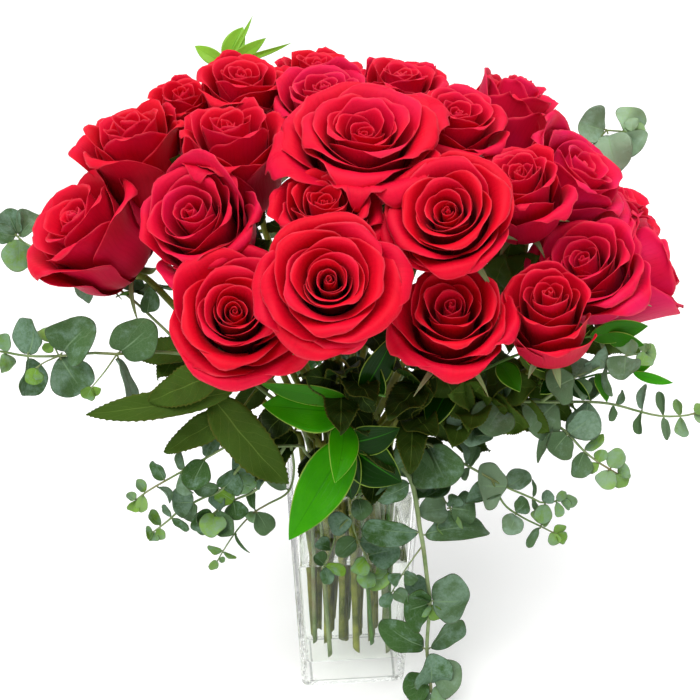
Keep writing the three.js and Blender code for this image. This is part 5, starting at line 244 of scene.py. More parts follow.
         [[2.2, -61.2, 167.2], [19.1, -67.1, 166.6], 17.9, [-0.14, -0.475, 0.869], 0],
         [[7.7, -62, 153.7], [33, -65, 160.4], 21.1, [-0.218, -0.871, 0.44], 0],
         [[8.3, -62.2, 152.3], [-3.3, -68.2, 145.2], 15.1, [0.269, -0.904, 0.332], 1],
         [[13.3, -63.6, 138.7], [20.6, -73.2, 131.7], 18.2, [-0.225, -0.684, 0.694], 1],
         [[12.8, -63.5, 140.1], [5.6, -71.8, 131.3], 15.2, [-0.22, -0.613, 0.759], 1],
         [[13.8, -63.8, 137.4], [22.5, -67.7, 144.2], 13.7, [-0.669, -0.257, 0.697], 1],
         [[-17.8, -62.4, 163], [-29.7, -63.4, 168.3], 11.2, [0.404, -0.382, 0.831], 0],
         [[-23.5, -61.6, 147], [-31.4, -59.8, 154.1], 11.3, [0.449, -0.612, 0.652], 0],
         [[-24, -61.6, 145.5], [-20, -69.4, 134.7], 11.3, [0.362, -0.686, 0.631], 0],
         [[-23.5, -61.6, 147], [-7.8, -68.2, 142.6], 9.1, [-0.287, -0.901, 0.326], 1],
         [[35.4, -67.2, 139.2], [45.7, -72.2, 135], 12.1, [0.223, -0.319, 0.921], 0],
         [[34.8, -67.1, 138.1], [23.9, -69.7, 138.1], 11.4, [0.228, -0.972, 0.06], 0],
         [[28.3, -66.2, 122.3], [39.4, -72.4, 115.8], 12.3, [-0.336, -0.899, 0.281], 0],
         [[27.7, -66.2, 120.8], [18, -71.8, 112.6], 10.8, [0.267, -0.914, 0.306], 0],
     ]},
    {"name": "eucalyptus_lower_right", "kind": "euc",
     "branches": [
         (2.2, 0.7, [[29.3, -21.8, 36.9], [22.5, -23.6, 203], [22.6, -27.6, 212.6], [25.1, -33.5, 220.3], [27.6, -39.3, 228], [30, -45.1, 235.7], [32.5, -51, 243.4], [50.2, -53, 246.4], [66.4, -57.9, 238.7], [86.8, -64.4, 228.4], [107.4, -70, 217.5], [117.6, -71.8, 213], [128.1, -72.8, 207.9], [134.8, -73.7, 204.7], [144.5, -73, 205.4], [149.2, -71.5, 206.8]]),
         (1, 0.6, [[97.1, -67.2, 222.9], [106.8, -71.3, 203.5], [120.4, -74, 193.1], [133.8, -76.2, 186], [142.7, -77.9, 181.4], [146.3, -78.8, 180.1]]),
         (1.2, 0.6, [[39.6, -51.8, 244.6], [53.4, -54.3, 216.9], [62.8, -55.5, 202.1], [70.6, -57, 191.1], [71.5, -58.1, 184.5]]),
     ],
     "leaves": [
         [[51.6, -53.4, 245.8], [64.6, -72.8, 221.6], 35.9, [-0.259, -0.816, 0.517], 0],
         [[50.2, -53, 246.4], [30.9, -56.4, 223], 31.6, [-0.008, -0.988, 0.152], 0],
         [[80, -62.2, 231.8], [77.5, -50.5, 246.2], 14.3, [0.497, -0.629, 0.597], 0],
         [[81.7, -62.7, 230.9], [88.1, -56.5, 244.5], 11.5, [-0.645, -0.533, 0.548], 0],
         [[81.7, -62.7, 230.9], [76.6, -66.5, 222.6], 8.6, [-0.758, -0.281, 0.589], 0],
         [[107.4, -70, 217.5], [84.7, -72.5, 222.9], 33, [0.235, -0.716, 0.658], 0],
         [[107.4, -70, 217.5], [125.2, -61.2, 224.4], 16.5, [-0.165, -0.378, 0.911], 0],
         [[107.4, -70, 217.5], [79.6, -67.6, 204.8], 15.8, [-0.412, -0.366, 0.834], 0],
         [[127.2, -72.7, 208.3], [127, -66.8, 220.3], 5.1, [-0.969, -0.228, 0.097], 0],
         [[127.2, -72.7, 208.3], [132, -77.7, 198.9], 6.5, [0.635, -0.499, 0.59], 0],
         [[134.8, -73.7, 204.7], [140.2, -72.3, 213.1], 10.1, [-0.635, -0.576, 0.515], 0],
         [[136.4, -73.6, 204.8], [131.6, -81.4, 192.9], 12.3, [-0.08, -0.821, 0.565], 1],
         [[144.5, -73, 205.4], [151.2, -70.2, 211.9], 6.5, [-0.027, -0.911, 0.41], 1],
         [[144.5, -73, 205.4], [147, -78.3, 195], 7.2, [0.171, -0.861, 0.479], 1],
         [[148.4, -71.8, 206.5], [159.9, -74, 203.6], 9.4, [0.022, -0.75, 0.661], 1],
         [[148.4, -71.8, 206.5], [154.7, -75.6, 199.7], 6.5, [0.215, -0.757, 0.617], 1],
         [[115.9, -73.1, 196.6], [108.6, -82.6, 185.2], 16, [0.03, -0.775, 0.631], 0],
         [[115.9, -73.1, 196.6], [123.7, -72.8, 207.3], 13.1, [-0.69, -0.505, 0.519], 0],
         [[134.5, -76.3, 185.6], [125.3, -82.6, 171.5], 8, [-0.753, -0.255, 0.606], 0],
         [[134.5, -76.3, 185.6], [137.3, -72.2, 199], 13.9, [-0.587, -0.732, 0.347], 1],
         [[142.7, -77.9, 181.4], [144.7, -83.9, 174.2], 9.5, [-0.463, -0.745, 0.481], 1],
         [[143.3, -78.1, 181.2], [153, -77, 184.7], 6.6, [-0.011, -0.949, 0.314], 1],
         [[145.7, -78.7, 180.3], [152.7, -81.5, 175.5], 8.8, [0.118, -0.769, 0.628], 1],
         [[70.6, -57, 191.1], [47.4, -61.6, 192.1], 20.8, [0.164, -0.67, 0.724], 0],
         [[70.6, -57, 191.1], [88.5, -64.4, 192.1], 25.3, [-0.359, -0.8, 0.48], 0],
         [[71, -57.5, 187.8], [69, -70.7, 174.2], 18.6, [-0.058, -0.71, 0.702], 1],
         [[70.6, -57, 191.1], [72.4, -52.5, 200.4], 13.4, [0.303, -0.881, 0.363], 0],
         [[54.2, -54.4, 215.7], [43, -56.4, 210], 13.2, [0.176, -0.984, -0.002], 0],
     ]},
    {"name": "eucalyptus_right", "kind": "euc",
     "branches": [
         (2.4, 0.8, [[28.9, 3.9, 36.7], [36.4, -3.3, 203], [36.9, -10.1, 214.8], [36.7, -19.4, 226.3], [36.4, -28.6, 237.9], [37.7, -38.7, 248.8], [39.5, -49.1, 259.6], [65.9, -56.9, 277], [102.9, -62.9, 283.7], [133.8, -65, 283.7], [165.6, -62, 280.7], [183.8, -59, 275.9], [201.6, -56.9, 269], [218.9, -56.2, 263.8], [237, -53.1, 261.2], [248.6, -50.4, 261.6]]),
         (1.4, 0.7, [[112.1, -63.5, 283.7], [130.1, -69.6, 273.8], [144.9, -73.2, 264.1], [156.9, -77.9, 251.8], [167.8, -80.6, 243.2], [177, -82.9, 237.6], [182.2, -83.7, 234.5]]),
         (1.4, 0.7, [[127.6, -64.6, 283.7], [138.4, -68.5, 296.2], [145.1, -70.4, 304.6], [157.1, -69.9, 308.8], [168.3, -67.5, 313.2], [182.8, -64.3, 317.2], [196.9, -61.7, 317.6]]),
         (1, 0.6, [[84.4, -59.9, 280.4], [79.7, -60.3, 272], [81.6, -61.3, 261.1]]),
     ],
     "leaves": [
         [[204.5, -56.8, 268.2], [208.2, -48.6, 285.3], 6.4, [-0.791, -0.47, 0.392], 0],
         [[204.5, -56.8, 268.2], [202.8, -63.9, 253.3], 6.4, [-0.799, -0.501, 0.334], 0],
         [[221.9, -55.7, 263.4], [219.8, -47.6, 279.5], 6.5, [-0.78, -0.594, 0.196], 0],
         [[221.9, -55.7, 263.4], [223.8, -63.4, 247.9], 6.5, [-0.782, -0.59, 0.202], 0],
         [[235.5, -53.4, 261.4], [232.8, -47.8, 272.5], 6.5, [-0.739, -0.655, 0.156], 1],
         [[235.5, -53.4, 261.4], [238.5, -60.3, 247.8], 8.7, [-0.684, -0.701, 0.204], 1],
         [[246.6, -50.9, 261.6], [255, -49, 266.5], 8.7, [-0.327, -0.553, 0.766], 1],
         [[246.6, -50.9, 261.6], [255.5, -52.9, 258.6], 9.4, [-0.024, -0.851, 0.525], 1],
         [[183.8, -59, 275.9], [189.9, -51.2, 283.4], 7, [0.531, -0.768, 0.359], 0],
         [[182.3, -59.2, 276.3], [178.3, -65.7, 267], 8.5, [0.556, -0.774, 0.304], 0],
         [[139.1, -64.5, 283.2], [117, -80.1, 271.1], 30.4, [0.184, -0.754, 0.631], 0],
         [[139.1, -64.5, 283.2], [144.2, -48.6, 298.1], 20.7, [0.568, -0.652, 0.502], 0],
         [[102.9, -62.9, 283.7], [85.5, -79.9, 269.2], 29, [-0.187, -0.519, 0.834], 0],
         [[102.9, -62.9, 283.7], [101.5, -48.3, 299.5], 23.5, [-0.819, -0.455, 0.349], 0],
         [[162.9, -62.3, 281], [150.1, -79.9, 261.5], 23.7, [-0.413, -0.524, 0.745], 0],
         [[162.9, -62.3, 281], [175, -52.8, 292.9], 16.7, [-0.649, -0.116, 0.752], 0],
         [[145.9, -73.6, 263], [132.3, -86.3, 253.5], 20.8, [0.166, -0.701, 0.694], 0],
         [[145.9, -73.6, 263], [163.9, -73.5, 279.5], 20.8, [-0.185, -0.96, 0.21], 0],
         [[135, -70.8, 270.6], [123.3, -85.4, 248.4], 9.7, [-0.831, -0.149, 0.535], 0],
         [[157.8, -78.1, 251.1], [171.1, -75.5, 262.7], 8.3, [-0.597, -0.294, 0.746], 1],
         [[157.8, -78.1, 251.1], [150.9, -87.5, 235.4], 15.3, [0.115, -0.873, 0.474], 0],
         [[167.8, -80.6, 243.2], [170.1, -78.5, 252.4], 9.8, [-0.006, -0.974, 0.228], 1],
         [[167.8, -80.6, 243.2], [160.6, -83.2, 236.9], 8.4, [-0.545, -0.344, 0.765], 1],
         [[176.3, -82.7, 238], [184.3, -79, 251.3], 12.6, [-0.528, -0.678, 0.511], 1],
         [[175.5, -82.5, 238.5], [170.2, -91.7, 228.1], 14, [-0.202, -0.68, 0.705], 1],
         [[181.8, -83.6, 234.8], [189.8, -84.7, 238.2], 11.9, [-0.374, -0.641, 0.671], 1],
         [[180.9, -83.5, 235.3], [184.6, -88.3, 225.8], 11.2, [-0.579, -0.794, 0.185], 1],
         [[145.1, -70.4, 304.6], [125, -81.8, 301.2], 25.6, [0.323, -0.745, 0.584], 0],
         [[145.1, -70.4, 304.6], [155.6, -62.1, 314], 17.5, [-0.414, -0.397, 0.819], 0],
         [[145.1, -70.4, 304.6], [156.8, -76.4, 294], 14.8, [0.314, -0.637, 0.704], 0],
         [[168.3, -67.5, 313.2], [157, -69.7, 320.7], 18.9, [0.141, -0.987, -0.076], 0],
         [[168.3, -67.5, 313.2], [170.6, -79.8, 295.3], 8.8, [-0.978, -0.207, 0.02], 0],
         [[182.8, -64.3, 317.2], [177.8, -78.2, 306.3], 21.7, [-0.466, -0.433, 0.772], 0],
         [[182.8, -64.3, 317.2], [184.2, -62.7, 329.8], 14.9, [-0.705, -0.688, 0.171], 1],
         [[196.9, -61.7, 317.6], [203.1, -64.5, 319.6], 13.6, [-0.469, -0.842, 0.267], 1],
         [[196.9, -61.7, 317.6], [192, -67.9, 311.1], 12.2, [0.087, -0.755, 0.65], 1],
         [[196.9, -61.7, 317.6], [197.8, -58.8, 323.8], 8.2, [-0.68, -0.617, 0.396], 1],
         [[81.3, -61.2, 262.9], [78.1, -73.4, 255.7], 23.9, [0.127, -0.527, 0.841], 0],
         [[80.8, -60.9, 265.6], [64.7, -65.4, 272.4], 21, [0.286, -0.957, 0.05], 0],
         [[81.1, -61.1, 263.8], [95.4, -67.7, 266], 19.6, [-0.339, -0.457, 0.822], 0],
     ]},
    {"name": "eucalyptus_upper_right", "kind": "euc",
     "branches": [
         (2.2, 0.8, [[18.4, 29, 34.8], [21.3, 30.3, 203], [25.9, 28.8, 223.4], [35.6, 28.9, 241.9], [45.3, 29, 260.4], [54.9, 29.1, 278.9], [64.6, 29.2, 297.4], [127.8, 75.4, 336.9], [180.9, 104.7, 386], [204.4, 111.6, 416.9], [216.4, 111.8, 432.8], [227.7, 108.3, 431.8], [235.3, 106.4, 431.2]]),
         (1.2, 0.7, [[154.3, 90.1, 361.5], [200.2, 110.1, 345.2], [238.1, 122.8, 326.4], [263.6, 131.5, 311.4]]),
     ],
     "leaves": [
         [[216.4, 111.8, 432.8], [193.4, 112.2, 439.4], 29.2, [0.075, -0.946, 0.316], 0],
         [[216.4, 111.8, 432.8], [221.1, 88.5, 404.2], 32.4, [-0.557, -0.686, 0.468], 0],
         [[227.7, 108.3, 431.8], [241.8, 111, 448.4], 24.2, [-0.083, -0.97, 0.23], 1],
         [[228.3, 108.1, 431.7], [240, 96.2, 418.2], 21, [-0.67, -0.738, 0.074], 0],
         [[235.3, 106.4, 431.2], [245.8, 104.7, 433.8], 12.9, [-0.175, -0.982, 0.064], 1],
         [[235.3, 106.4, 431.2], [237.3, 111.6, 442.1], 11.3, [-0.643, -0.639, 0.423], 1],
         [[192.6, 108.2, 401.5], [182.9, 122.2, 415], 24.6, [-0.042, -0.708, 0.705], 0],
         [[192.6, 108.2, 401.5], [211.7, 107, 388.2], 24.6, [0.252, -0.863, 0.437], 0],
         [[200.2, 110.1, 345.2], [212.4, 124.5, 362.6], 22.2, [0.241, -0.824, 0.513], 0],
         [[200.2, 110.1, 345.2], [193.8, 106.1, 322.4], 22.2, [0.125, -0.982, 0.139], 0],
         [[234.9, 121.7, 328], [246.1, 117.6, 307.5], 22.8, [0.132, -0.955, 0.265], 0],
         [[234.9, 121.7, 328], [231.5, 136.6, 344.1], 21.1, [-0.028, -0.738, 0.674], 0],
         [[261.5, 130.8, 312.7], [273.2, 135.4, 319.3], 16.2, [-0.21, -0.585, 0.783], 1],
         [[261.5, 130.8, 312.7], [270.8, 127.7, 303.1], 16.2, [-0.425, -0.897, -0.122], 1],
     ]},
    {"name": "ruscus_front", "kind": "rus",
     "branches": [
         (2, 1, [[16.1, -30.7, 38.2], [4.5, -32.5, 203], [3.4, -36.8, 212.4], [1.8, -43.3, 221.3], [0.2, -49.9, 230.1], [-1.4, -56.5, 238.9], [-3, -63.1, 247.8], [-7.5, -67.7, 267.3], [-9.7, -71.1, 282.8], [-8.4, -72.2, 296.6], [2.6, -75.6, 302.6], [17.7, -77.8, 300.2]]),
     ],
     "leaves": [
         [[-8.4, -72.2, 296.6], [-63.7, -78.1, 313.1], 19.9, [0.068, -0.99, -0.124], 0],
         [[-9.5, -71.2, 285.1], [-62.9, -82.8, 299.5], 40.3, [0.323, -0.697, 0.64], 1],
         [[-8.6, -69.4, 275], [-17.5, -111.4, 256.4], 27.2, [0.366, -0.441, 0.819], 1],
         [[-5.6, -65.8, 259.1], [-48.6, -104.3, 206.3], 42.9, [0.135, -0.849, 0.511], 1],
         [[-4.1, -64.2, 252.6], [30.2, -82.3, 234.3], 43.2, [-0.348, -0.906, 0.243], 2],
         [[-5.2, -65.4, 257.5], [28.4, -77.1, 274.7], 30.5, [-0.297, -0.952, -0.071], 2],
         [[2.6, -75.6, 302.6], [24.4, -63.9, 338.6], 27.7, [0.362, -0.929, 0.083], 2],
         [[16.4, -77.6, 300.4], [7.9, -59, 323.6], 22.4, [-0.717, -0.647, 0.258], 2],
         [[-4.5, -64.6, 254.3], [-3.7, -73.2, 214.1], 27.8, [-0.547, -0.821, 0.165], 2],
     ]},
    {"name": "ruscus_right", "kind": "rus",
     "branches": [
         (2, 0.9, [[30.8, -7.4, 36.3], [29.9, -12.9, 203], [33.3, -22.8, 216.2], [39.4, -30.5, 231.8], [44.4, -37.6, 247.8], [48.6, -44.2, 264.2], [52.7, -50.9, 280.5], [85, -57.8, 305.1], [111.2, -58.2, 318.2], [137.5, -59, 325.9], [157.8, -59.3, 330.6], [171.7, -58.8, 331.4]]),
         (1, 0.7, [[111.2, -58.2, 318.2], [136.5, -67.6, 301.2], [168.9, -58.8, 301.1], [198.1, -56.8, 300.5]]),
     ],
     "leaves": [
         [[157.8, -59.3, 330.6], [198.7, -55.5, 335], 20.2, [0.078, -0.99, 0.12], 0],
         [[135.3, -59, 325.3], [156.2, -61.8, 336.2], 17.5, [-0.463, -0.421, 0.78], 2],
         [[117.7, -58.4, 320.1], [125.3, -72.3, 311.2], 20.3, [-0.074, -0.569, 0.819], 2],
         [[98.1, -58, 311.6], [108.5, -76.2, 298.8], 20.4, [-0.02, -0.584, 0.811], 0],
         [[79.6, -56.6, 301], [63.2, -58.8, 321.6], 24.7, [-0.182, -0.952, -0.245], 2],
         [[66.1, -53.8, 290.8], [48.9, -77.2, 272.3], 27.7, [-0.323, -0.426, 0.845], 2],
         [[169.4, -58.9, 331.2], [195.1, -62, 323.9], 16.2, [-0.167, -0.972, -0.168], 0],
         [[193.2, -57.2, 300.6], [221.4, -60.6, 293], 9.7, [-0.121, -0.993, 0.006], 1],
         [[166.2, -59.6, 301.1], [171.3, -71.8, 286.1], 13.8, [0.195, -0.728, 0.657], 0],
         [[144.6, -65.4, 301.2], [157.4, -76, 290.6], 15, [-0.647, -0.762, -0.021], 2],
         [[139.2, -66.9, 301.2], [122.2, -76.7, 297], 17.7, [-0.001, -0.394, 0.919], 2],
         [[195.7, -57, 300.5], [207.4, -52.9, 305.9], 9.7, [-0.354, -0.202, 0.913], 1],
     ]},
    {"name": "eucalyptus_back", "kind": "euc",
     "branches": [
         (2.4, 0.8, [[-2, 28.8, 30.4], [8.1, 31.4, 203], [8.2, 31.7, 203.2], [8.2, 32.2, 203.1], [8.3, 32.6, 203.1], [8.3, 33.1, 203], [8.4, 33.5, 203], [11.2, 46.2, 221.4], [14.6, 60.7, 238.7], [19.3, 78.2, 254], [25.2, 98.6, 266.6], [32, 120.9, 276.1], [39, 143.9, 282.1], [45.3, 166.4, 284.3], [50.4, 187.9, 283.1], [54.7, 208.7, 280]]),
         (1.68, 0.8, [[15.5, 64.2, 241.8], [-1.3, 76.6, 250.7], [-16.8, 92.1, 256.1], [-31.9, 107.7, 260.6], [-46.4, 123.6, 263.8], [-60.2, 139.4, 265.5], [-72.9, 154.6, 265.2], [-84.2, 168.8, 262.2], [-94.5, 182.4, 257.3], [-104.6, 195.8, 252]]),
         (1.68, 0.8, [[28.6, 109.8, 271.3], [48.3, 116.9, 280], [68.7, 125.3, 284.9], [88.2, 132.9, 289.4], [106.4, 139.4, 293.2], [123.6, 144.8, 296.2], [139.7, 149.1, 297.5], [154.8, 152, 296.2], [169.1, 153.9, 293.3], [183.3, 155.6, 290]]),
         (1.68, 0.8, [[11.8, 49.1, 224.9], [26.2, 60, 225], [41.1, 70.6, 224.8], [56.2, 81, 223.6], [71.6, 91.2, 221.1], [86.9, 101, 217.4], [101, 109.8, 212.4], [113.2, 117.5, 205.7], [124, 124.3, 198], [134.5, 130.9, 190]]),
     ],
     "leaves": [
         [[16.5, 67.8, 244.9], [-8.1, 72.8, 266.8], 29.7, [0.485, 0.796, 0.362], 0],
         [[16.5, 67.8, 244.9], [43, 74.6, 234.3], 26.3, [0.068, 0.751, 0.656], 0],
         [[27.5, 106.5, 269.9], [3.2, 122.7, 283.4], 29.7, [0.581, 0.811, 0.07], 0],
         [[27.5, 106.5, 269.9], [63.1, 107.2, 262.3], 31.3, [0.09, 0.857, 0.507], 0],
         [[40.5, 149.1, 282.6], [16, 158, 293.9], 24.3, [0.338, 0.941, -0.009], 0],
         [[40.5, 149.1, 282.6], [67.6, 149.3, 272.2], 26.2, [-0.073, 0.983, -0.169], 0],
         [[51.4, 192.8, 282.4], [68.4, 196.4, 296.1], 18.2, [0.226, 0.835, -0.501], 1],
         [[51.4, 192.8, 282.4], [40.6, 201.3, 270.2], 16.4, [0.478, 0.86, 0.177], 1],
         [[-0.8, 76.1, 250.5], [-3.8, 70.5, 285.1], 30.3, [-0.455, 0.884, 0.104], 0],
         [[-0.8, 76.1, 250.5], [-9.1, 91.3, 226.2], 28.7, [-0.655, 0.521, 0.547], 0],
         [[-26, 101.6, 258.8], [-23.3, 113.2, 288.7], 32.1, [-0.694, 0.69, -0.206], 0],
         [[-26, 101.6, 258.8], [-47.3, 107.5, 230.8], 31.9, [-0.615, 0.534, 0.58], 0],
         [[-53.8, 132.1, 264.7], [-59.6, 141.4, 292.9], 28.3, [-0.672, 0.651, -0.353], 0],
         [[-53.8, 132.1, 264.7], [-67, 144.1, 234.4], 34.1, [-0.878, 0.17, 0.448], 0],
         [[-77, 159.7, 264.2], [-75.5, 171.1, 290], 24.5, [-0.655, 0.705, -0.273], 0],
         [[-77, 159.7, 264.2], [-84.9, 157.8, 239.2], 23.6, [-0.576, 0.809, 0.119], 0],
         [[-97.5, 186.4, 255.7], [-89.3, 195.2, 255.2], 10.9, [-0.729, 0.684, -0.031], 1],
         [[-97.5, 186.4, 255.7], [-110.5, 182.2, 254.2], 12.7, [-0.264, 0.923, -0.278], 1],
         [[47.5, 116.6, 279.8], [51.9, 118.6, 314.3], 29.9, [0.847, 0.513, -0.139], 0],
         [[47.5, 116.6, 279.8], [58, 120.8, 252.8], 25.9, [0.867, 0.312, 0.388], 0],
         [[82.9, 130.8, 288.2], [91.1, 124.8, 322.2], 31.4, [0.949, 0.257, -0.182], 0],
         [[82.9, 130.8, 288.2], [96.7, 144.1, 263.9], 28.3, [0.879, -0.047, 0.474], 0],
         [[118.6, 143.2, 295.4], [117.5, 142.4, 322], 22, [0.972, 0.232, 0.045], 0],
         [[118.6, 143.2, 295.4], [131.6, 147.9, 268.6], 27.8, [0.898, 0.011, 0.441], 0],
         [[158.1, 152.4, 295.6], [165.6, 161.6, 315.5], 22.1, [0.86, 0.258, -0.441], 1],
         [[158.1, 152.4, 295.6], [164.6, 146.3, 275.8], 17.8, [0.943, 0.236, 0.236], 1],
         [[29.3, 62.2, 225], [16, 90.9, 239.4], 31.6, [0.908, 0.42, 0.003], 0],
         [[29.3, 62.2, 225], [53.7, 44.9, 211.7], 28, [0.659, 0.674, 0.333], 0],
         [[65.6, 87.2, 222.1], [84.8, 73.6, 243.2], 27, [0.796, 0.307, -0.522], 0],
         [[65.6, 87.2, 222.1], [54.4, 104.5, 201.1], 29.3, [0.7, 0.688, 0.191], 0],
         [[103.5, 111.4, 211], [128.3, 103.4, 224.3], 28.1, [0.498, 0.708, -0.501], 0],
         [[103.5, 111.4, 211], [91.4, 126.5, 191.8], 26.3, [0.792, 0.611, -0.019], 0],
         [[133.4, 130.3, 190.8], [143, 132.2, 196.1], 9.8, [0.375, 0.415, -0.829], 1],
         [[133.4, 130.3, 190.8], [127.8, 131.1, 181.6], 9.7, [0.785, 0.432, -0.444], 1],
     ]},
    {"name": "ruscus_back", "kind": "rus",
     "branches": [
         (2, 0.8, [[-28.1, 31.3, 34.9], [-17, 33.6, 203], [-17.1, 32.5, 203.5], [-17.3, 31.2, 203.4], [-17.5, 30, 203.3], [-17.8, 28.7, 203.1], [-18.1, 27.4, 203], [-28.2, 45.8, 228], [-39.2, 64.3, 251.4], [-51.8, 82.7, 272.1], [-66.4, 100.6, 290], [-82.9, 117.7, 305.6], [-100.8, 133, 318.9], [-118.9, 145.2, 329.7], [-136.7, 154.1, 338], [-154.1, 161.1, 345]]),
         (1.4, 0.8, [[-42.9, 69.8, 257.6], [-54.6, 88.7, 293.3], [-68.2, 107.4, 326], [-78.8, 121.8, 356.2], [-85, 129.9, 382.7], [-88, 133.5, 406.3], [-89.4, 134.9, 428], [-89.6, 134.6, 447.7], [-88.9, 133.2, 466], [-88, 131.5, 484]]),
         (1.4, 0.8, [[-26.2, 42.1, 223], [-2.9, 62.4, 244.9], [15.6, 75.2, 274.2], [34.1, 89.7, 295], [50.1, 101.2, 310.8], [64.4, 110.5, 322.9], [77.8, 118, 332.5], [90.4, 123.7, 339.6], [102.5, 128.2, 345], [114.5, 132.3, 350]]),
     ],
     "leaves": [
         [[-35.9, 58.8, 244.4], [-73.6, 27.4, 267], 24.6, [-0.052, 0.622, 0.781], 0],
         [[-35.9, 58.8, 244.4], [-11.7, 98.8, 242.1], 20.8, [-0.188, 0.169, 0.967], 0],
         [[-66.2, 100.4, 289.8], [-35.8, 118.5, 337], 25.2, [-0.853, 0.279, 0.442], 0],
         [[-66.2, 100.4, 289.8], [-113.8, 104.1, 264.8], 23.2, [-0.346, 0.574, 0.742], 0],
         [[-102.1, 133.9, 319.7], [-89.9, 144.6, 361], 20.7, [-0.64, 0.768, -0.009], 0],
         [[-102.1, 133.9, 319.7], [-128.3, 134.8, 292.4], 15.9, [-0.454, 0.763, 0.46], 0],
         [[-147.5, 158.5, 342.4], [-154.2, 145.7, 355.4], 8.2, [-0.629, 0.691, 0.357], 1],
         [[-147.5, 158.5, 342.4], [-148.5, 176.1, 331.2], 9.6, [-0.664, 0.374, 0.648], 1],
         [[-47.9, 79.5, 277.8], [-36.8, 44.7, 318.8], 26.5, [-0.543, 0.562, 0.624], 0],
         [[-47.9, 79.5, 277.8], [-68.5, 124.5, 268.3], 22.4, [-0.215, 0.106, 0.971], 0],
         [[-67.6, 106.5, 324.5], [-84.4, 74, 352.5], 20.8, [-0.31, 0.707, 0.635], 0],
         [[-67.6, 106.5, 324.5], [-58.5, 158.8, 317.4], 23, [-0.892, 0.209, 0.402], 0],
         [[-86, 131.1, 390.6], [-57.1, 96.1, 414.3], 24.6, [-0.288, 0.363, 0.886], 0],
         [[-86, 131.1, 390.6], [-113.1, 163.9, 389], 18.1, [0.282, 0.276, 0.919], 0],
         [[-12.8, 52.1, 240.1], [-47.7, 66.7, 284.6], 28.8, [0.797, 0.295, 0.528], 0],
         [[-12.8, 52.1, 240.1], [31, 51.9, 220.6], 21.3, [0.292, 0.7, 0.652], 0],
         [[23.7, 81.6, 283.3], [23.7, 59, 336.2], 27.4, [0.111, 0.915, 0.389], 0],
         [[23.7, 81.6, 283.3], [48.5, 125.5, 253.5], 25, [0.18, 0.48, 0.859], 0],
         [[69, 113.1, 326.2], [53.6, 153.2, 333.9], 20.7, [0.753, 0.168, 0.636], 0],
         [[69, 113.1, 326.2], [99.3, 86.9, 331.3], 17.4, [0.378, 0.578, 0.723], 0],
         [[-88.5, 131.7, 484.2], [-112, 143.5, 496], 15, [-0.294, -0.901, 0.318], 1],
         [[-87.8, 131.8, 484.5], [-73.9, 147.4, 509.4], 21, [0.239, -0.877, 0.418], 1],
         [[-87.4, 131.7, 484.4], [-56.2, 142.4, 501.7], 13, [0.217, -0.956, 0.199], 1],
         [[-87, 131.6, 484.3], [-36.7, 139.3, 498.2], 6, [0.114, -0.985, 0.13], 1],
         [[-87.5, 131.9, 484.8], [-62.5, 153.2, 522.8], 5, [0.229, -0.906, 0.357], 1],
     ]},
]

# ---------------------------------------------------------------- camera, light, floor
scene = bpy.context.scene
cam_data = bpy.data.cameras.new("camera")
cam_data.lens = 820.0 / 700.0 * 36.0
cam_data.sensor_width = 36.0
cam_data.clip_start = 0.01
cam = bpy.data.objects.new("camera", cam_data)
scene.collection.objects.link(cam)
RIGHT = Vector((0.99756, -0.06976, 0.0)).normalized()
AHEAD = Vector((0.06264, 0.89581, -0.44)).normalized()
UP = RIGHT.cross(AHEAD).normalized()
turn = Matrix((RIGHT, UP, -AHEAD)).transposed().to_4x4()
cam.matrix_world = Matrix.Translation((-0.038227, -0.546665, 0.565)) @ turn
scene.camera = cam
scene.view_settings.view_transform = "Standard"
scene.view_settings.look = "None"
scene.view_settings.exposure = 0.0
scene.view_settings.gamma = 1.0


class Nodes:
    """Short names for building a node tree."""

    def __init__(self, tree):
        self.t = tree

    def __call__(self, kind, props=None, **inputs):
        n = self.t.nodes.new("ShaderNode" + kind)
        for k, v in (props or {}).items():
            setattr(n, k, v)
        for k, v in inputs.items():
            self.put(n, k.replace("_", " "), v)
        return n

    def put(self, n, key, v):
        sock = n.inputs[int(key[1:])] if key[0] == "i" and key[1:].isdigit() else n.inputs[key]
        if isinstance(v, bpy.types.NodeSocket):
            self.t.links.new(v, sock)
        elif isinstance(v, bpy.types.Node):
            self.t.links.new(v.outputs[0], sock)
        elif isinstance(v, tuple) and len(v) == 3 and sock.type == "RGBA":
            sock.default_value = (*v, 1.0)
        else:
            sock.default_value = v

    def math(self, op, a, b=0.0, c=None, clamp=False):
        n = self("Math", {"operation": op, "use_clamp": clamp}, i0=a, i1=b)
        if c is not None:
            self.put(n, "i2", c)
        return n.outputs[0]

    def mix(self, fac, a, b, blend="MIX"):
        n = self.t.nodes.new("ShaderNodeMix")
        n.data_type = "RGBA"
        n.blend_type = blend
        n.clamp_factor = True
        for i, v in ((0, fac), (6, a), (7, b)):
            self.put(n, "i%d" % i, v)
        return n.outputs[2]

    def ramp(self, fac, stops, mode="LINEAR"):
        n = self("ValToRGB", None, i0=fac)
        r = n.color_ramp
        r.interpolation = mode
        while len(r.elements) < len(stops):
            r.elements.new(0.5)
        for e, (p, c) in zip(r.elements, stops):
            e.position = p
            e.color = (*c, 1.0) if isinstance(c, tuple) else (c, c, c, 1.0)
        return n.outputs[0]

    def smooth(self, v, lo, hi):
        n = self("MapRange", {"interpolation_type": "SMOOTHSTEP"}, Value=v, From_Min=lo, From_Max=hi)
        return n.outputs[0]

    def noise(self, vector, scale, detail=3.0, rough=0.5, distortion=0.0):
        return self("TexNoise", None, Vector=vector, Scale=scale, Detail=detail, Roughness=rough, Distortion=distortion).outputs[0]


def material(name):
    m = bpy.data.materials.new(name)
    m.use_nodes = True
    m.node_tree.nodes.clear()
    return m, Nodes(m.node_tree)


def end(N, shader):
    out = N("OutputMaterial")
    N.t.links.new(shader, out.inputs["Surface"])


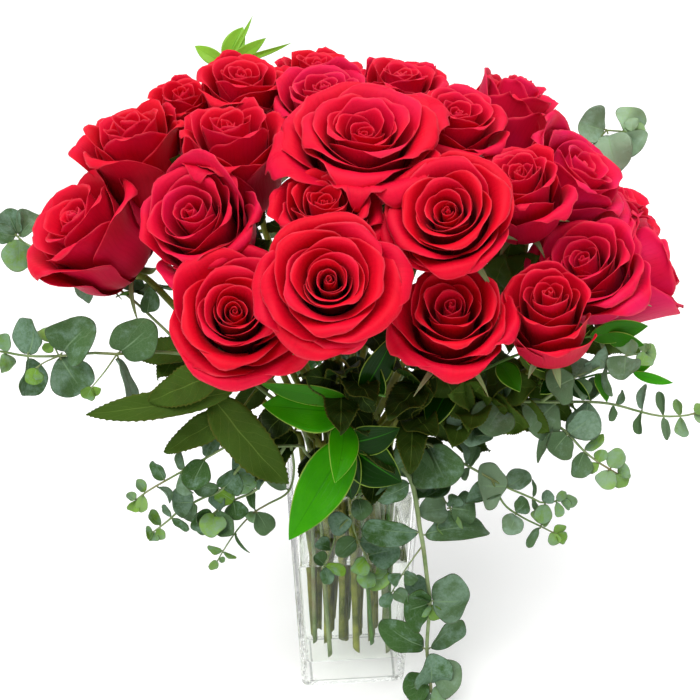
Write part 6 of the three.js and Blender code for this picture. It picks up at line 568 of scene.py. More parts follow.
world = bpy.data.worlds.new("studio")
scene.world = world
world.use_nodes = True
world.node_tree.nodes.clear()
N = Nodes(world.node_tree)
co = N("TexCoord")
sep = N("SeparateXYZ", None, Vector=co.outputs["Generated"])
sky = N.ramp(N.math("MULTIPLY_ADD", sep.outputs[2], 0.5, 0.5), [(0.0, (0.50, 0.50, 0.50)), (0.50, (0.60, 0.605, 0.61)), (0.64, (0.66, 0.665, 0.67)), (0.85, (0.96, 0.965, 0.97)), (1.0, (1.0, 1.0, 1.0))])
lit_wall = N.math("MULTIPLY_ADD", N.smooth(sep.outputs[1], -0.2, 0.8), 0.60, 0.82)
bg = N("Background", None, Color=sky, Strength=N.math("MULTIPLY", lit_wall, 0.88))
out = N("OutputWorld")
world.node_tree.links.new(bg.outputs[0], out.inputs[0])


def lamp(name, place, target, size, power, colour=(1, 1, 1)):
    d = bpy.data.lights.new(name, "AREA")
    d.shape = "DISK"
    d.size = size
    d.energy = power
    d.color = colour
    o = bpy.data.objects.new(name, d)
    scene.collection.objects.link(o)
    o.location = place
    o.rotation_euler = (Vector(target) - Vector(place)).to_track_quat("-Z", "Y").to_euler()
    return o


sun = bpy.data.lights.new("soft_key", "SUN")
sun.energy = 1.70
sun.angle = math.radians(38)
sun.color = (1.0, 0.99, 0.975)
key = bpy.data.objects.new("soft_key", sun)
scene.collection.objects.link(key)
key.rotation_euler = Vector((0.42, 0.50, -1.0)).to_track_quat("-Z", "Y").to_euler()
lamp("softbox", (0.30, -0.35, 1.8), (0.0, 0.0, 0.35), 0.9, 9.0, (0.99, 0.995, 1.0))
scene.cycles.max_bounces = 24
scene.cycles.transmission_bounces = 24
scene.cycles.transparent_max_bounces = 24

floor_mesh = bpy.data.meshes.new("floor")
floor_mesh.from_pydata([(-60, -60, 0), (60, -60, 0), (60, 60, 0), (-60, 60, 0)], [], [(0, 1, 2, 3)])
floor = bpy.data.objects.new("floor", floor_mesh)
scene.collection.objects.link(floor)
m, N = material("pale_floor")
co = N("TexCoord").outputs["Object"]
tone = N.mix(N.noise(co, 5.0), (0.885, 0.895, 0.89), (0.91, 0.915, 0.91))
b = N("BsdfPrincipled", None, Base_Color=tone, Roughness=0.6)
b.inputs["Emission Color"].default_value = (1.0, 1.0, 1.0, 1.0)
b.inputs["Emission Strength"].default_value = 0.17
end(N, b.outputs[0])
floor_mesh.materials.append(m)


# ---------------------------------------------------------------- geometry
def unit(v):
    v = np.asarray(v, float)
    return v / (np.linalg.norm(v, axis=-1, keepdims=True) + 1e-12)


def step(x, lo, hi):
    k = np.clip((x - lo) / (hi - lo), 0.0, 1.0)
    return k * k * (3 - 2 * k)


def curve(points, n, ends=True):
    """n points, evenly spaced, on a smooth line through the given ones."""
    p = np.asarray(points, float)
    q = np.vstack([2 * p[0] - p[1], p, 2 * p[-1] - p[-2]])
    out = []
    for i in range(1, len(q) - 2):
        t = np.linspace(0, 1, 12, endpoint=False)[:, None]
        a, b, c, d = q[i - 1], q[i], q[i + 1], q[i + 2]
        out.append(0.5 * (2 * b + (c - a) * t + (2 * a - 5 * b + 4 * c - d) * t**2 + (3 * b - a - 3 * c + d) * t**3))
    out = np.vstack(out + [p[-1:]])
    s = np.concatenate([[0], np.cumsum(np.linalg.norm(np.diff(out, axis=0), axis=1))])
    w = np.linspace(0, s[-1], n)
    return np.stack([np.interp(w, s, out[:, k]) for k in range(out.shape[1])], 1)


class Skin:
    """Collects closed surfaces and becomes one mesh. data is (side, height or youth, chance, tone) for each point; tone
    is pink on petals, pale bloom on eucalyptus leaves and painted shade on the other leaves.
    """

    def __init__(self):
        self.P, self.UV, self.D, self.Q, self.T, self.QM, self.TM = [], [], [], [], [], [], []
        self.QS, self.TS = [], []
        self.n = 0

    def add(self, P, uv, data, quads, tris=None, mat=0, smooth=None):
        self.P.append(P.reshape(-1, 3))
        self.UV.append(uv.reshape(-1, 2))
        self.D.append(data.reshape(-1, 4))
        self.Q.append(np.asarray(quads, int).reshape(-1, 4) + self.n)
        self.QM.append(np.full(len(self.Q[-1]), mat))
        self.QS.append(np.ones(len(self.Q[-1]), bool) if smooth is None else smooth)
        if tris is not None and len(tris):
            self.T.append(np.asarray(tris, int).reshape(-1, 3) + self.n)
            self.TM.append(np.full(len(self.T[-1]), mat))
            self.TS.append(np.zeros(len(self.T[-1]), bool))
        self.n += len(self.P[-1])

    def sheet(self, P, uv, data, thick, mat=0, flip=False):
        """A thin closed shell around the grid of points P[rows, columns]."""
        rows, cols = P.shape[:2]
        du, dv = np.gradient(P, axis=1), np.gradient(P, axis=0)
        nrm = unit(np.cross(du, dv))
        if flip:
            nrm = -nrm
        half = (np.asarray(thick) / 2 * np.ones((rows, cols)))[..., None]
        top, low = P + nrm * half, P - nrm * half
        d0, d1 = data.copy(), data.copy()
        d0[..., 0], d1[..., 0] = 0.0, 1.0
        idx = np.arange(rows * cols).reshape(rows, cols)
        f = np.stack([idx[:-1, :-1], idx[:-1, 1:], idx[1:, 1:], idx[1:, :-1]], -1).reshape(-1, 4)
        ring = np.concatenate([idx[0, :-1], idx[:-1, -1], idx[-1, :0:-1], idx[:0:-1, 0]])
        a, b = ring, np.roll(ring, -1)
        k = rows * cols
        side = np.stack([b, a, a + k, b + k], 1)
        quads = np.vstack([f, f[:, [0, 3, 2, 1]] + k, side])
        if flip:
            quads = quads[:, ::-1]
        self.add(np.concatenate([top.reshape(-1, 3), low.reshape(-1, 3)]), np.concatenate([uv.reshape(-1, 2)] * 2), np.concatenate([d0.reshape(-1, 4), d1.reshape(-1, 4)]), quads, mat=mat, smooth=np.arange(len(quads)) < 2 * len(f))

    def rod(self, path, radius, sides=10, mat=0, data=(0, 0, 0, 0), slant=0.0, slant_dir=0.0, round_end=False, v0=0.0, v1=1.0, squash=None):
        """A closed rod along the points of path, with a radius for each."""
        P = np.asarray(path, float)
        n = len(P)
        r = np.asarray(radius, float) * np.ones(n)
        t = unit(np.gradient(P, axis=0))
        ref = np.array([1.0, 0, 0]) if abs(t[0][0]) < 0.8 else np.array([0, 1.0, 0])
        e1 = unit(ref - t[0] * (ref @ t[0]))
        rings = []
        th = np.linspace(0, 2 * math.pi, sides, endpoint=False)
        for i in range(n):
            e1 = unit(e1 - t[i] * (e1 @ t[i]))
            e2 = np.cross(t[i], e1)
            c, s = np.cos(th)[:, None], np.sin(th)[:, None]
            ring = P[i] + r[i] * (c * e1 + s * e2)
            if i == 0 and slant:
                ring = ring + t[0] * (slant * r[0] * np.cos(th - slant_dir))[:, None]
            rings.append(ring)
        rings = np.array(rings)
        idx = np.arange(n * sides).reshape(n, sides)
        nx = np.roll(idx, -1, 1)
        quads = np.stack([idx[:-1], nx[:-1], nx[1:], idx[1:]], -1).reshape(-1, 4)
        c0, c1 = n * sides, n * sides + 1
        ends = np.stack([rings[0].mean(0), rings[-1].mean(0) + (t[-1] * r[-1] * 0.8 if round_end else 0)])
        tris = np.vstack([np.stack([nx[0], idx[0], np.full(sides, c0)], 1), np.stack([idx[-1], nx[-1], np.full(sides, c1)], 1)])
        uv = np.stack(np.meshgrid(np.linspace(0, 1, sides), np.linspace(v0, v1, n)), -1)
        uv = np.vstack([uv.reshape(-1, 2), [[0.5, v0], [0.5, v1]]])
        d = np.tile(np.asarray(data, float), (n * sides + 2, 1))
        d[: n * sides, 1] = np.repeat(np.linspace(v0, v1, n), sides) if data[1] is None or data[1] == -1 else d[: n * sides, 1]
        d = np.nan_to_num(d)
        self.add(np.vstack([rings.reshape(-1, 3), ends]), uv, d, quads, tris, mat)

    def build(self, name, mats, node):
        P, UV, D = np.concatenate(self.P), np.concatenate(self.UV), np.concatenate(self.D)
        Q = np.concatenate(self.Q)
        T = np.concatenate(self.T) if self.T else np.zeros((0, 3), int)
        me = bpy.data.meshes.new(name)
        me.vertices.add(len(P))
        me.vertices.foreach_set("co", P.astype(np.float32).ravel())
        loops = np.concatenate([Q.ravel(), T.ravel()]).astype(np.int32)
        me.loops.add(len(loops))
        me.loops.foreach_set("vertex_index", loops)
        me.polygons.add(len(Q) + len(T))
        me.polygons.foreach_set("loop_start", np.concatenate([np.arange(len(Q)) * 4, len(Q) * 4 + np.arange(len(T)) * 3]).astype(np.int32))
        me.polygons.foreach_set("material_index", np.concatenate(self.QM + self.TM).astype(np.int32))
        me.polygons.foreach_set("use_smooth", np.concatenate(self.QS + self.TS))
        me.uv_layers.new(name="UVMap").data.foreach_set("uv", UV[loops].astype(np.float32).ravel())
        me.attributes.new("pd", "FLOAT_COLOR", "POINT").data.foreach_set("color", D.astype(np.float32).ravel())
        me.update(calc_edges=True)
        me.validate()
        for mt in mats:
            me.materials.append(mt)
        ob = bpy.data.objects.new(name, me)
        scene.collection.objects.link(ob)
        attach(ob, "root")
        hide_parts(node)
        return ob


# ---------------------------------------------------------------- materials
def parts(N):
    """The point data and the sheet's own coordinates."""
    at = N("Attribute", {"attribute_name": "pd"})
    d = N("SeparateColor", None, Color=at.outputs["Color"])
    uv = N("UVMap", {"uv_map": "UVMap"})
    s = N("SeparateXYZ", None, Vector=uv.outputs[0])
    ob = N("TexCoord").outputs["Object"]
    return d.outputs[0], d.outputs[1], d.outputs[2], at.outputs["Alpha"], s.outputs[0], s.outputs[1], uv.outputs[0], ob


def petal_material():
    m, N = material("rose_petal")
    side, high, chance, tone, u, v, uv, ob = parts(N)
    across = N.math("ABSOLUTE", N.math("MULTIPLY_ADD", u, 2.0, -1.0))
    edge = N.math("MAXIMUM", across, v)
    # colour along the petal, from the hip to the lip: darker at the hip, brighter towards the lip
    face = N.ramp(high, [(0.0, (0.36, 0.07, 0.010)), (0.10, (0.38, 0.002, 0.004)), (0.45, (0.66, 0.0005, 0.009)), (0.80, (0.82, 0.001, 0.015)), (1.0, (0.86, 0.004, 0.026))])
    back = N.ramp(high, [(0.0, (0.38, 0.18, 0.04)), (0.08, (0.40, 0.015, 0.012)), (0.35, (0.50, 0.001, 0.012)), (0.85, (0.68, 0.002, 0.024)), (1.0, (0.78, 0.006, 0.045))])
    col = N.mix(side, face, back)
    pink = N.mix(N.math("MULTIPLY_ADD", N.smooth(N.noise(ob, 32.0, 2.0), 0.35, 0.65), 0.35, 0.25), col, (0.86, 0.016, 0.17))
    col = N.mix(tone, col, pink)
    mottled = N.noise(ob, 55.0, 4.0, 0.55)
    col = N.mix(N.math("MULTIPLY", N.smooth(mottled, 0.35, 0.70), 0.18), col, N.mix(1.0, col, (0.70, 0.55, 0.60), "MULTIPLY"))
    # fine veins that fan out from the base
    warp = N.noise(uv, 3.0, 3.0, 0.6)
    vein_at = N.math("MULTIPLY_ADD", warp, 0.10, u)
    wave = N("TexWave", {"wave_type": "BANDS", "bands_direction": "X"}, Vector=N("CombineXYZ", None, X=vein_at, Y=N.math("MULTIPLY", v, 0.06)).outputs[0], Scale=7.5, Distortion=2.2, Detail=3.0, Detail_Scale=1.6)
    veins = N.math("MULTIPLY", N.smooth(wave.outputs[1], 0.60, 0.98), N.math("SUBTRACT", 1.0, N.smooth(edge, 0.82, 0.98)))
    col = N.mix(N.math("MULTIPLY", veins, 0.12), col, N.mix(1.0, col, (0.62, 0.35, 0.45), "MULTIPLY"))
    # painted highlight: a pale pink line along the lip, standing in for light that shines through and catches the thin
    # edge
    rough_edge = N.math("MULTIPLY_ADD", N.noise(uv, 9.0, 2.0), 0.014, edge)
    rim = N.math("MULTIPLY", N.math("MULTIPLY", N.smooth(rough_edge, 0.980, 1.008), N.smooth(high, 0.35, 0.7)), N.math("MULTIPLY_ADD", N.smooth(N.noise(ob, 90.0, 2.0), 0.40, 0.62), 0.6, 0.4))
    col = N.mix(N.math("MULTIPLY", rim, 0.70), col, (0.86, 0.065, 0.10))
    fine = N.noise(ob, 1500.0, 2.0, 0.6)
    height = N.math("ADD", N.math("MULTIPLY", veins, -0.5), N.math("ADD", N.math("MULTIPLY", fine, 0.10), N.math("MULTIPLY", mottled, 0.8)))
    bump = N("Bump", None, Strength=0.22, Distance=0.0004, Height=height)
    rough = N.math("MULTIPLY_ADD", mottled, 0.14, 0.48)
    b = N("BsdfPrincipled", None, Base_Color=col, Roughness=rough, Normal=bump.outputs[0])
    b.inputs["Specular IOR Level"].default_value = 0.13
    b.inputs["Sheen Weight"].default_value = 0.08
    b.inputs["Sheen Roughness"].default_value = 0.35
    b.inputs["Sheen Tint"].default_value = (1.0, 0.30, 0.42, 1.0)
    glow = N("BsdfTranslucent", None, Color=N.mix(0.35, col, (0.92, 0.001, 0.006)), Normal=bump.outputs[0])
    mx = N("MixShader", None, i0=0.20)
    N.t.links.new(b.outputs[0], mx.inputs[1])
    N.t.links.new(glow.outputs[0], mx.inputs[2])
    end(N, mx.outputs[0])
    return m


def stem_material(name, low, high_c, red, stripe=0.35):
    m, N = material(name)
    side, high, chance, tone, u, v, uv, ob = parts(N)
    streaks = N("TexNoise", None, Vector=N("Mapping", {"vector_type": "POINT"}, Vector=ob, Scale=(1.0, 1.0, 0.12)).outputs[0], Scale=420.0, Detail=3.0).outputs[0]
    blots = N.noise(ob, 38.0, 4.0, 0.6)
    col = N.mix(N.smooth(blots, 0.35, 0.65), low, high_c)
    col = N.mix(N.math("MULTIPLY", N.smooth(N.noise(ob, 21.0, 3.0), 0.52, 0.72), 0.7), col, red)
    col = N.mix(N.math("MULTIPLY", streaks, stripe), col, N.mix(1.0, col, (0.55, 0.62, 0.45), "MULTIPLY"))
    bump = N("Bump", None, Strength=0.35, Distance=0.0006, Height=N.math("ADD", streaks, N.math("MULTIPLY", blots, 0.6)))
    b = N("BsdfPrincipled", None, Base_Color=col, Roughness=N.math("MULTIPLY_ADD", streaks, 0.25, 0.36), Normal=bump.outputs[0])
    b.inputs["Specular IOR Level"].default_value = 0.25
    end(N, b.outputs[0])
    return m


def leaf_material(name, upper, upper2, under, young_c, rib_c, rim_c, vein_kind, rough, spec, vein_strength=0.5, glow=0.18, rim_lo=0.93, rim_amount=0.8, bloom=None, coat=0.0):
    m, N = material(name)
    side, young, chance, tone, u, v, uv, ob = parts(N)
    x = N.math("MULTIPLY_ADD", u, 2.0, -1.0)
    ax = N.math("ABSOLUTE", x)
    cloud = N.noise(ob, 70.0, 4.0, 0.6)
    col = N.mix(N.math("MULTIPLY_ADD", chance, 0.45, N.math("MULTIPLY", N.smooth(cloud, 0.38, 0.62), 0.55)), upper, upper2)
    col = N.mix(side, col, under)
    col = N.mix(young, col, N.mix(N.smooth(cloud, 0.3, 0.7), young_c, N.mix(0.45, young_c, upper2)))
    if not bloom:
        # painted shade: tone darkens the colour of leaves that lie in the shade inside the bunch
        col = N.mix(tone, col, N.mix(1.0, col, (0.15, 0.19, 0.12), "MULTIPLY"))
    if bloom:
        share = N.math("FRACT", N.math("MULTIPLY", chance, 7.3))
        patch = N.smooth(N.math("MULTIPLY_ADD", share, 0.26, N.noise(ob, 85.0, 5.0, 0.66)), 0.54, 0.76)
        wax = N.smooth(N.noise(ob, 380.0, 4.0, 0.7), 0.36, 0.64)
        col = N.mix(N.math("MULTIPLY", N.math("MULTIPLY", patch, N.math("MULTIPLY_ADD", wax, 0.5, 0.5)), 0.74), col, bloom)
        col = N.mix(N.math("MULTIPLY", tone, N.math("MULTIPLY_ADD", cloud, 0.5, 0.45)), col, (0.44, 0.58, 0.42))
    if vein_kind == "feather":
        # side veins that leave the midrib at an angle and curve to the tip
        slope = N.math("SUBTRACT", v, N.math("MULTIPLY", N.math("POWER", ax, 0.85), 0.26))
        band = N.math("ABSOLUTE", N.math("SINE", N.math("MULTIPLY_ADD", N.noise(uv, 3.0), 2.2, N.math("MULTIPLY", slope, 24.0))))
        veins = N.math("SUBTRACT", 1.0, N.smooth(band, 0.0, 0.20))
        net = N("TexVoronoi", {"feature": "DISTANCE_TO_EDGE"}, Vector=uv, Scale=26.0).outputs[0]
        net = N.math("SUBTRACT", 1.0, N.smooth(net, 0.0, 0.10))
        veins = N.math("MAXIMUM", veins, N.math("MULTIPLY", net, 0.35))
    elif vein_kind == "parallel":
        # veins that run from base to tip and close in at both ends
        spread = N.math("DIVIDE", x, N.math("MULTIPLY_ADD", N.math("SINE", N.math("MULTIPLY", v, math.pi)), 0.8, 0.35))
        band = N.math("ABSOLUTE", N.math("SINE", N.math("MULTIPLY_ADD", N.noise(uv, 2.5), 1.0, N.math("MULTIPLY", spread, 15.0))))
        veins = N.math("SUBTRACT", 1.0, N.smooth(band, 0.0, 0.22))
    else:
        # a round blade: veins spray from the stalk
        ang = N.math("ARCTAN2", x, N.math("MULTIPLY_ADD", v, 2.0, 0.12))
        band = N.math("ABSOLUTE", N.math("SINE", N.math("MULTIPLY_ADD", N.noise(uv, 4.0, 3.0), 2.4, N.math("MULTIPLY", ang, 9.0))))
        veins = N.math("SUBTRACT", 1.0, N.smooth(band, 0.0, 0.20))
        net = N("TexVoronoi", {"feature": "DISTANCE_TO_EDGE"}, Vector=uv, Scale=15.0).outputs[0]
        net = N.math("SUBTRACT", 1.0, N.smooth(net, 0.0, 0.09))
        veins = N.math("MAXIMUM", N.math("MULTIPLY", veins, 0.8), N.math("MULTIPLY", net, 0.5))
    rib = N.math("SUBTRACT", 1.0, N.smooth(ax, 0.010, N.math("MULTIPLY_ADD", v, -0.035, 0.065)))
    col = N.mix(N.math("MULTIPLY", veins, vein_strength * 0.5), col, N.mix(0.6, col, rib_c))
    if vein_kind == "spray":
        rib = N.math("MULTIPLY", rib, N.math("SUBTRACT", 1.0, N.smooth(v, 0.25, 0.95)))
    col = N.mix(N.math("MULTIPLY", rib, 0.8), col, rib_c)
    if vein_kind == "spray":
        out_v = N.math("ABSOLUTE", N.math("MULTIPLY_ADD", v, 2.0, -1.0))
        edge = N.math("MAXIMUM", ax, out_v)
    else:
        edge = ax
    rim = N.smooth(N.math("MULTIPLY_ADD", N.noise(uv, 9.0), 0.04, edge), rim_lo, 1.0)
    col = N.mix(N.math("MULTIPLY", rim, rim_amount), col, rim_c)
    spots = N.smooth(N.noise(ob, 160.0, 3.0, 0.6), 0.66, 0.74)
    col = N.mix(N.math("MULTIPLY", spots, 0.35), col, N.mix(1.0, col, (0.55, 0.45, 0.35), "MULTIPLY"))
    height = N.math("ADD", N.math("MULTIPLY", veins, -0.5), N.math("ADD", N.math("MULTIPLY", rib, -0.8), N.math("MULTIPLY", cloud, 0.8)))
    bump = N("Bump", None, Strength=0.40, Distance=0.0005, Height=height)
    b = N("BsdfPrincipled", None, Base_Color=col, Roughness=N.math("MULTIPLY_ADD", cloud, 0.16, rough), Normal=bump.outputs[0])
    b.inputs["Specular IOR Level"].default_value = spec
    if coat:
        b.inputs["Coat Weight"].default_value = coat
        b.inputs["Coat Roughness"].default_value = 0.16
    tl = N("BsdfTranslucent", None, Color=N.mix(0.5, col, (0.12, 0.42, 0.01)), Normal=bump.outputs[0])
    mx = N("MixShader", None, i0=glow)
    N.t.links.new(b.outputs[0], mx.inputs[1])
    N.t.links.new(tl.outputs[0], mx.inputs[2])
    end(N, mx.outputs[0])
    return m


def clear_material(name, ior, colour, rough, wobble, plain=0.0):
    m, N = material(name)
    ob = N("TexCoord").outputs["Object"]
    wave = N.noise(ob, wobble[0], 2.0, 0.5)
    bump = N("Bump", None, Strength=wobble[1], Distance=0.001, Height=wave)
    b = N("BsdfPrincipled", None, Base_Color=colour, Roughness=rough, IOR=ior, Normal=bump.outputs[0])
    b.inputs["Transmission Weight"].default_value = 1.0
    thin = N("BsdfTransparent", None, Color=colour)
    path = N("LightPath")
    mx = N("MixShader", None, i0=N.math("MAXIMUM", path.outputs["Is Shadow Ray"], plain))
    N.t.links.new(b.outputs[0], mx.inputs[1])
    N.t.links.new(thin.outputs[0], mx.inputs[2])
    end(N, mx.outputs[0])
    return m


PETAL = petal_material()
STEM = stem_material("rose_stem", (0.090, 0.125, 0.008), (0.290, 0.325, 0.045), (0.22, 0.145, 0.025))
SEPAL = leaf_material("rose_sepal", (0.06, 0.15, 0.025), (0.15, 0.26, 0.06), (0.32, 0.40, 0.20), (0.28, 0.40, 0.12), (0.36, 0.44, 0.22), (0.30, 0.20, 0.10), "parallel", 0.5, 0.2)
ROSELEAF = leaf_material("rose_leaf", (0.003, 0.024, 0.001), (0.042, 0.130, 0.003), (0.050, 0.100, 0.010), (0.07, 0.24, 0.01), (0.12, 0.20, 0.030), (0.09, 0.100, 0.012), "feather", 0.46, 0.07, 1.0, 0.10)
EUC = leaf_material("eucalyptus_leaf", (0.003, 0.024, 0.003), (0.022, 0.105, 0.008), (0.048, 0.118, 0.028), (0.24, 0.46, 0.030), (0.24, 0.38, 0.20), (0.05, 0.060, 0.02), "spray", 0.44, 0.07, 0.90, 0.10, 0.972, 0.5, bloom=(0.215, 0.345, 0.265))
EUCSTEM = stem_material("eucalyptus_stem", (0.13, 0.21, 0.06), (0.28, 0.36, 0.17), (0.23, 0.14, 0.07), 0.25)
GLOSSY = leaf_material("glossy_leaf", (0.003, 0.070, 0.0005), (0.016, 0.230, 0.0005), (0.035, 0.190, 0.004), (0.050, 0.38, 0.0005), (0.03, 0.24, 0.002), (0.34, 0.52, 0.07), "parallel", 0.22, 0.11, 0.35, 0.14, 0.962, 0.85)
TIP = leaf_material("young_glossy_leaf", (0.13, 0.42, 0.012), (0.24, 0.56, 0.030), (0.20, 0.48, 0.030), (0.30, 0.60, 0.04), (0.16, 0.42, 0.02), (0.35, 0.55, 0.10), "parallel", 0.30, 0.25, 0.30, 0.20, 0.955, 0.5)
GLOSSYSTEM = stem_material("glossy_stem", (0.05, 0.16, 0.015), (0.10, 0.26, 0.03), (0.08, 0.14, 0.03), 0.25)
GLASS = clear_material("clear_glass", 1.42, (0.985, 0.994, 0.990), 0.0, (28.0, 0.035))
EDGE = clear_material("clear_glass_edge", 1.42, (0.992, 0.998, 0.995), 0.0, (28.0, 0.035), 0.62)
CORNER = clear_material("moulded_corner", 1.45, (0.985, 0.994, 0.990), 0.02, (210.0, 0.85), 0.30)
WET = clear_material("glass_on_water", 1.42 / 1.333, (0.985, 0.992, 0.985), 0.0, (28.0, 0.02))
WATER = clear_material("water_top", 1.333, (0.985, 0.990, 0.975), 0.0, (60.0, 0.10))


def unseen_side():
    """The water's sides lie against the glass, whose inner face already bends the light from one to the other."""
    m, N = material("water_against_glass")
    ob = N("TexCoord").outputs["Object"]
    tint = N.mix(N.noise(ob, 30.0), (0.990, 0.994, 0.985), (0.975, 0.985, 0.965))
    end(N, N("BsdfTransparent", None, Color=tint).outputs[0])
    return m


SIDE = unseen_side()


def foot_with_painted_glow():
    """The underside: pale, like ground glass, and glowing with painted light, with a painted dark line and bright and
    dark flecks of clear glass near the corners and edges.
    """
    m, N = material("foot_with_painted_glow")
    ob = N("TexCoord").outputs["Object"]
    s = N("SeparateXYZ", None, Vector=ob)
    near = N.math("MULTIPLY", N.math("ABSOLUTE", s.outputs[0]), N.math("ABSOLUTE", s.outputs[1]))
    near = N.math("MAXIMUM", N.smooth(near, 0.0008, 0.0015), N.smooth(N.math("MAXIMUM", N.math("ABSOLUTE", s.outputs[0]), N.math("ABSOLUTE", s.outputs[1])), 0.0375, 0.0405))
    flecks = N.math("MULTIPLY", N.smooth(N.noise(ob, 260.0, 3.0, 0.7), 0.44, 0.56), near)
    b = N("BsdfPrincipled", None, Base_Color=(0.93, 0.95, 0.94), Roughness=0.25, IOR=1.48)
    b.inputs["Transmission Weight"].default_value = 1.0
    reach = N.math("MAXIMUM", N.math("ABSOLUTE", s.outputs[0]), N.math("ABSOLUTE", s.outputs[1]))
    # painted reflection: a dark line across the underside, standing in for the edge lines that the thick glass base
    # shows
    line = N.math("MULTIPLY", N.smooth(reach, 0.0335, 0.0345), N.math("SUBTRACT", 1.0, N.smooth(reach, 0.0352, 0.0368)))
    shade = N.mix(N.math("MULTIPLY", line, N.math("MULTIPLY_ADD", N.noise(ob, 120.0, 3.0), 0.5, 0.45)), (0.96, 0.97, 0.96), (0.30, 0.31, 0.31))
    # painted glow: the pale surface gives off light of its own, though it is no lamp
    pale = N("BsdfPrincipled", None, Base_Color=shade, Roughness=0.8, Emission_Color=shade)
    pale.inputs["Emission Strength"].default_value = 0.22
    mx = N("MixShader", None, i0=N.math("MULTIPLY_ADD", flecks, -0.75, 0.88))
    N.t.links.new(b.outputs[0], mx.inputs[1])
    N.t.links.new(pale.outputs[0], mx.inputs[2])
    end(N, mx.outputs[0])
    return m


PAINTED_GLOW_FOOT = foot_with_painted_glow()


# ---------------------------------------------------------------- roses
def basis(axis, seed_dir=(0.0, 0.0, 1.0)):
    a = unit(axis)
    x = np.asarray(seed_dir, float)
    x = x - a * (x @ a)
    if np.linalg.norm(x) < 0.1:
        x = np.array([1.0, 0, 0]) - a * a[0]
    x = unit(x)
    return x, np.cross(a, x), a


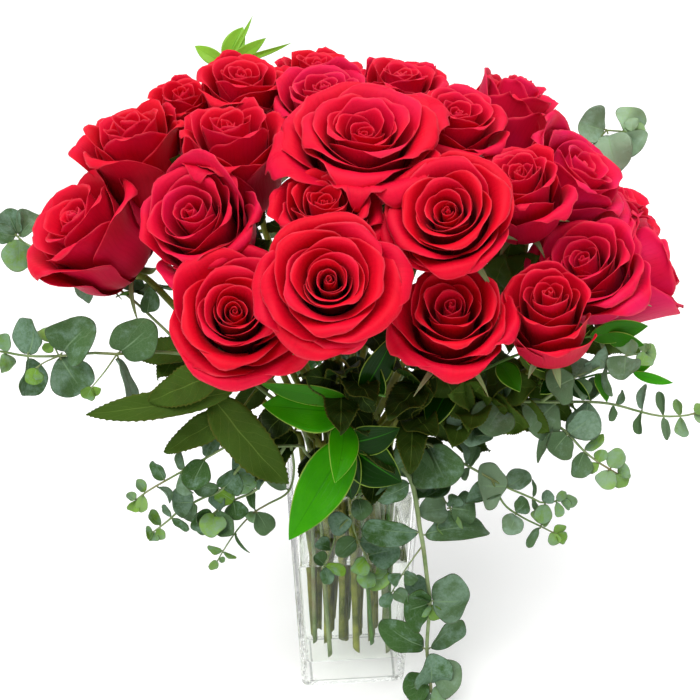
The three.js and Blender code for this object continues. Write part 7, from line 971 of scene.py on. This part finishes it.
def petal(skin, place, g, R, H, op, t, phi, tone, width=1.0, lipk=1.0, zk=1.0, frill=1.0):
    """One petal of a bloom: t runs from 0 at the heart to 1 at the outside."""
    nu, nv = 31, 20
    R = R * 0.945
    rm = R * (0.050 + (0.56 + 0.14 * (1 - op)) * t**0.95)
    zt = zk * H * np.interp(t, [0, 0.12, 0.30, 0.60, 0.82, 1.0, 1.2, 1.4], [1.06 - 0.25 * op, 1.07 - 0.23 * op, 1.05 - 0.10 * op, 1.0, 0.965 + 0.02 * op, 0.92 + 0.01 * op, 0.84 - 0.02 * op, 0.76 - 0.04 * op])
    zt *= 1 + g.uniform(-0.03, 0.03) * (1 + 0.6 * t) * (1.0 if t < 0.85 else 0.55)
    lip = R * np.interp(t, [0, 0.12, 0.30, 0.5, 0.75, 1.0, 1.2, 1.4], [0.0, 0.02, 0.09, 0.19, 0.31, 0.42, 0.46, 0.48]) * (0.58 + 0.46 * op) * lipk * g.uniform(0.88, 1.12)
    tight = np.interp(t, [0, 0.08, 0.2], [0.50, 0.74, 1.0])
    droop = np.interp(t, [0, 0.4, 0.75, 1.0, 1.2, 1.4], [0.0, 0.10, 0.40, 0.85, 1.3, 1.6])
    lean = g.uniform(-0.02, 0.03) * R * t
    C = np.array([
        (0.05 * R + 0.0012, 0.0006), (0.66 * rm + 0.0018, 0.10 * H + 0.05 * H * (1 - t)), (0.97 * rm, 0.34 * zt), (rm + 0.06 * lip, 0.62 * zt),
        (tight**0.6 * rm + 0.34 * lip + lean, 0.87 * zt), (tight * rm + 0.70 * lip + lean, 0.985 * zt), (tight * rm + 0.95 * lip + lean, zt - droop * 0.16 * lip), (tight * rm + 1.04 * lip + lean, zt - droop * 0.42 * lip)])
    if t < 0.35:
        C = C[:7]
    prof = curve(C, 60)
    S = np.linspace(0, 1, 60)
    W = width * R * np.interp(t, [0, 0.15, 0.4, 0.7, 1.0, 1.2], [0.12, 0.40, 0.74, 0.95, 1.05, 1.05])
    u = np.linspace(-1, 1, nu)
    u = np.sin(u * math.pi / 2 * 0.95) / math.sin(math.pi / 2 * 0.95)
    v = np.linspace(0, 1, nv) ** 0.82
    U, Vv = np.meshgrid(u, v)
    pw, drop = np.interp(t, [0, 0.5, 1.0], [2.6, 2.4, 2.15]), np.interp(t, [0, 0.3, 1.0], [0.24, 0.36, 0.50])
    point = np.interp(t, [0, 0.55, 1.0], [0.020, 0.030, 0.075]) * g.uniform(0.2, 1.5) * (0.6 + 0.4 * frill)
    mid = g.uniform(-0.18, 0.18)
    ph = g.uniform(0, 2 * math.pi, 6)
    nick = (0.010 * np.sin(U * 7 + ph[0]) + 0.009 * np.sin(U * 13 + ph[1]) * frill) * (1 - np.abs(U) ** 4)
    top = 1 - drop * (1 - np.sqrt(1 - np.minimum(np.abs(U), 0.999) ** pw)) + point * np.exp(-(((U - mid) / 0.24) ** 2)) - point + nick * (0.4 + t)
    s = np.clip(Vv * top, 0, 1)
    r, z = np.interp(s, S, prof[:, 0]), np.interp(s, S, prof[:, 1])
    wf = np.interp(s, [0, 0.12, 0.35, 0.6, 0.85, 1.0], [0.28, 0.46, 0.80, 1.0, 1.03, 0.99])
    half = W * wf
    ang = U * half / np.maximum(r, 0.42 * rm)
    ang = np.sign(ang) * np.minimum(np.abs(ang), np.interp(t, [0, 0.2, 1.0], [2.9, 2.3, 1.42]))
    swirl = np.interp(t, [0, 0.2, 0.5, 1.0], [0.34, 0.16, 0.085, 0.050])
    flat = np.interp(t, [0, 0.3, 1.0], [0.0, 0.12, 0.24]) * step(s, 0.50, 0.92)
    rel = s / np.maximum(top, 1e-3)
    lipness = step(Vv, 0.62, 1.0)
    e_side = step(np.abs(U), 0.50, 1.0) * step(s, 0.55, 0.92)
    rollk = R * np.interp(t, [0, 0.3, 0.7, 1.0], [0.0, 0.015, 0.06, 0.12]) * (0.25 + 0.85 * op) * g.uniform(0.6, 1.4, 2)
    roll = np.where(U < 0, rollk[0], rollk[1]) * e_side**1.5
    rr = r * (1 + swirl * U) + flat * r * (1 / np.cos(np.minimum(np.abs(ang), 1.0)) - 1) * 0.55 + roll
    aw = R * np.interp(t, [0, 0.2, 0.6, 1.0], [0.002, 0.008, 0.018, 0.030])
    rr = rr + aw * np.sin(U * 3.3 + ph[2]) * lipness + 0.62 * aw * np.sin(U * 8.0 + ph[3]) * lipness**2
    z = z + 0.9 * aw * np.sin(U * 2.6 + ph[4]) * lipness + 0.58 * aw * np.sin(U * 10.0 + ph[5]) * lipness**2 - roll * 0.55
    # a soft crease down the middle of the outer petals
    rr = rr - R * 0.012 * t * np.exp(-((U / 0.10) ** 2)) * step(s, 0.2, 0.6)
    th = phi + ang
    x, y = rr * np.cos(th), rr * np.sin(th)
    ex, ey, a, B = place
    off = g.normal(size=2) * R * np.interp(t, [0, 0.15, 0.45, 0.8, 1.0], [0.0, 0.012, 0.024, 0.016, 0.012])
    x, y = x + off[0] * step(s, 0.2, 0.9), y + off[1] * step(s, 0.2, 0.9)
    P = B + x[..., None] * ex + y[..., None] * ey + z[..., None] * a
    uv = np.stack([(U + 1) / 2, Vv], -1)
    d = np.zeros(P.shape[:2] + (4,))
    d[..., 1], d[..., 2], d[..., 3] = s, g.uniform(), tone
    thick = 0.00050 - 0.00032 * step(np.maximum(np.abs(U), Vv), 0.80, 1.0)
    skin.sheet(P, uv, d, thick, 0, flip=True)


TONE = {13: 1.0, 21: 0.75, 22: 0.85, 23: 0.6, 12: 0.55, 2: 0.55, 1: 0.35, 14: 0.35, 9: 0.35, 4: 0.25, 8: 0.65, 10: 0.30, 11: 0.4}


VIEW_RIGHT = np.array([0.99756, -0.06976, 0.0])
VIEW_UP = np.array([0.03069, 0.43893, 0.898])
EXTRA = {
    3: ((50, 1.12, 0.8, 0.4, 1.16), (172, 1.14, 0.7, 1.35, 1.0)),
    5: ((100, 1.12, 0.9, 0.4, 1.16),),
    6: ((105, 1.12, 0.9, 0.4, 1.20), (20, 1.12, 0.8, 0.6, 1.12)),
    7: ((80, 1.12, 0.8, 0.4, 1.24), (140, 1.12, 0.8, 0.5, 1.14)),
    8: ((70, 1.12, 0.8, 0.35, 1.26),),
    9: ((60, 1.12, 0.9, 0.4, 1.22), (130, 1.12, 0.8, 0.4, 1.16)),
    11: ((-60, 1.14, 0.9, 1.1, 0.98),),
    12: ((125, 1.04, 1.2, 0.35, 1.14), (-90, 1.14, 1.1, 0.4, 1.06)),
    1: ((200, 1.16, 1.0, 0.9, 0.98), (60, 1.12, 0.7, 0.7, 1.10)),
    2: ((66, 1.12, 1.0, 0.5, 1.42), (-5, 1.18, 0.8, 0.8, 1.10), (-85, 1.18, 0.9, 1.1, 0.94)),
    4: ((-110, 1.15, 0.9, 1.0, 0.98), (-20, 1.15, 0.9, 1.0, 1.0)),
    10: ((205, 1.16, 0.7, 1.2, 1.0), (-95, 1.14, 0.6, 1.1, 1.0), (25, 1.16, 0.7, 1.1, 1.05)),
    13: ((-30, 1.16, 0.9, 1.1, 1.0), (135, 1.10, 1.0, 0.7, 1.34)),
    14: ((-50, 1.20, 1.0, 1.25, 0.94), (200, 1.14, 0.9, 1.1, 0.98)),
    16: ((165, 1.12, 0.8, 1.0, 1.02), (5, 1.14, 0.9, 1.0, 0.92), (-30, 1.2, 0.9, 1.1, 0.84)),
    15: ((195, 1.14, 0.9, 0.7, 0.98), (-75, 1.10, 1.0, 0.8, 1.0)),
    17: ((185, 1.16, 0.8, 1.05, 1.0), (2, 1.14, 0.75, 1.15, 1.02), (-80, 1.16, 1.0, 0.95, 0.97)),
    18: ((75, 1.14, 0.9, 0.7, 1.12), (-35, 1.14, 0.9, 1.1, 1.0), (-95, 1.10, 1.1, 0.75, 0.96)),
    19: ((-95, 1.20, 1.15, 1.0, 0.93), (-25, 1.16, 0.9, 1.1, 1.0), (-150, 1.17, 0.9, 1.1, 0.96)),
    20: ((180, 1.16, 1.2, 0.8, 1.06), (-80, 1.20, 1.1, 0.9, 0.92), (100, 1.14, 1.0, 0.5, 1.12)),
    21: ((-50, 1.20, 1.05, 1.2, 0.98), (150, 1.14, 0.9, 0.9, 1.02)),
    22: ((-72, 1.04, 1.15, 0.30, 1.16), (110, 1.04, 1.1, 0.35, 1.14), (-120, 1.10, 1.15, 0.35, 1.10), (170, 1.14, 1.1, 0.35, 1.04)),
}


def bloom(rose):
    g = np.random.default_rng(500 + rose["k"])
    R, H, op = rose["R"] * MM, rose["H"] * MM, rose["open"]
    place = basis(rose["a"]) + (np.array(rose["B"]) * MM,)
    skin = Skin()
    n = 14 + int(round(4 * op))
    tone = TONE.get(rose["k"], 0.12)
    frill = {16: 2.2, 14: 2.0, 4: 1.6, 10: 2.4, 11: 1.5, 9: 1.6, 7: 1.8}.get(rose["k"], 1.0)
    phi0, hand = g.uniform(0, 6.28), (1 if g.uniform() < 0.5 else -1)
    for i in range(n):
        t = (i / (n - 1)) ** 1.22
        phi = phi0 + hand * i * math.radians(137.5) + g.uniform(-0.20, 0.20)
        petal(skin, place, g, R, H, op, t, phi, min(1, max(0, tone + g.uniform(-0.15, 0.15))), g.uniform(0.90, 1.10), frill=frill)
    for j in range(int(round(1 + 3 * op))):
        petal(skin, place, g, R, H, op, 1.06 + 0.055 * j, phi0 + hand * (n + j) * math.radians(137.5) + g.uniform(-0.2, 0.2), tone, g.uniform(0.95, 1.12), 1.0, g.uniform(0.94, 1.02), frill)
    # single petals that stand out in the bunch: (way they point in the view, t, width, lip, height)
    for deg, t, width, lipk, zk in EXTRA.get(rose["k"], ()):
        way = math.cos(math.radians(deg)) * VIEW_RIGHT + math.sin(math.radians(deg)) * VIEW_UP
        phi = math.atan2(way @ place[1], way @ place[0])
        petal(skin, place, g, R, H, op, t + 0.10, phi, min(1.0, tone + 0.15), width, lipk, zk, frill)
    return skin.build("rose_%02d_petals" % rose["k"], [PETAL], "rose_%02d_bloom" % rose["k"])


def blade(skin, base, tip, width, normal, g, mat, kind, young=0.0, thick=0.0004, curl=None, tone=0.0, under=False):
    """A leaf blade from base to tip. kind: pointed, serrated, round or strap."""
    base, tip = np.asarray(base, float), np.asarray(tip, float)
    along = tip - base
    L = np.linalg.norm(along)
    along = along / L
    n = np.asarray(normal, float)
    n = unit(n - along * (n @ along))
    if under:
        n = -n
    side = np.cross(n, along)
    ph = g.uniform(0, 6.28, 4)
    if kind == "round":
        m = 13
        q = np.sin(np.linspace(-1, 1, m) * math.pi / 2 * 0.8) / math.sin(math.pi / 2 * 0.8)
        U, Vv = np.meshgrid(q, q)
        x, y = U * np.sqrt(1 - Vv**2 / 2), Vv * np.sqrt(1 - U**2 / 2)
        rad = np.hypot(x, y)
        angp = np.arctan2(x, y)
        wob = 1 + 0.055 * np.sin(3 * angp + ph[0]) * rad + 0.028 * np.sin(5 * angp + ph[1]) * rad
        s = (y * wob + 1) / 2
        s = 0.07 + 0.93 * s
        lat = x * wob * width / 2 * (1.0 + 0.10 * y - 0.10 * y * y)
        cup = g.uniform(0.10, 0.34) * (1 if g.uniform() < 0.7 else -0.7)
        z = width * (cup * (x**2) * 0.9 + g.uniform(0.0, 0.16) * np.abs(x) + 0.15 * np.sin(2 * angp + ph[2]) * rad**2 * g.uniform(0.3, 1.0) + 0.035 * np.sin(5 * angp + ph[3]) * rad**3) + L * g.uniform(-0.20, 0.22) * (1 - y**2) * 0.8
        z = z - 0.03 * width * np.exp(-((x / 0.08) ** 2)) * (1 - step(y, 0.2, 1.0))
        uv = np.stack([(U + 1) / 2, (Vv + 1) / 2], -1)
    else:
        nu, nv = {"pointed": (11, 25), "serrated": (11, 64), "strap": (7, 17)}[kind]
        U, s = np.meshgrid(np.linspace(-1, 1, nu), (1 - np.cos(np.linspace(0, 1, nv) * math.pi)) / 2 * 0.55 + np.linspace(0, 1, nv) * 0.45)
        if kind == "pointed":
            prof = (s + 0.004) ** 0.62 * (1.0006 - s) ** 0.95 / 0.458
        elif kind == "serrated":
            prof = (s + 0.004) ** 0.58 * (1.0008 - s) ** 0.78 / 0.505
        else:
            prof = (s + 0.02) ** 0.35 * (1.001 - s) ** 0.9 / 0.62
        half = np.maximum(width / 2 * prof, 0.00018)
        lat = U * half
        if kind == "serrated":
            tooth = np.where(np.arange(nv) % 3 == 1, 1.0, np.where(np.arange(nv) % 3 == 2, 0.25, 0.0))[:, None]
            lat = lat + np.sign(U) * (np.abs(U) > 0.99) * tooth * half * 0.055 * g.uniform(0.4, 1.6, (nv, 1))
            shift = (np.abs(U) > 0.99) * tooth * 0.011
        else:
            shift = 0.0
        fold = {"pointed": g.uniform(0.10, 0.26), "serrated": g.uniform(0.10, 0.25), "strap": 0.3}[kind]
        arch = curl if curl is not None else {"pointed": g.uniform(0.03, 0.10), "serrated": g.uniform(0.03, 0.10), "strap": g.uniform(-0.1, 0.15)}[kind]
        z = arch * L * 4 * s * (1 - s) + fold * half * np.abs(U) ** 1.3 + 0.10 * half * np.sin(s * 9 + ph[0]) * U**2 * (1 if kind != "pointed" else 0.5)
        if kind == "serrated":
            z = z + 0.05 * width * np.sin(s * 21) * (1 - np.abs(U)) * 0.6 + 0.07 * width * np.sin(s * 11 + ph[2] + 1.5 * np.sign(U)) * U**2
        lat = lat + 0.05 * L * math.sin(ph[1]) * s * (1 - s) * 2
        s = s + shift
        uv = np.stack([(U + 1) / 2, np.clip(s, 0, 1)], -1)
    P = base + (s * L)[..., None] * along + lat[..., None] * side + z[..., None] * n
    d = np.zeros(P.shape[:2] + (4,))
    d[..., 1], d[..., 2], d[..., 3] = young, g.uniform(), tone
    skin.sheet(P, uv, d, thick, mat)


def rose_stem(rose):
    g = np.random.default_rng(900 + rose["k"])
    skin = Skin()
    B, a = np.array(rose["B"]) * MM, unit(rose["a"])
    pts = [np.array(p) * MM for p in rose["stem"]]
    pts = pts[:-2] + [B - a * 0.010, B - a * 0.001]
    path = curve(pts, 72)
    tt = np.linspace(0, 1, 72)
    rad = (0.0028 - 0.0002 * tt) * (1 + 0.03 * np.sin(tt * 31 + g.uniform(0, 6)))
    for c in np.arange(0.18, 0.93, 0.155):
        rad = rad * (1 + 0.16 * np.exp(-(((tt - c - g.uniform(-0.02, 0.02)) / 0.012) ** 2)))
    skin.rod(path, rad, 12, 0, (0, -1, g.uniform(), 0), slant=g.uniform(0.7, 1.2), slant_dir=g.uniform(0, 6.28), v0=0.0, v1=1.0)
    # the hip under the petals
    hz = np.array([-0.0115, -0.0095, -0.0075, -0.0050, -0.0028, -0.0008, 0.0012, 0.0026])
    hr = np.array([0.0026, 0.0036, 0.0051, 0.0063, 0.0065, 0.0058, 0.0050, 0.0040])
    skin.rod(B + hz[:, None] * a, hr, 14, 0, (0, 0, g.uniform(), 0))
    ex, ey, a = basis(a)
    for j in range(5):
        th = j * 1.2566 + g.uniform(-0.25, 0.25)
        out = math.cos(th) * ex + math.sin(th) * ey
        L = g.uniform(0.020, 0.030) * (1.4 if rose["k"] in (1, 15, 16, 17, 18, 19, 21) else 1.0)
        down = g.uniform(-0.9, 0.5)
        root = B - a * 0.0012 + out * 0.0048
        tip = root + unit(out * 1.0 + a * down) * L
        blade(skin, root, tip, g.uniform(0.0055, 0.0075), a * (1 if down < 0.2 else -1) + out * (0.4 if down < 0 else -0.6), g, 1, "strap", g.uniform(0, 0.6), 0.0005, curl=g.uniform(0.10, 0.28))
    # prickles
    for j in range(7):
        i = int(g.uniform(0.30, 0.93) * 71)
        c, t = path[i], unit(path[min(i + 1, 71)] - path[i - 1])
        o = unit(np.cross(t, g.normal(size=3)))
        q = np.array([c + o * rad[i] * 0.6, c + o * (rad[i] + 0.0016) - t * 0.0003, c + o * (rad[i] + 0.0034) - t * 0.0016])
        skin.rod(q, [0.0017, 0.0009, 0.00012], 6, 0, (0, 0, 0, 0))
    for on, base, tip, width, normal in rose["leaves"]:
        on, base, tip = (np.array(p) * MM for p in (on, base, tip))
        mid = (on + base) / 2 + np.array([0, 0, 0.002])
        skin.rod(curve([on, mid, base], 8), np.linspace(0.0012, 0.0008, 8), 7, 0, (0, 0, 0, 0))
        mid = (base + tip) / 2
        # painted shade: leaves whose middle lies near the middle of the bunch get a darker colour through tone
        shade = 1.0 - float(step(math.hypot(mid[0], mid[1] * 0.8), 0.055, 0.098))
        blade(skin, base, tip, width * MM * 1.05, normal, g, 2, "serrated", 0.0, 0.0004, tone=0.95 * shade, under=False)
    return skin.build("rose_%02d_green" % rose["k"], [STEM, SEPAL, ROSELEAF], "rose_%02d_stem" % rose["k"])


PALE = {"eucalyptus_upper_right": 0.85, "eucalyptus_right": 0.30, "eucalyptus_lower_right": 0.12, "eucalyptus_left": 0.12}


def sprig(row):
    g = np.random.default_rng(sum(ord(c) for c in row["name"]) * 7)
    euc = row["kind"] == "euc"
    skin = Skin()
    for i, (r0, r1, pts) in enumerate(row["branches"]):
        p = [np.array(q) * MM for q in pts]
        keep = [p[0]]
        for q in p[1:]:
            if np.linalg.norm(q - keep[-1]) > 0.0015:
                keep.append(q)
        n = max(8, len(keep) * 4)
        path = curve(keep, n)
        rad = np.linspace(r0, r1, n) * MM * 0.92
        skin.rod(path, rad, 9, 0, (0, 0, g.uniform(), 0), slant=0.9 if i == 0 else 0.0, round_end=True)
    for base, tip, width, normal, young in row["leaves"]:
        base, tip = np.array(base) * MM, np.array(tip) * MM
        top = CAD_BOX[1][2] + 0.0215
        if tip[2] > top:
            tip = base + (tip - base) * (top - base[2]) / (tip[2] - base[2])
        L = np.linalg.norm(tip - base)
        yg = 1.0 if young == 1 else 0.0
        if euc:
            stalk = base + (tip - base) * 0.10
            skin.rod([base, stalk], [0.0007, 0.0006], 5, 0, (0, 0, 0, 0))
            kind = "round" if width * MM > 0.30 * L else "pointed"
            blade(skin, base, tip, width * MM * 1.04, normal, g, 1, kind, yg * g.uniform(0.6, 1.0), 0.00045, tone=max(0.0, g.normal() * 0.16) + PALE.get(row["name"], 0.0) * g.uniform(0.4, 1.0))
        else:
            # leaves marked 2 get painted shade: tone 1 darkens their colour
            blade(skin, base, tip, width * MM * 1.04, normal, g, 2 if tip[2] > 0.445 else 1, "pointed", yg * 0.8, 0.00045, tone=1.0 if young == 2 else 0.0)
    if euc:
        mats, slot = [EUCSTEM, EUC], "eucalyptus"
    else:
        mats, slot = [GLOSSYSTEM, GLOSSY, TIP], "glossy_leaf"
    return skin.build(row["name"] + "_spray", mats, row["name"])


for row in ROSES:
    bloom(row)
    rose_stem(row)
for row in SPRIGS:
    sprig(row)


# ---------------------------------------------------------------- vase and water
def square_ring(half, corner, z, per=6):
    """A rounded square outline, the same number of points whatever its size."""
    out = []
    for q, (sx, sy) in enumerate(((1, 1), (-1, 1), (-1, -1), (1, -1))):
        for i in range(per + 1):
            a = math.pi / 2 * (q + i / per)
            out.append((sx * (half - corner) + corner * math.cos(a), sy * (half - corner) + corner * math.sin(a), z))
    # a point halfway along each flat side keeps the faces even
    full = []
    for i in range(len(out)):
        full.append(out[i])
        if i % (per + 1) == per:
            b = out[(i + 1) % len(out)]
            full.append(tuple((out[i][c] + b[c]) / 2 for c in range(3)))
    return full


def lathe_square(name, rows, mats, pick, node, cap0=True, cap1=True):
    """rows: (half width, corner radius, height) in order along the surface."""
    rings = [square_ring(h, c, z) for h, c, z in rows]
    n = len(rings[0])
    verts = [Vector(p) * MM for ring in rings for p in ring]
    faces = []
    for j in range(len(rings) - 1):
        for i in range(n):
            k = (i + 1) % n
            faces.append((j * n + i, j * n + k, (j + 1) * n + k, (j + 1) * n + i))
    if cap0:
        faces.append(tuple(reversed(range(n))))
    if cap1:
        faces.append(tuple((len(rings) - 1) * n + i for i in range(n)))
    me = bpy.data.meshes.new(name)
    me.from_pydata(verts, [], faces)
    me.update()
    me.polygons.foreach_set("use_smooth", [True] * len(me.polygons))
    for mt in mats:
        me.materials.append(mt)
    for p in me.polygons:
        p.material_index = pick(p.center / MM, p.normal)
    ob = bpy.data.objects.new(name, me)
    scene.collection.objects.link(ob)
    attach(ob, "root")
    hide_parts(node)
    return ob


def outer(z):
    return 44.0 + 6.0 * z / 200.0


rows = [(30.0, 4.0, 1.4), (40.5, 5.0, 1.4), (41.2, 5.0, 0.35), (42.0, 5.0, 0.0), (43.0, 5.0, 0.35), (43.7, 5.2, 1.2), (outer(2.6), 5.5, 2.6)]
rows += [(outer(z), 5.5, z) for z in (6, 14, 22, 26, 34, 60, 100, 140, 175, 194, 197.4)]
rows += [(outer(199.0) - 0.35, 5.5, 199.0), (outer(200) - 1.2, 5.0, 199.85), (outer(200) - 2.2, 4.6, 200.0), (outer(200) - 3.3, 4.0, 199.85), (outer(199.0) - 4.1, 3.5, 199.0)]
rows += [(outer(z) - 4.5, 3.2, z) for z in (197.4, 194, 175, 140, 130.7, 130.2, 100, 60, 40, 33)]
rows += [(outer(29) - 4.6, 3.2, 29.5), (outer(27) - 5.3, 4.0, 26.6), (outer(26) - 7.2, 5.0, 25.0), (outer(25) - 10.5, 6.0, 24.3), (24.0, 6.0, 24.0), (8.0, 3.0, 24.0)]
lathe_square("vase_glass", rows, [GLASS, WET, PAINTED_GLOW_FOOT, EDGE, CORNER], lambda c, n: 2 if c.z < 1.5 and max(abs(c.x), abs(c.y)) < 42.8 else 4 if min(abs(c.x), abs(c.y)) > outer(c.z) - 5.6 and c.z < 27.0 else 3 if (min(abs(c.x), abs(c.y)) > outer(c.z) - 5.6 and max(abs(c.x), abs(c.y)) > outer(c.z) - 3.0) or c.z > 196.0 else 1 if 23.0 < c.z < 130.5 and max(abs(c.x), abs(c.y)) < outer(c.z) - 3.0 else 0, "vase")

inner = lambda z: outer(z) - 4.5 - 0.3
rows = [(6.0, 2.0, 24.3), (22.0, 5.5, 24.3), (outer(25) - 10.8, 6.0, 24.6), (outer(26) - 7.5, 5.0, 25.3), (outer(27) - 5.6, 4.0, 26.9), (outer(29) - 4.9, 3.0, 29.7), (inner(34), 2.9, 34)]
rows += [(inner(z), 2.9, z) for z in (60, 95, 120, 127, 129.3)]
rows += [(inner(130.4) + 0.02, 2.9, 130.4), (inner(130.8) - 0.35, 2.9, 130.75), (inner(130.6) - 1.2, 3.0, 130.2), (inner(130) - 2.8, 3.4, 129.75), (24.0, 6.0, 129.6), (6.0, 2.0, 129.6)]
lathe_square("vase_water", rows, [WATER, SIDE], lambda c, n: 0 if c.z > 128.9 and n.z > 0.2 else 1, "water")
